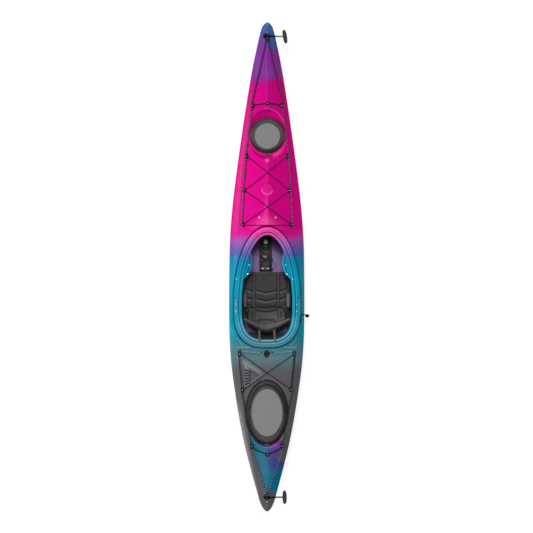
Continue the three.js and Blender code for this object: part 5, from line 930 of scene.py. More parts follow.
rib_forms, rib_grime = [], []
for at in np.arange(-0.5, SLOTS, 0.5):
    dark = at % 1 == 0
    long, lift, wider, higher = DARK_SLOT if dark else LIGHT_RIB
    start = np.array([-0.1745 + 0.0012 * at, -0.799 - SLOT_PITCH * at])
    ahead = np.array(FAN_POINT) - start
    ahead /= np.hypot(*ahead)
    run = start + np.outer(np.linspace(0, long - 0.0014 * at, 9), ahead)
    path = np.column_stack([run, deck_height(run[:, 0], run[:, 1]) + lift])
    swell = 1 - np.abs(np.linspace(-1, 1, 9)) ** 4
    form = bar_between(path, 0.004 + wider * swell, 0.0022 + higher * swell)
    rib_forms.append((form, 0))
    rib_grime += [1.0 if dark else 0.0] * len(form[0])
deck_ribs = mould("deck_ribs", rib_forms, hull_outside, crisp=60, tidy=False)
marked(deck_ribs, grime=rib_grime, wear=0.5 * (np.array(rib_grime) == 0))
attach(deck_ribs, "hull")

# ------------------------------------------------
# Hatches
# Each hatch is a black moulded ring screwed to the deck, a soft rubber cover that snaps over it
# and a hard grey panel bonded on top. A short tab at the rear edge is there to pull it open.
# ------------------------------------------------
def faded_top(tree, low, high, below, above):
    """Paints the sides near-black as painted shade, with what faces the sky paler."""
    facing = wire(tree, "SeparateXYZ", n0=wire(tree, "NewGeometry").outputs["Normal"]).outputs[2]
    return mixed(tree, ranged(tree, facing, low, high), below, above)


def refinished(name, finish):
    """Gives a plain solid its finish."""
    finishes = frame["nodes"][name].data.materials
    finishes.clear()
    finishes.append(finish)


rubber, tree, shader = finish_named("black_rubber", tint(60, 57, 58), 0.62, shine=0.2)
scuffs = grained(tree, shader, 0.62, 700.0, 0.5, 0.0003, 0.4)
dust = noise(tree, object_place(tree), 14.0, 5.0)
tone = steps(tree, dust, [(0.3, tint(56, 53, 54)), (0.7, tint(70, 67, 68))])
tone = faded_top(tree, 0.6, 0.95, tint(14, 13, 14), tone)
# The mark darkens the rear cover's crease further as painted shade.
tone = mixed(tree, mark_of(tree, "grime", 0.92), tone, tint(8, 7, 8))
painted(tree, shader, mixed(tree, times(tree, scuffs, 0.3), tone, tint(130, 128, 128)))

panel_grey, tree, shader = finish_named("grey_panel", tint(132, 130, 131), 0.5, shine=0.2)
scuffs = grained(tree, shader, 0.5, 1100.0, 0.6, 0.0003, 0.45)
mottle = noise(tree, object_place(tree), 90.0, 4.0, Roughness=0.7)
tone = steps(tree, mottle, [(0.3, tint(120, 118, 117)), (0.7, tint(127, 125, 124))])
painted(tree, shader, mixed(tree, times(tree, scuffs, 0.35), tone, tint(178, 176, 175)))

black_plastic, tree, shader = finish_named("black_plastic", tint(20, 19, 21), 0.42, shine=0.22)
scuffs = grained(tree, shader, 0.45, 1200.0, 0.5, 0.0002, 0.5)
mottle = noise(tree, object_place(tree), 60.0, 3.0)
tone = steps(tree, mottle, [(0.3, tint(16, 15, 17)), (0.7, tint(26, 25, 27))])
painted(tree, shader, mixed(tree, times(tree, scuffs, 0.4), tone, tint(120, 118, 120)))

HATCHES = {
    "front": dict(y=FRONT_HATCH_Y, seat=FRONT_SEAT_Z, wide=0.135, long=0.135, panel=(0.099, 0.099), brim=0),
    "rear": dict(y=REAR_HATCH_Y, seat=REAR_SEAT_Z, wide=0.156, long=0.24, panel=(0.12, 0.185), brim=0.006),
}
# The cover's top from its middle outward: inset from the edge, height above the seat, and how
# dark the painted shade is along the crease on the slope that faces the cockpit on the rear hatch.
COVER_TOP = [
    (34, 27, 0), (29, 26.7, 0), (20, 26.3, 0.1), (12, 25.8, 0.9), (6, 24.8, 1), (3.4, 23, 1), (2, 19.5, 1),
    (1.4, 14, 0), (1, 8.5, 0), (0.9, 5.6, 0),
]
COVER_EDGE = [
    (0.4, 5), (0, 3.8), (0.6, 1.6), (5, 1.2), (12, 1.4), (26, 4.6), (26, 15.4), (33, 15.8), (36, 22),
    (60, 22),
]
# The panel from its edge inward, and its foot above the seat.
COVER_HEIGHT = 27.2
PANEL = [
    (0, 0), (0, 2.6), (0.6, 3.5), (2, 3.9), (3.4, 3.6), (4.6, 3.3), (8, 3.2), (30, 3.6), (70, 3.9),
    (96, 4.0),
]
# The pull tab from its root outward: place, half width, and the top's height above the seat.
TAB = [
    (0.006, 0.017, 0.0058), (0, 0.017, 0.0058), (-0.008, 0.017, 0.0058), (-0.0135, 0.0145, 0.0058),
    (-0.016, 0.009, 0.004),
]
around = all_round(120)
for end, hatch in HATCHES.items():
    seat, brim = hatch["seat"], hatch["brim"]

    # How far the cover's wall slopes inward, in mm, round its edge.
    if end == "front":
        slope = 19 * np.maximum(0, -np.sin(around)) ** 1.2
    else:
        slope = 13 + 18 * np.maximum(0, np.sin(around)) ** 1.4 - 8 * np.maximum(0, -np.sin(around))

    def oval(wide, long, inset, up):
        across, along = wide - inset / 1000, long - inset / 1000
        height = np.full(len(around), seat + up / 1000)
        return np.column_stack([across * np.cos(around), hatch["y"] + along * np.sin(around), height])

    cover_rows = []
    for inset, up, *crease in COVER_TOP + COVER_EDGE:
        grow = brim if inset < 2.5 else (brim * 0.4 if inset < 7 else 0)
        inset = inset + slope * min(max((up - 6) / 16, 0), 1) * max(0, 1 - inset / 36)
        cover_rows.append(oval(hatch["wide"] + grow, hatch["long"] + grow, inset, up))
    tab_y, low = hatch["y"] - hatch["long"] - brim, seat + 0.0014
    tab = []
    for back, half, thick in TAB:
        corners = ((-half, low), (half, low), (half, seat + thick), (-half, seat + thick))
        tab.append([(across, tab_y + back, up) for across, up in corners])
    forms = [(rows_over(cover_rows), 0), (rows_over(tab), 0)]
    cover = mould(f"{end}_hatch_rubber", forms, rubber, crisp=40, tidy=False)
    # On the rear hatch the crease is painted dark as painted shade.
    shade = np.zeros(len(cover.data.vertices))
    if end == "rear":
        dark = np.concatenate([crease * ease(slope / 10) for inset, up, crease in COVER_TOP])
        shade[: len(dark)] = dark
    marked(cover, grime=shade)
    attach(cover, f"{end}_hatch_lid")
    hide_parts(f"{end}_hatch_cover")

    panel_rows = [oval(*hatch["panel"], inset, COVER_HEIGHT + up) for inset, up in PANEL]
    plate = mould(f"{end}_hatch_plate", [(rows_over(panel_rows), 0)], panel_grey, crisp=50)
    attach(plate, f"{end}_hatch_lid")
    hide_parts(f"{end}_hatch_panel")
    refinished(f"{end}_hatch_rim", black_plastic)

# ------------------------------------------------
# Deck fittings
# Sixteen small moulded domes, each held by one steel screw. The deck lines and bungees run
# through tunnels in them. They are nylon, black, and stand square to the deck.
# ------------------------------------------------
# Each pair's place along the boat and across it, as shares of the length and the half beam.
FITTINGS = {
    "bow_fitting_a": (0.1703, 0.695), "bow_fitting_b": (0.2743, 0.73), "bow_fitting_c": (0.3436, 0.7),
    "bow_fitting_d": (0.4131, 0.675), "stern_fitting_a": (0.6777, 0.755), "stern_fitting_b": (0.7514, 0.76),
    "stern_fitting_c": (0.8667, 0.7),
}
DOME = [
    (0.0001, 0.0112), (0.22, 0.0112), (0.26, 0.0132), (0.36, 0.0142), (0.5, 0.0134), (0.68, 0.0108),
    (0.84, 0.0074), (0.95, 0.0042), (1.0, 0.001), (1.0, -0.006),
]


SIDES = {"port": -1, "starboard": 1}


def deck_fitting(name, node, x, y, wide, long):
    up = deck_up(x, y)
    centre = np.array([x, y, float(deck_height(x, y))])
    body = turned_on(DOME, centre, up, 28, wide, long)
    head = screw(centre + np.array(up) * 0.0118, up, 0.62)
    piece = mould(name, [(body, 0), (head, 1)], black_plastic, steel)
    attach(piece, "hull")
    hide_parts(node)


fitting_places = {}
for name, (along, across) in FITTINGS.items():
    x, y = float(half_beam(along)) * across, (0.5 - along) * LENGTH
    fitting_places[name] = (x, y)
    for side, sign in SIDES.items():
        deck_fitting(f"{name}_dome_{side}", f"{name}_{side}", sign * x, y, 0.016, 0.023)
for name, along in (("bow_fitting_centre", 0.1656), ("stern_fitting_centre", 0.884)):
    deck_fitting(f"{name}_dome", name, 0.0, (0.5 - along) * LENGTH, 0.016, 0.016)

# ------------------------------------------------
# Deck lines, bungees and cross cords
# Braided polyester line, black with light flecks, runs round the foredeck and the afterdeck for
# hands to grab. The bungees are rubber cord in a plain black braid, stretched across the deck.
# ------------------------------------------------
LINE = 0.0056
# The braid's loose outer yarns stand this far beyond the line's own thickness.
YARN = 0.0028
BUNGEE = 0.005
# A cord lies this far off the deck, and a bungee turns this far inside a fitting's middle.
LAY = 0.0008
OFF = 0.006
HALF_FITTING = 0.023
HALF_WIDTH = 0.016
INBOARD = HALF_WIDTH + OFF
LINE_RISE = 0.0065 - LINE / 2 - LAY
BUNGEE_RISE = 0.0065 - BUNGEE / 2 - LAY
FLECK_PITCH = 0.0188


def flowing(points, step=0.006):
    """Points close together on a smooth curve through the given ones."""
    points = np.asarray(points, float)
    ends = np.vstack([2 * points[0] - points[1], points, 2 * points[-1] - points[-2]])
    made = []
    for i in range(1, len(ends) - 2):
        p0, p1, p2, p3 = ends[i - 1 : i + 3]
        t0, t1, t2 = (max(np.linalg.norm(b - a), 1e-6) ** 0.5 for a, b in ((p0, p1), (p1, p2), (p2, p3)))
        m1 = t1 * ((p1 - p0) / t0 - (p2 - p0) / (t0 + t1) + (p2 - p1) / t1)
        m2 = t1 * ((p2 - p1) / t1 - (p3 - p1) / (t1 + t2) + (p3 - p2) / t2)
        count = max(1, int(round(np.linalg.norm(p2 - p1) / step)))
        t = (np.arange(count) / count)[:, None]
        first = (2 * t**3 - 3 * t**2 + 1) * p1 + (t**3 - 2 * t**2 + t) * m1
        made.append(first + (3 * t**2 - 2 * t**3) * p2 + (t**3 - t**2) * m2)
    return np.vstack(made + [points[-1:]])


def cord_mesh(name, path, diameter, finish):
    """A round cord along a path, with its length and turn kept as a map for the braid."""
    sides = 10
    ahead = np.gradient(path, axis=0)
    ahead /= np.linalg.norm(ahead, axis=1)[:, None]
    side = np.cross(ahead[0], (0.3, 0.2, 1.0))
    angles = all_round(sides)
    rows = []
    for point, direction in zip(path, ahead):
        side = side - direction * side.dot(direction)
        side /= np.linalg.norm(side)
        other = np.cross(direction, side)
        ring = np.outer(np.cos(angles), side) + np.outer(np.sin(angles), other)
        rows.append(point + diameter / 2 * ring)
    piece = mould(name, [(rows_over(rows), 0)], finish, tidy=False, crisp=60)
    along = np.concatenate([[0], np.cumsum(np.linalg.norm(np.diff(path, axis=0), axis=1))])
    chart = piece.data.uv_layers.new(name="braid")
    for face in piece.data.polygons:
        if len(face.vertices) > 4:
            continue
        turns = {v % sides for v in face.vertices}
        for corner in face.loop_indices:
            step, turn = divmod(piece.data.loops[corner].vertex_index, sides)
            # The last strip of faces ends a whole turn round, where the first begins.
            share = 1.0 if turn == 0 and sides - 1 in turns else turn / sides
            chart.data[corner].uv = (share, along[step])
    return piece


STRANDS = 4


def braid(tree, shader, pitch, depth):
    """Gives a cord's finish diagonal strands, and puts out turn, length and weave."""
    chart = wire(tree, "UVMap", {"uv_map": "braid"}).outputs[0]
    parts = wire(tree, "SeparateXYZ", n0=chart)
    turn, along = parts.outputs[0], parts.outputs[1]
    run = times(tree, along, 2 * math.pi / pitch)
    spin = times(tree, turn, 2 * math.pi * STRANDS)
    one = sums(tree, "SINE", plus(tree, run, spin))
    two = sums(tree, "SINE", minus(tree, run, spin))
    weave = larger(tree, one, two)
    relief(tree, shader, weave, depth, 0.8)
    return turn, along, weave


line_cord, tree, shader = finish_named("flecked_line", tint(16, 15, 18), 0.8, shine=0.12)
turn, along, weave = braid(tree, shader, 0.005, 0.0006)
lean = times(tree, sums(tree, "SINE", times(tree, turn, 2 * math.pi)), 0.06)
twist = sums(tree, "FRACT", plus(tree, sums(tree, "DIVIDE", along, FLECK_PITCH), lean))
fleck = times(tree, ranged(tree, twist, 0.15, 0.17), ranged(tree, twist, 0.47, 0.45))
# The light yarn is clean at the stern, and weathered dark toward the bow and beside the rear hatch.
y = axes(tree)[1]
amid = sums(tree, "ABSOLUTE", minus(tree, y, 0.65))
at_stern, weathered = ranged(tree, y, -1.36, -1.46), ranged(tree, amid, 0.65, 0.45, 0.22, 0.75)
fleck = times(tree, fleck, larger(tree, at_stern, weathered))
dark = steps(tree, weave, [(0.2, tint(5, 4, 6)), (0.9, tint(14, 13, 16))])
painted(tree, shader, mixed(tree, fleck, dark, tint(176, 174, 177)))

plain_cord, tree, shader = finish_named("black_braid", tint(12, 11, 13), 0.75, shine=0.12)
turn, along, weave = braid(tree, shader, 0.004, 0.0004)
painted(tree, shader, steps(tree, weave, [(0.2, tint(7, 6, 8)), (0.9, tint(22, 21, 23))]))


def over_deck(places, diameter):
    """Points along the deck through places given as x, y and a rise above lying flat."""
    made = []
    for i, (a, b) in enumerate(zip(places[:-1], places[1:])):
        count = max(1, int(round(math.hypot(b[0] - a[0], b[1] - a[1]) / 0.01)))
        for k in range(0 if i == 0 else 1, count + 1):
            made.append([a[n] + (b[n] - a[n]) * k / count for n in range(3)])
    made = np.array(made)
    height = deck_height(made[:, 0], made[:, 1]) + diameter / 2 + LAY + made[:, 2]
    # A taut cord bridges the small hollows.
    for again in range(2):
        height[1:-1] = np.maximum(height[1:-1], (height[:-2] + height[2:]) / 2 - 0.0004)
    return flowing(np.column_stack([made[:, 0], made[:, 1], height]))


bow_a, bow_b, bow_c, bow_d, aft_a, aft_b, aft_c = fitting_places.values()


def line_side(stops, towards):
    """Where a deck line enters and leaves each fitting along one side."""
    return [
        (x + 0.0065, y + way * towards * HALF_FITTING, LINE_RISE) for x, y in stops for way in (-1, 1)
    ]


def mirrored(places):
    """The same places on the other side, in the order in which a cord comes back."""
    return [(-place[0],) + tuple(place[1:]) for place in reversed(places)]


EYE_FOOT = EYE_Y - 0.033
ROUND_FOOT = 0.0075 + LINE
BESIDE_HATCH = (0.154 + 2 * LINE, REAR_HATCH_Y, 0)


def eye_turn(towards):
    """Round the eye's inner foot."""
    return [
        (ROUND_FOOT, towards * (EYE_FOOT - 0.022), 0), (ROUND_FOOT, towards * (EYE_FOOT + 0.0055), 0),
        (ROUND_FOOT / 2, towards * (EYE_FOOT + 0.011 + LINE), 0),
    ]


bow_side = line_side([bow_d, bow_c, bow_b, bow_a], 1) + eye_turn(1)
stern_side = line_side([aft_a, aft_b], -1) + [BESIDE_HATCH] + line_side([aft_c], -1) + eye_turn(-1)


def held_at(spot, side, stops):
    """Where a bungee passes a fitting: how far inboard of its middle and how far ahead of it."""
    x, y = spot
    return [(side * (x - inboard), y + ahead, BUNGEE_RISE) for inboard, ahead in stops]


def tail(spot, side, towards):
    x, y = spot
    inner = side * (x - OFF)
    return [(inner, y + towards * (HALF_FITTING + OFF), BUNGEE_RISE / 2), (inner, y, BUNGEE_RISE)]


def turn_at(spot, side, towards):
    stops = ((INBOARD, -HALF_WIDTH), (OFF, -OFF), (OFF, OFF), (INBOARD, HALF_WIDTH))
    return held_at(spot, side, [(inboard, towards * ahead) for inboard, ahead in stops])


def corner_turn(spot, side):
    return held_at(spot, side, [(INBOARD, HALF_WIDTH), (OFF, OFF), (OFF, -OFF / 2), (INBOARD, -OFF)])


def crossing(a, b, rise=0.0):
    """Where the cord between two pairs of fittings passes the middle of the deck."""
    return (0, a[1] + (b[1] - a[1]) * a[0] / (a[0] + b[0]), rise)


front_bungee_places = (
    tail(bow_b, -1, 1) + [crossing(bow_b, bow_c)] + turn_at(bow_c, 1, -1) + [crossing(bow_c, bow_d)]
    + corner_turn(bow_d, -1) + corner_turn(bow_d, 1)[::-1] + [crossing(bow_c, bow_d, OFF)]
    + turn_at(bow_c, -1, -1)[::-1] + [crossing(bow_b, bow_c, OFF)] + tail(bow_b, 1, 1)[::-1]
)
rear_bungee_places = (
    tail(aft_a, -1, 1) + [crossing(aft_a, aft_b)]
    + held_at(aft_b, 1, [(INBOARD, HALF_WIDTH), (OFF, OFF / 2), (OFF / 3, HALF_FITTING)])
    + held_at(aft_a, 1, [(OFF / 3, -HALF_FITTING), (OFF, -OFF / 2), (INBOARD, -HALF_WIDTH)])
    + [crossing(aft_a, aft_b, OFF)] + tail(aft_b, -1, -1)[::-1]
)


def cross_cord(pair, centre_along):
    middle = (0.5 - centre_along) * LENGTH
    side = held_at(pair, 1, [(OFF, 0), (INBOARD, (middle - pair[1]) * 0.35)])
    return side + [(0, middle, BUNGEE_RISE)] + mirrored(side)


line_points = []
for name, places, diameter, finish in (
    ("bow_deck_line", bow_side + mirrored(bow_side), LINE, line_cord),
    ("stern_deck_line", stern_side + mirrored(stern_side), LINE, line_cord),
    ("front_bungee", front_bungee_places, BUNGEE, plain_cord),
    ("rear_bungee", rear_bungee_places, BUNGEE, plain_cord),
    ("bow_cross_cord", cross_cord(bow_a, 0.1656), LINE, plain_cord),
    ("stern_cross_cord", cross_cord(aft_c, 0.884), LINE, plain_cord),
):
    path = over_deck(places, diameter)
    piece = cord_mesh(f"{name}_braid", path, diameter + (YARN if diameter == LINE else 0.0006), finish)
    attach(piece, "hull")
    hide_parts(name)
    if finish == line_cord:
        line_points.extend(path.tolist())

# Painted shadow darkens the deck along the deck lines, under and beside each cord.
beside = KDTree(len(line_points))
for number, point in enumerate(line_points):
    beside.insert(point, number)
beside.balance()
grime_layer = hull_skin.data.attributes["grime"].data
grime = np.zeros(len(grime_layer))
grime_layer.foreach_get("value", grime)
gap = np.array([beside.find(corner.co)[2] for corner in hull_skin.data.vertices])
grime_layer.foreach_set("value", np.clip(grime + 0.6 * ease((0.0095 - gap) / 0.004), 0, 1))

# ------------------------------------------------
# Eyes and carry handles
# At each end a moulded bar on two screwed feet stands over a finger recess. A braided cord loops
# round it and ends in a rubber handle, thick in the middle, with fine ribs for wet hands.
# ------------------------------------------------
EYE_BAR_RISE = 0.014
EYE_BAR_THICKNESS = 0.005
EYE_FOOT_SHAPE = [(0.0001, 0.0125), (0.5, 0.0118), (0.85, 0.008), (1, 0.003), (1, -0.006)]
HANDLE_CORD = 0.006
HANDLE_REACH = 0.138
HANDLE_THICKNESS = 0.030
HANDLE_HALF_LENGTH = 0.0525
# Half of the handle, as shares of its half length and of its thickness, and then the other half.
HANDLE_SHAPE = [(-1, 0.2), (-0.985, 0.36), (-0.93, 0.56), (-0.8, 0.74), (-0.6, 0.88), (-0.3, 0.97), (0, 1)]
HANDLE_SHAPE += [(-along, thick) for along, thick in HANDLE_SHAPE[-2::-1]]


def handle_cord_points(y):
    """Both strands of the cord: out of the handle, over the gunwale, round the bar and back."""
    station = station_of(y)
    level = float(plain_deck(0.0, y)) + EYE_BAR_RISE - EYE_BAR_THICKNESS / 2
    side, edge = float(half_beam(station)), float(BOW_HEIGHT * sheer_share(station))
    loop, apart = 0.0125, HANDLE_CORD * 0.6
    tx, tz = HANDLE_REACH, edge - 0.012

    def deck(x):
        return float(plain_deck(x, y))

    def half(strand, low):
        stops = [
            (tx, tz), (tx - HANDLE_THICKNESS, tz + HANDLE_THICKNESS / 3),
            (side + HANDLE_CORD, edge + HANDLE_CORD),
            (side * 0.86, deck(side * 0.86) + HANDLE_CORD * 1.1),
            (side * 0.6, deck(side * 0.6) + HANDLE_CORD * (1.2 if low else 2.2)),
            (loop, level - loop if low else level + loop / 2),
        ]
        return [(x, y + strand * apart, z) for x, z in stops]

    round_bar = [(0, y + apart / 2, level + loop), (-loop, y, level), (0, y - apart / 2, level - loop)]
    return half(1, False) + round_bar + half(-1, True)[::-1][1:]


for end, y, tilt in (("bow", EYE_Y, 9), ("stern", -EYE_Y, 1)):
    level = float(plain_deck(0.0, y))
    run = np.linspace(-1, 1, 25)
    lift = EYE_BAR_RISE - EYE_BAR_THICKNESS / 2
    rise = level + lift * (1 - np.clip((np.abs(run) - 0.72) / 0.5, 0, 1) ** 2)
    wide = 0.008 + 0.005 * hill(np.abs(run) - 0.9, 0.2)
    places = [(0, y + 0.044 * at, z) for at, z in zip(run, rise)]
    parts = [(bar_between(places, wide, np.full(25, EYE_BAR_THICKNESS)), 0)]
    for foot in (-1, 1):
        foot_y = y + foot * 0.033
        base = np.array([0, foot_y, float(plain_deck(0.0, foot_y))])
        pad = turned_on(EYE_FOOT_SHAPE, base, (0, 0, 1), 20, 0.0075, 0.011)
        parts += [(pad, 0), (screw(base + np.array([0, 0, 0.0128])), 1)]
    eye = mould(f"{end}_eye_bar", parts, black_plastic, steel)
    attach(eye, "hull")
    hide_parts(f"{end}_eye")

    points = handle_cord_points(y)
    path = flowing(points, 0.003)
    loop = cord_mesh(f"{end}_handle_loop", path, HANDLE_CORD, plain_cord)

    tz = points[0][2]
    ribs = []
    angles = all_round(20)
    fine = np.linspace(-1, 1, 61)
    for at, size in zip(fine, through(HANDLE_SHAPE)(fine)):
        rib = 1 + 0.05 * math.cos(at * math.pi * 22) * (abs(at) < 0.85)
        radius = HANDLE_THICKNESS / 2 * size * rib
        along = HANDLE_HALF_LENGTH * at
        tx = HANDLE_REACH - math.tan(math.radians(tilt)) * along
        ribs.append(np.column_stack([
            tx + 1.13 * radius * np.cos(angles), np.full(20, y + along), tz + radius * np.sin(angles)
        ]))
    handle = mould(f"{end}_handle_grip", [(rows_over(ribs), 0)], rubber)
    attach(handle, f"{end}_handle")
    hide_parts(f"{end}_toggle")
    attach(loop, f"{end}_handle")
    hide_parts(f"{end}_toggle_cord")

# ------------------------------------------------
# Skeg and its control
# A blade drops out of a box in the keel. Its cord comes up through the deck beside the cockpit,
# jams in a small cleat and ends in a knob over the edge. All of it is black moulded nylon.
# ------------------------------------------------
CLEAT_LENGTH = 0.066
CLEAT_X = BEAM / 2 - 0.032
CLEAT_Y = COCKPIT_Y - CLEAT_LENGTH * 1.7
cleat_level = float(deck_height(CLEAT_X, CLEAT_Y))
KNOB_X = BEAM / 2 + 0.028
KNOB_Y = CLEAT_Y + CLEAT_LENGTH * 0.4
KNOB_Z = cleat_level - 0.078
KNOB_SHAPE = [
    (0.0001, -0.014), (0.006, -0.0132), (0.0105, -0.0095), (0.0135, -0.004), (0.014, 0.001),
    (0.0125, 0.006), (0.0085, 0.0098), (0.0052, 0.0122), (0.0034, 0.0138), (0.0001, 0.014),
]
edge_z = float(BOW_HEIGHT * sheer_share(station_of(KNOB_Y)))
SKEG_CORD = 0.005
skeg_points = [
    (CLEAT_X, CLEAT_Y - 0.0165, cleat_level + 0.0075), (CLEAT_X, CLEAT_Y, cleat_level + 0.0075),
    (CLEAT_X, CLEAT_Y + 0.022, cleat_level + 0.0075),
    ((CLEAT_X + BEAM / 2) / 2, CLEAT_Y + 0.0363, cleat_level + SKEG_CORD / 2),
    (BEAM / 2 + SKEG_CORD, KNOB_Y + 0.011, edge_z + 2 * SKEG_CORD),
    (KNOB_X - SKEG_CORD, KNOB_Y, (edge_z + KNOB_Z) / 2 + SKEG_CORD), (KNOB_X, KNOB_Y, KNOB_Z + 0.0168),
    (KNOB_X, KNOB_Y, KNOB_Z + 0.007),
]
path = flowing(skeg_points, 0.003)
skeg_line = cord_mesh("skeg_line", path, SKEG_CORD + 0.0016, plain_cord)
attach(skeg_line, "skeg_pull")
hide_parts("skeg_cord")
knob_plastic, tree, shader = finish_named("knob_plastic", tint(60, 44, 53), 0.5, shine=0.2)
grained(tree, shader, 0.5, 900.0, 0.3, 0.0002, 0.4)
ball = turned_on(KNOB_SHAPE, (KNOB_X - 0.0035, KNOB_Y, KNOB_Z), sides=24, wide=1.24)
knob = mould("skeg_knob_ball", [(ball, 0)], knob_plastic)
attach(knob, "skeg_pull")
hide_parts("skeg_knob")
for name in ("skeg_box", "skeg_blade", "skeg_tube", "skeg_cleat"):
    refinished(name, black_plastic)

# ------------------------------------------------
# Security bar
# A short bar of black moulded nylon, screwed down at both ends over a bowl in the deck, so that
# a cable lock can go round it.
# ------------------------------------------------
level = float(plain_deck(0.0, BAR_Y))
run = np.linspace(-1, 1, 21)
rise = level - 0.001 + 0.0085 * (1 - np.clip((np.abs(run) - 0.45) / 0.6, 0, 1) ** 2)
wide = 0.0085 + 0.0045 * hill(np.abs(run) - 0.75, 0.25)
bar = bar_between([(0.044 * at, BAR_Y, z) for at, z in zip(run, rise)], wide, np.full(21, 0.006))
parts = [(bar, 0)] + [(screw((side * 0.03, BAR_Y, level + 0.0085), size=0.95), 1) for side in (-1, 1)]
lock_bar = mould("lock_bar", parts, black_plastic, steel)
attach(lock_bar, "hull")
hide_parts("security_bar")

# ------------------------------------------------
# Seat
# A moulded pan with a side wing each side. On it lies a padded cover in dark woven cloth, foam
# filled, with a channel along each side and V seams across, where the layers are sewn through.
# ------------------------------------------------
SEAT_FRONT = -0.038
SEAT_LENGTH = 0.292
SEAT_Y = SEAT_FRONT - SEAT_LENGTH / 2
SEAT_HALF_WIDTH = 0.176
WING = 0.005
SEAT_BASE = 0.0423
CUSHION_THICKNESS = 0.034
CHANNEL_X = 0.096
STUFFING_STEPS = 20
WING_X = SEAT_HALF_WIDTH + WING
WING_Y = SEAT_Y - SEAT_LENGTH / 2 + 0.075 + 0.012


def cloth_group():
    """Plain woven cloth: warp over weft, with thick places in the yarn and a mottled tone."""
    group, wants, gives = new_group(
        "plain weave",
        [("Thread", "NodeSocketFloat", 0.0011), ("Slub", "NodeSocketFloat", 0.5)],
        [("Height", "NodeSocketFloat"), ("Tone", "NodeSocketFloat")],
    )
    place = object_place(group)
    x, y, z = axes(group)
    turns = sums(group, "DIVIDE", math.pi, wants.outputs["Thread"])
    warp = sums(group, "SINE", times(group, x, turns))
    weft = sums(group, "SINE", times(group, plus(group, y, z), turns))
    weave = times(group, warp, weft)
    cloud = noise(group, place, 26.0, 5.0, Roughness=0.65)
    speck = noise(group, place, 480.0, 2.0)
    tone = plus(group, times(group, cloud, 0.6), times(group, speck, 0.4))
    group.links.new(plus(group, weave, times(group, speck, wants.outputs["Slub"])), gives.inputs["Height"])
    group.links.new(tone, gives.inputs["Tone"])
    return group


CLOTH = cloth_group()


def seat_cloth(name, dark, light):
    made, tree, shader = finish_named(name, dark, 0.85, shine=0.25, Sheen_Weight=0.15, Sheen_Roughness=0.5)
    weave = placed_group(tree, CLOTH, Thread=0.0011, Slub=0.6)
    tone = steps(tree, weave.outputs["Tone"], [(0.35, dark), (0.62, light)])
    # Raised strips and ridges get a painted highlight. Seams are dark, with painted shade on the cloth that
    # dips toward them.
    tone = mixed(tree, mark_of(tree, "crest", 0.6), tone, tint(132, 130, 132))
    painted(tree, shader, mixed(tree, mark_of(tree, "seam", 0.9), tone, tint(6, 5, 6)))
    relief(tree, shader, weave.outputs["Height"], 0.0004, 0.5)
    return made


seat_fabric = seat_cloth("seat_fabric", tint(64, 61, 62), tint(80, 77, 78))
# The collar's cloth is paler, partly as painted light on its flared top.
collar_fabric = seat_cloth("collar_fabric", tint(80, 78, 80), tint(96, 94, 96))


def corner_rounded(u, v, amount):
    """A square from -1 to 1 each way, with its corners drawn in."""
    return u * np.sqrt(1 - amount * v * v / 2), v * np.sqrt(1 - amount * u * u / 2)


def pillow(top, under, across=44, along=44):
    """A closed cover from its upper and its under sheet."""
    u = np.linspace(-1, 1, across)[:, None] * np.ones(along)
    v = np.ones(across)[:, None] * np.linspace(-1, 1, along)
    rows = np.concatenate([np.stack(top(u, v), axis=2), np.stack(under(u, v), axis=2)[:, ::-1]], axis=1)
    return rows_over(rows)


def evened(piece):
    """Applies a piece's modifiers to its mesh."""
    made = bpy.data.meshes.new_from_object(piece.evaluated_get(bpy.context.evaluated_depsgraph_get()))
    piece.modifiers.clear()
    piece.data = made


def stuffed(piece, size, pressure, most):
    """Swells a closed cover as its foam would, with no point moved further than a limit."""
    remesh = piece.modifiers.new("even", "REMESH")
    remesh.mode = "VOXEL"
    remesh.voxel_size = size
    evened(piece)
    before = points_of(piece).T
    cloth = piece.modifiers.new("stuffing", "CLOTH")
    cloth.settings.use_pressure = True
    cloth.settings.uniform_pressure_force = pressure
    cloth.settings.effector_weights.gravity = 0
    cloth.point_cache.frame_start, cloth.point_cache.frame_end = 1, STUFFING_STEPS
    for step in range(1, STUFFING_STEPS + 1):
        scene.frame_set(step)
    swollen = piece.evaluated_get(bpy.context.evaluated_depsgraph_get())
    move = points_of(swollen).T - before
    piece.modifiers.clear()
    scene.frame_set(1)
    far = np.maximum(np.linalg.norm(move, axis=1), 1e-9)
    move *= np.minimum(1, most / far)[:, None]
    piece.data.vertices.foreach_set("co", (before + move).ravel())
    smoother = piece.modifiers.new("soft", "SMOOTH")
    smoother.iterations = 3
    smoother.factor = 0.5
    finer = piece.modifiers.new("finer", "SUBSURF")
    finer.levels = finer.render_levels = 1
    evened(piece)
    piece.data.polygons.foreach_set("use_smooth", [True] * len(piece.data.polygons))


def points_of(piece):
    """A piece's points as three columns."""
    spots = np.empty(len(piece.data.vertices) * 3)
    piece.data.vertices.foreach_get("co", spots)
    return spots.reshape(-1, 3).T


def reshaped(piece, change):
    """Moves a piece's points as far across, along and up as a rule says for their places."""
    spots = points_of(piece)
    moves = np.stack(np.broadcast_arrays(*change(*spots)))
    piece.data.vertices.foreach_set("co", (spots + moves).T.ravel())
    piece.data.update()


def cushion_plan(u, v, inset):
    a, b = corner_rounded(u, v, 0.14)
    wide = 0.1775 + 0.0065 * ease((v + 0.15) / 0.25) - 0.022 * ease((v - 0.35) / 0.65) ** 2
    return a * (wide - inset), SEAT_Y + b * (SEAT_LENGTH / 2 - inset)


def cushion_top(u, v):
    x, y = cushion_plan(u, v, 0.005)
    edge = (1 - np.abs(u) ** 8) * (1 - np.abs(v) ** 8)
    raised = 0.3 * np.abs(u) ** 3 + 0.12 * ease(v)
    return x, y, SEAT_BASE + CUSHION_THICKNESS * (0.4 + (0.5 + raised) * edge**0.5)


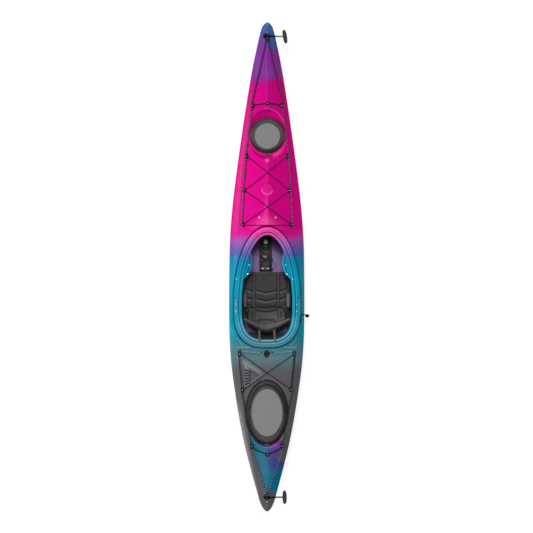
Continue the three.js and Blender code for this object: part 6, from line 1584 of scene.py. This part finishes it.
def cushion_under(u, v):
    x, y = cushion_plan(u, v, 0.008)
    return x, y, np.full_like(x, SEAT_BASE + 0.001)


# Where the point of each V seam lies on the centre line.
CUSHION_SEAMS = (-0.203, -0.267, -0.324)
# Half the width of the strip between a channel's two seams.
LINE_APART = 0.0105
BUTTONS_X, BUTTON_Y = (-0.047, 0.047), -0.26
BUTTON = [(0.0001, 0.0022), (0.0035, 0.0018), (0.0052, 0.0004), (0.0052, -0.002)]


def behind_seam(x, y, place):
    """How far aft of a V seam a place lies. Outside the channels the seam runs out and forward."""
    side = np.abs(x)
    middle = place + 0.0215 * np.sqrt((side / 0.09) ** 2 + 0.006)
    return np.where(side < CHANNEL_X, middle, place + 0.010 + 0.33 * (side - 0.1)) - y


def off_channel(x):
    """0 on either of a channel's two seams and on the strip between them, and 1 well clear."""
    return ease((np.abs(np.abs(x) - CHANNEL_X) - LINE_APART) / 0.003)


def channel_seams(x):
    return hill(np.abs(np.abs(x) - CHANNEL_X) - LINE_APART, 0.0031)


def sewn(x, y):
    """How far the cloth sinks at the seams and stands up behind them."""
    depth = np.zeros_like(x)
    for place in CUSHION_SEAMS:
        behind = behind_seam(x, y, place)
        depth += np.where(behind > 0, 0.0075 * ease(behind / 0.007) * np.clip(1 - behind / 0.05, 0, 1), 0)
        depth -= 0.008 * hill(behind, 0.0055)
    strip = np.clip(1 - (np.abs(np.abs(x) - CHANNEL_X) / LINE_APART) ** 2, 0, 1)
    return depth * off_channel(x) - 0.006 * channel_seams(x) + 0.0015 * strip


cushion = mould("seat_pad", [(pillow(cushion_top, cushion_under), 0)], seat_fabric)
stuffed(cushion, 0.005, 4.0, 0.005)


def sew_cushion(x, y, z):
    up = ease((z - SEAT_BASE - 0.012) / 0.008)
    near = ease((y - SEAT_FRONT + SEAT_LENGTH) / 0.012) * ease((SEAT_FRONT - 0.004 - y) / 0.01)
    lip = 0.004 * hill(y - SEAT_FRONT + 0.013, 0.006) - 0.003 * hill(y - SEAT_FRONT + 0.024, 0.004)
    buttons = sum(-0.006 * hill(np.hypot(x - bx, y - BUTTON_Y), 0.007) for bx in BUTTONS_X)
    return 0, 0, (sewn(x, y) * near + lip + buttons) * up


reshaped(cushion, sew_cushion)
x, y, z = points_of(cushion)
up = ease((z - SEAT_BASE - 0.012) / 0.008)
# The seams are dark, with painted shade where the cloth dips toward them. The raised strips, the ridges
# behind the seams and the front lip get a painted highlight. The cloth is also darker toward its sides.
seam = channel_seams(x) * ease((SEAT_FRONT - 0.016 - y) / 0.006) * 0.85
crest = 0.28 * np.clip(1 - (np.abs(np.abs(x) - CHANNEL_X) / LINE_APART) ** 2, 0, 1)
between = off_channel(x)
# Of each V seam: how dark it is, how wide, and how dark the painted shade is on the cloth that dips toward
# it.
SEAM_LOOKS = [(0.9, 0.0052, 0), (0.9, 0.0052, 0.42), (0.5, 0.009, 0.42)]
for place, (strength, width, dip) in zip(CUSHION_SEAMS, SEAM_LOOKS):
    behind = behind_seam(x, y, place)
    seam = np.maximum(seam, strength * hill(behind + 0.001, width) * between)
    seam = np.maximum(seam, dip * np.clip(1 + behind / 0.022, 0, 1) * (behind < 0) * between)
    crest = np.maximum(crest, hill(behind - 0.0115, 0.0058) * between)
crest = np.maximum(crest, 0.6 * hill(y - SEAT_FRONT + 0.012, 0.005) * between)
seam = np.maximum(seam, 0.5 * hill(y - SEAT_FRONT + 0.022, 0.003) * between)
seam = np.maximum(seam, 0.5 * ease((np.abs(x) - 0.166) / 0.012))
marked(cushion, seam=seam * up, crest=crest * up)
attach(cushion, "hull")
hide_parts("seat_cushion")

button_forms = [(turned_on(BUTTON, (bx, BUTTON_Y, 0.0735)), 0) for bx in BUTTONS_X]
buttons = mould("seat_buttons", button_forms, black_plastic)
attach(buttons, "hull")

# The moulding's dark grey also stands in as painted shade in the gaps round the pads.
seat_moulding, tree, shader = finish_named("seat_moulding", tint(44, 43, 44), 0.55, shine=0.35)
scuffs = grained(tree, shader, 0.55, 900.0, 0.5, 0.0003, 0.5)
painted(tree, shader, mixed(tree, times(tree, scuffs, 0.4), tint(42, 41, 42), tint(110, 108, 110)))
refinished("seat_pan", seat_moulding)

# ------------------------------------------------
# Hip pads
# A foam pad in the seat's dark cloth hangs on the inner face of each side wing. It is sewn
# through twice, and the strap that holds it passes through a hole.
# ------------------------------------------------
HIP_HALF_LENGTH = 0.062
HIP_Y = -0.258
HIP_HALF_HEIGHT = 0.058
HIP_THICKNESS = 0.025
hip_centre = float(rim_height(WING_Y)) - 0.046 - 0.021 - HIP_HALF_HEIGHT
hip_face = WING_X - WING / 2 - 0.0003
for side_name, side in SIDES.items():
    def hip_at(u, v, depth, inset):
        a, b = corner_rounded(u, v, 0.3)
        x = np.zeros_like(a) + side * (hip_face - depth)
        return x, HIP_Y + a * (HIP_HALF_LENGTH - inset), hip_centre + b * (HIP_HALF_HEIGHT - inset)

    def hip_front(u, v):
        crown = np.sqrt((1 - u**4) * (1 - v**4))
        return hip_at(u, v, HIP_THICKNESS * (0.3 + 0.55 * crown), 0.003)

    def hip_back(u, v):
        return hip_at(u, v, 0.0008, 0.004)

    hip = mould(f"hip_cushion_{side_name}", [(pillow(hip_front, hip_back, 30, 30), 0)], seat_fabric)
    stuffed(hip, 0.004, 4.0, 0.003)

    def sew_hip(x, y, z):
        inward = ease((hip_face - 0.006 - np.abs(x)) / 0.004)
        seams = 0.0028 * hill(np.abs(z - hip_centre) - 0.03, 0.0028)
        hole = 0.0035 * hill(np.hypot(y - HIP_Y, z - hip_centre - 0.012), 0.006)
        return side * (seams + hole) * inward, 0, 0

    reshaped(hip, sew_hip)
    x, y, z = points_of(hip)
    upper = ease((z - hip_centre - HIP_HALF_HEIGHT + 0.02) / 0.012)
    # The upper edge of each hip pad gets a painted highlight.
    marked(hip, crest=0.55 * upper * ease((0.176 - np.abs(x)) / 0.004))
    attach(hip, "hull")
    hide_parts(f"hip_pad_{side_name}")

# ------------------------------------------------
# Backrest
# A bent plastic shell on a hinge bar, with a foam pad sewn into dark cloth in front and a paler
# collar round its top edge. It leans back and its collar is pulled aft by two webbing straps.
# ------------------------------------------------
HINGE_Y = SEAT_FRONT - SEAT_LENGTH - 0.012
HINGE_Z = 0.086
HINGE = 0.012
HINGE_ARM_X = 0.1286
BACK_HALF_WIDTH = 0.172
BACK_HEIGHT = 0.196
BACK_SHELL = 0.007
BACK_PAD = 0.046
BACK_TILT = math.radians(26)


def back_at(u, v, depth, inset, wide=BACK_HALF_WIDTH):
    """A place on the backrest: shares across and up, and a depth in front of its shell."""
    a, b = corner_rounded(u, v, 0.3)
    x = a * (wide - inset) * (1 - 0.3 * ease(-v))
    droop = BACK_HEIGHT * 0.12 * (1 - np.abs(u) ** 1.5) * ease((v + 1) / 2)
    z = (b + 1) / 2 * (BACK_HEIGHT - 2 * inset) + inset - droop
    flare = 0.084 * (1 - np.abs(u) ** 1.3) * ease((v - 0.1) / 0.9)
    y = depth + (0.034 - 0.02 * ease((v - 0.1) / 0.8)) * (x / BACK_HALF_WIDTH) ** 2 - flare - HINGE
    ahead, up = math.cos(BACK_TILT), math.sin(BACK_TILT)
    return x, y * ahead - z * up + HINGE_Y, y * up + z * ahead + HINGE_Z


def collar_foot(u):
    """Where the collar's lower edge runs, as a share up the backrest."""
    return 0.6 + 0.2 * u**2


PAD_WIDE = 0.158
COLLAR_WIDE = 0.203


def pad_run(u, v):
    return -0.98 + (collar_foot(u) - 0.03 + 0.98) * (v + 1) / 2


def collar_run(u, v):
    return collar_foot(u) + (1 - collar_foot(u)) * (v + 1) / 2


def padding(run, wide, edge, crown):
    """The front and the back sheet of a pad, with its depth at the edge and how far it crowns."""
    def front(u, v):
        depth = BACK_PAD * (edge + crown * np.sqrt((1 - u**6) * (1 - v**6)))
        return back_at(u, run(u, v), depth, 0.006, wide)

    def behind(u, v):
        return back_at(u, run(u, v), 0.0006, 0.009, wide)

    return front, behind


shell_form = pillow(
    lambda u, v: back_at(u, v, 0, 0.001), lambda u, v: back_at(u, v, -BACK_SHELL, 0.001), 34, 26
)
hinge_run = [(at, HINGE_Y, HINGE_Z) for at in np.linspace(-0.157, 0.157, 9)]
parts = [(shell_form, 0), (bar_between(hinge_run, [HINGE] * 9, [HINGE] * 9), 0)]
for side in (-1, 1):
    stops = ((-0.002, -0.001), (-0.012, 0.014), (-0.02, 0.03))
    arm_run = [(side * HINGE_ARM_X, HINGE_Y + back, HINGE_Z + up) for back, up in stops]
    parts.append((bar_between(arm_run, [0.026] * 3, [0.016, 0.014, 0.008]), 0))
back_shell = mould("backrest_shell", parts, seat_moulding, crisp=45)
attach(back_shell, "backrest")
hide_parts("backrest_frame")

back_pad = mould("backrest_cushion", [(pillow(*padding(pad_run, PAD_WIDE, 0.3, 0.52)), 0)], seat_fabric)
stuffed(back_pad, 0.005, 4.0, 0.005)
HOLE = (0.116, -0.36)


def back_seams(x, y):
    """The channels, the sewn trapezoid at the top and the ring round each strap hole."""
    side = np.abs(x)
    seam = channel_seams(x) * ease((y + 0.405) / 0.01)
    for start, end, width in (
        ((0, -0.3505), (0.088, -0.3385), 0.0075), ((0, -0.412), (0.056, -0.412), 0.0066),
        ((0.056, -0.412), (0.071, -0.429), 0.0055),
    ):
        seam = np.maximum(seam, near_line(side, y, start, end, width))
    from_hole = np.hypot(side - HOLE[0], y - HOLE[1])
    ring = hill(from_hole - 0.027, 0.003) * ease((side - HOLE[0] + 0.012) / 0.01)
    return np.maximum(seam, np.maximum(0.9 * ring, hill(from_hole, 0.0085)))


def sew_back(x, y, z):
    face = ease((y - (HINGE_Y - 0.035) + (z - HINGE_Z) * math.tan(BACK_TILT)) / 0.01)
    move = -0.006 * back_seams(x, y) * face
    return 0, move * math.cos(BACK_TILT), move * math.sin(BACK_TILT)


reshaped(back_pad, sew_back)
x, y, z = points_of(back_pad)
side = np.abs(x)
pad_seam = np.maximum(back_seams(x, y), 0.5 * ease((side - 0.15) / 0.012))
# The seams and strap holes are painted dark, partly as painted shade, and the pad is darker toward its
# sides. The middle strip gets a faint painted highlight.
marked(back_pad, seam=pad_seam, crest=0.15 * ease((0.085 - side) / 0.005))
collar_form = pillow(*padding(collar_run, COLLAR_WIDE, 0.26, 0.34), 44, 20)
collar = mould("backrest_collar", [(collar_form, 0)], collar_fabric)
stuffed(collar, 0.005, 4.0, 0.005)
x, y, z = points_of(collar)
marked(collar, seam=0.5 * near_line(np.abs(x), y, (0.074, -0.425), (0.05, -0.494), 0.0028))
for piece in (back_pad, collar):
    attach(piece, "backrest")
    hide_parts("backrest_pad")

# ------------------------------------------------
# Backrest straps
# Grey webbing, 17 mm wide, comes off the back of the shell through a black ring and is pulled
# up over the coaming, where its end is folded back and sewn.
# ------------------------------------------------
webbing, tree, shader = finish_named("grey_webbing", tint(98, 97, 99), 0.8, shine=0.3)
x, y, z = axes(tree)
rib = sums(tree, "SINE", times(tree, y, 2 * math.pi / 0.0018))
cross = sums(tree, "SINE", times(tree, x, 2 * math.pi / 0.0022))
weave = plus(tree, rib, times(tree, cross, 0.6))
relief(tree, shader, weave, 0.0003, 0.6)
painted(tree, shader, steps(tree, weave, [(0.1, tint(80, 79, 81)), (0.9, tint(112, 111, 113))]))

# Round a strap's section, as shares of its width and its thickness.
STRAP_EDGE = [
    (-0.5, -0.3), (-0.44, -0.5), (0.44, -0.5), (0.5, -0.3), (0.5, 0.3), (0.44, 0.5), (-0.44, 0.5),
    (-0.5, 0.3),
]
STRAP_X = 0.06


def strap_form(path, wide, thick):
    """A flat strap along a path that runs fore and aft."""
    rows = []
    for point, direction in zip(path, np.gradient(path, axis=0)):
        direction = direction / np.linalg.norm(direction)
        across = np.array((1.0, 0, 0))
        across -= direction * across.dot(direction)
        across /= np.linalg.norm(across)
        up = np.cross(across, direction)
        rows.append([point + across * wide * a + up * thick * b for a, b in STRAP_EDGE])
    return rows_over(rows)


rim_y = COCKPIT_Y - COCKPIT_AFT
for side_name, side in SIDES.items():
    start = np.array(back_at(side * STRAP_X / BACK_HALF_WIDTH, 0.72, -BACK_SHELL - 0.002, 0), float)
    top = float(rim_height(rim_y))
    over_rim = [(0.022, -0.011), (0.007, -0.0005), (-0.003, 0.0012), (-0.016, 0.0006), (-0.0275, -0.003)]
    folded_end = [(-0.0265, -0.0005), (-0.015, 0.003), (-0.004, 0.0034)]
    route, fold = (
        [(side * STRAP_X, rim_y + ahead, top + up) for ahead, up in stops]
        for stops in (over_rim, folded_end)
    )
    forms = [
        (strap_form(flowing([start, start + (0, -0.012, 0.006), *route], 0.003), 0.017, 0.0018), 0),
        (strap_form(flowing(fold, 0.003), 0.0165, 0.0016), 0),
    ]
    strap = mould(f"back_strap_{side_name}", forms, webbing)
    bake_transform(strap)
    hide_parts(f"backrest_strap_{side_name}")
    t = all_round(24)
    middle = start + (0, -0.0125, 0.0085)
    ring_path = middle + np.column_stack([0.0125 * np.cos(t), 0.0095 * np.sin(t), 0.0045 * np.sin(t)])
    angles = all_round(8)
    ring_rows = []
    for point, ahead in zip(ring_path, np.roll(ring_path, -1, axis=0) - np.roll(ring_path, 1, axis=0)):
        ahead /= np.linalg.norm(ahead)
        one = np.cross(ahead, (0.1, 0.2, 1.0))
        one /= np.linalg.norm(one)
        two = np.cross(ahead, one)
        ring_rows.append(point + 0.0027 * (np.outer(np.cos(angles), one) + np.outer(np.sin(angles), two)))
    ring_piece = mould(f"strap_ring_{side_name}", [(rows_over(ring_rows, hoop=True), 0)], black_plastic)
    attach(ring_piece, "backrest")

# ------------------------------------------------
# Seat track and thigh strap
# A black moulded track on the floor ahead of the seat, with a rail at each side, a raised cover
# held by one steel bolt, and a ratchet buckle that pulls on a short thigh strap.
# ------------------------------------------------
FLOOR_Z = SHELL + 0.0003
TRACK_LENGTH = 0.318
TRACK_HEIGHT = 0.013
TRACK_Y = SEAT_FRONT + TRACK_LENGTH / 2 + 0.003
RAIL_X = 0.042
BOX_Y = TRACK_Y + 0.2 * TRACK_LENGTH
BOX_TOP = FLOOR_Z + 0.0298
BOLT = (0, BOX_Y + 0.012, BOX_TOP)
BOLT_WASHER = [
    (0.0001, 0.003), (0.0045, 0.003), (0.005, 0.0045), (0.0085, 0.006), (0.0102, 0.0052), (0.0108, 0.0022),
    (0.0148, 0.0018), (0.0152, 0.0004), (0.0152, -0.001),
]
BOLT_HEAD = [(0.0001, 0.0036), (0.0062, 0.0036), (0.0074, 0.0062), (0.0084, 0.0064), (0.0084, 0.001)]
RATCHET_Y = TRACK_Y - 0.1 * TRACK_LENGTH
RATCHET_Z = FLOOR_Z + 0.022


def block(x, y, low, high, wide, long, round_off=0.003):
    """A moulded block with eased edges: its middle, its foot and top, its width and length."""
    rows = []
    eased = round_off * 0.3
    for inset, up in ((0, low), (0, high - round_off), (eased, high - eased), (round_off, high)):
        radius = max(round_off * 1.2 - inset * 0.5, 0.0005)
        across, along = wide / 2 - inset - radius, long / 2 - inset - radius
        row = []
        for right, ahead, start in ((1, 1, 0), (-1, 1, 90), (-1, -1, 180), (1, -1, 270)):
            for step in (0, 30, 60, 90):
                a = math.radians(start + step)
                corner_x = x + right * across + radius * math.cos(a)
                row.append((corner_x, y + ahead * along + radius * math.sin(a), up))
        rows.append(row)
    return rows_over(rows)


parts = [
    (block(0, TRACK_Y, FLOOR_Z, FLOOR_Z + TRACK_HEIGHT, 0.098, 0.317), 0),
    (block(0, BOX_Y, FLOOR_Z, BOX_TOP, 0.058, 0.096, 0.005), 0),
    (block(0, BOX_Y - 0.028, FLOOR_Z, FLOOR_Z + 0.032, 0.04, 0.03, 0.002), 0),
    (turned_on(BOLT_WASHER, BOLT, sides=32), 1),
    (turned_on(BOLT_HEAD, BOLT, sides=6), 0),
]
for side in (-1, 1):
    x = side * RAIL_X
    parts.append((block(x, TRACK_Y, FLOOR_Z, FLOOR_Z + 0.0209, 0.0135, 0.317, 0.002), 0))
    parts.append((block(side * 0.0245, RATCHET_Y, FLOOR_Z, RATCHET_Z + 0.0045, 0.005, 0.03, 0.001), 0))
    for notch in range(9):
        y = TRACK_Y - 0.14 + 0.022 * notch
        parts.append((block(x, y, FLOOR_Z + 0.02, FLOOR_Z + 0.0229, 0.009, 0.006, 0.0008), 0))
for rib_y in (BOX_Y + 0.053, BOX_Y + 0.061, BOX_Y - 0.055):
    parts.append((block(0, rib_y, FLOOR_Z, FLOOR_Z + 0.0165, 0.07, 0.003, 0.0006), 0))
# The cross in the bolt's head.
for turn in (0.5, 0.5 + math.pi / 2):
    cross = [
        (at * math.cos(turn), BOLT[1] + at * math.sin(turn), BOX_TOP + 0.004) for at in (-0.0055, 0, 0.0055)
    ]
    parts.append((bar_between(cross, [0.0026] * 3, [0.0016] * 3), 1))
track = mould("track_moulding", parts, black_plastic, steel, crisp=40)
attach(track, "hull")
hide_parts("seat_track")

silver, tree, shader = finish_named("cast_buckle", tint(172, 174, 176), 0.35, Metallic=1.0)
worn = noise(tree, object_place(tree), 240.0, 3.0)
painted(tree, shader, steps(tree, worn, [(0.4, tint(110, 111, 113)), (0.62, tint(196, 198, 200))]))
tree.links.new(ranged(tree, worn, 0.3, 0.7, 0.28, 0.55), shader.inputs["Roughness"])

arm_y = RATCHET_Y - 0.052 / 3
pin = [(at, RATCHET_Y, RATCHET_Z) for at in np.linspace(-0.0275, 0.0275, 5)]
parts = [
    (block(0, arm_y, RATCHET_Z - 0.0025, RATCHET_Z + 0.0025, 0.0392, 0.051, 0.0012), 1),
    (block(0, arm_y - 0.0255, RATCHET_Z - 0.0025, RATCHET_Z + 0.0073, 0.0392, 0.005, 0.001), 1),
    (block(-0.013, arm_y + 0.0085, RATCHET_Z, RATCHET_Z + 0.0066, 0.012, 0.011, 0.002), 0),
    (block(-0.0015, arm_y + 0.010, RATCHET_Z, RATCHET_Z + 0.0066, 0.007, 0.008, 0.002), 0),
    (block(0.007, arm_y + 0.0075, RATCHET_Z, RATCHET_Z + 0.006, 0.006, 0.005, 0.0015), 0),
    (block(0.012, arm_y - 0.006, RATCHET_Z, RATCHET_Z + 0.0072, 0.012, 0.014, 0.002), 1),
    (block(-0.006, arm_y - 0.0005, RATCHET_Z, RATCHET_Z + 0.0056, 0.018, 0.003, 0.001), 0),
    (bar_between(pin, [0.005] * 5, [0.005] * 5), 1),
]
lever = mould("ratchet_arm", parts, silver, black_plastic)
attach(lever, "ratchet")
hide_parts("ratchet_lever")

# The thigh strap's path, then its buckle: place, width, length, and cast metal 1 or plastic 2.
STRAP_STOPS = [(0.0855, 0.0155), (0.06, 0.015), (0.02, 0.016), (-0.008, 0.0168), (-0.022, 0.0158)]
BUCKLE_BLOCKS = [
    (-0.0275, -0.0115, 0.010, 0.011, 1), (-0.015, -0.013, 0.010, 0.008, 1),
    (0.002, -0.0105, 0.014, 0.005, 1), (0.019, -0.0125, 0.012, 0.010, 1), (0.030, -0.012, 0.008, 0.012, 2),
]
# A turning knob for the strap, and where the bright ends of its pull tapes show.
TURN_KNOB = [(0.0001, 0.009), (0.006, 0.009), (0.0085, 0.0075), (0.009, 0.004), (0.009, 0)]
TAPE_ENDS = [(-0.0335, 0.097), (0.0335, 0.094), (-0.0335, 0.056), (-0.021, -0.0165), (0.009, -0.0165)]
strap_route = flowing([(0, y, FLOOR_Z + up) for y, up in STRAP_STOPS], 0.004)
parts = [
    (strap_form(strap_route, 0.048, 0.0022), 0),
    (block(0.0, -0.0235, FLOOR_Z + 0.013, FLOOR_Z + 0.0205, 0.066, 0.006, 0.0015), 2),
]
for x, y, wide, long, kind in BUCKLE_BLOCKS:
    parts.append((block(x, y, FLOOR_Z + 0.013, FLOOR_Z + 0.0222, wide, long, 0.0015), kind))
for knob_y in (0.0565, -0.0165):
    parts.append((turned_on(TURN_KNOB, (0.0475, knob_y, FLOOR_Z + 0.0209), sides=20), 2))
for x, y in TAPE_ENDS:
    parts.append((block(x, y, FLOOR_Z + 0.012, FLOOR_Z + 0.0235, 0.009, 0.0065, 0.001), 3))
bright_tape, tree, shader = finish_named("bright_tape", tint(168, 6, 92), 0.75, shine=0.2)
weave = noise(tree, object_place(tree), 700.0, 2.0)
painted(tree, shader, steps(tree, weave, [(0.3, tint(140, 2, 76)), (0.7, tint(190, 12, 106))]))
thigh_strap = mould("thigh_strap", parts, seat_fabric, silver, black_plastic, bright_tape)
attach(thigh_strap, "hull")

# ------------------------------------------------
# Thigh braces
# Two plates in the hull's own plastic fill in under the coaming's forward edges, for the knees
# to press against. Each is screwed to the coaming's inner wall.
# ------------------------------------------------
BRACE_EDGE = [
    (0.36, 0.945), (0.4, 0.84), (0.44, 0.72), (0.5, 0.65), (0.56, 0.605), (0.62, 0.588), (0.69, 0.6),
    (0.745, 0.63), (0.775, 0.67),
]
brace_inner = through(BRACE_EDGE)
# A brace starts at this share of the cockpit's forward length and runs on for this share more.
BRACE_START = 0.36
BRACE_RUN = 0.415
BRACE_THICKNESS = 0.007
BRACE_GAP = 0.0004


def brace_at(side, u, v, drop):
    """A place on a brace: shares from its inner edge outward and aft to fore, and how deep."""
    along = BRACE_START + BRACE_RUN * (v + 1) / 2
    y = COCKPIT_Y + along * COCKPIT_FORWARD
    near = brace_inner(along) * COCKPIT_HALF_WIDTH
    mouth = COCKPIT_HALF_WIDTH * np.sqrt(1 - along**2) - BRACE_GAP
    x = near + (np.maximum(mouth, near + 0.001) - near) * (u + 1) / 2
    lip = 0.006 * hill(u + 1, 0.12)
    groove = 0.003 * hill(u + 0.1 + 0.25 * v, 0.09) * ease((v + 0.62) / 0.1) * ease((0.55 - v) / 0.1)
    sag = 0.009 * ((1 - u) / 2) ** 2
    top = 0.005 + sag + (lip + groove if drop == 0 else 0)
    return side * x, y, rim_height(y) - top - drop


for side_name, side in SIDES.items():
    form = pillow(
        lambda u, v: brace_at(side, u, v, 0), lambda u, v: brace_at(side, u, v, BRACE_THICKNESS), 26, 60
    )
    parts = [(form, 0)]
    for x, y, size in ((0.1412, 0.0156, 0.95), (0.1545, -0.0545, 1.35)):
        along = (y - COCKPIT_Y) / COCKPIT_FORWARD
        near = float(brace_inner(along)) * COCKPIT_HALF_WIDTH
        mouth = COCKPIT_HALF_WIDTH * math.sqrt(1 - along**2) - BRACE_GAP
        u, v = 2 * (x - near) / (mouth - near) - 1, 2 * (along - BRACE_START) / BRACE_RUN - 1
        x, y, z = (float(part) for part in brace_at(side, u, v, 0))
        parts.append((screw((x, y, z + 0.0008), size=size), 1))
    brace = mould(f"thigh_plate_{side_name}", parts, hull_outside, steel, crisp=60)
    x, y, z = points_of(brace)
    in_from_edge = np.abs(x) - brace_inner((y - COCKPIT_Y) / COCKPIT_FORWARD) * COCKPIT_HALF_WIDTH
    run = ease((y + 0.06) / 0.02) * ease((0.09 - y) / 0.02)
    # A line of painted shade along the brace, and a painted highlight along its inner lip.
    marked(
        brace, grime=0.75 * hill(in_from_edge - 0.019, 0.0035) * run,
        wear=0.14 * hill(in_from_edge - 0.005, 0.005),
    )
    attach(brace, "hull")
    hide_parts(f"thigh_brace_{side_name}")

# ------------------------------------------------
# Foot braces and bulkheads
# A rail screwed along each side of the hull carries a pedal that slides to fit the paddler. Two
# walls of grey closed-cell foam, bonded in, close off the dry holds.
# ------------------------------------------------
foam, tree, shader = finish_named("closed_cell_foam", tint(122, 122, 126), 0.9, shine=0.2)
place = object_place(tree)
cells = wire(tree, "TexVoronoi", Vector=place, Scale=420.0).outputs["Distance"]
painted(tree, shader, steps(tree, cells, [(0.0, tint(128, 128, 132)), (0.7, tint(104, 104, 108))]))
relief(tree, shader, cells, 0.0006, 0.5)
for name in ("front_bulkhead", "rear_bulkhead"):
    refinished(name, foam)
for name in ("foot_rail_port", "foot_rail_starboard", "foot_pedal_port", "foot_pedal_starboard"):
    refinished(name, black_plastic)
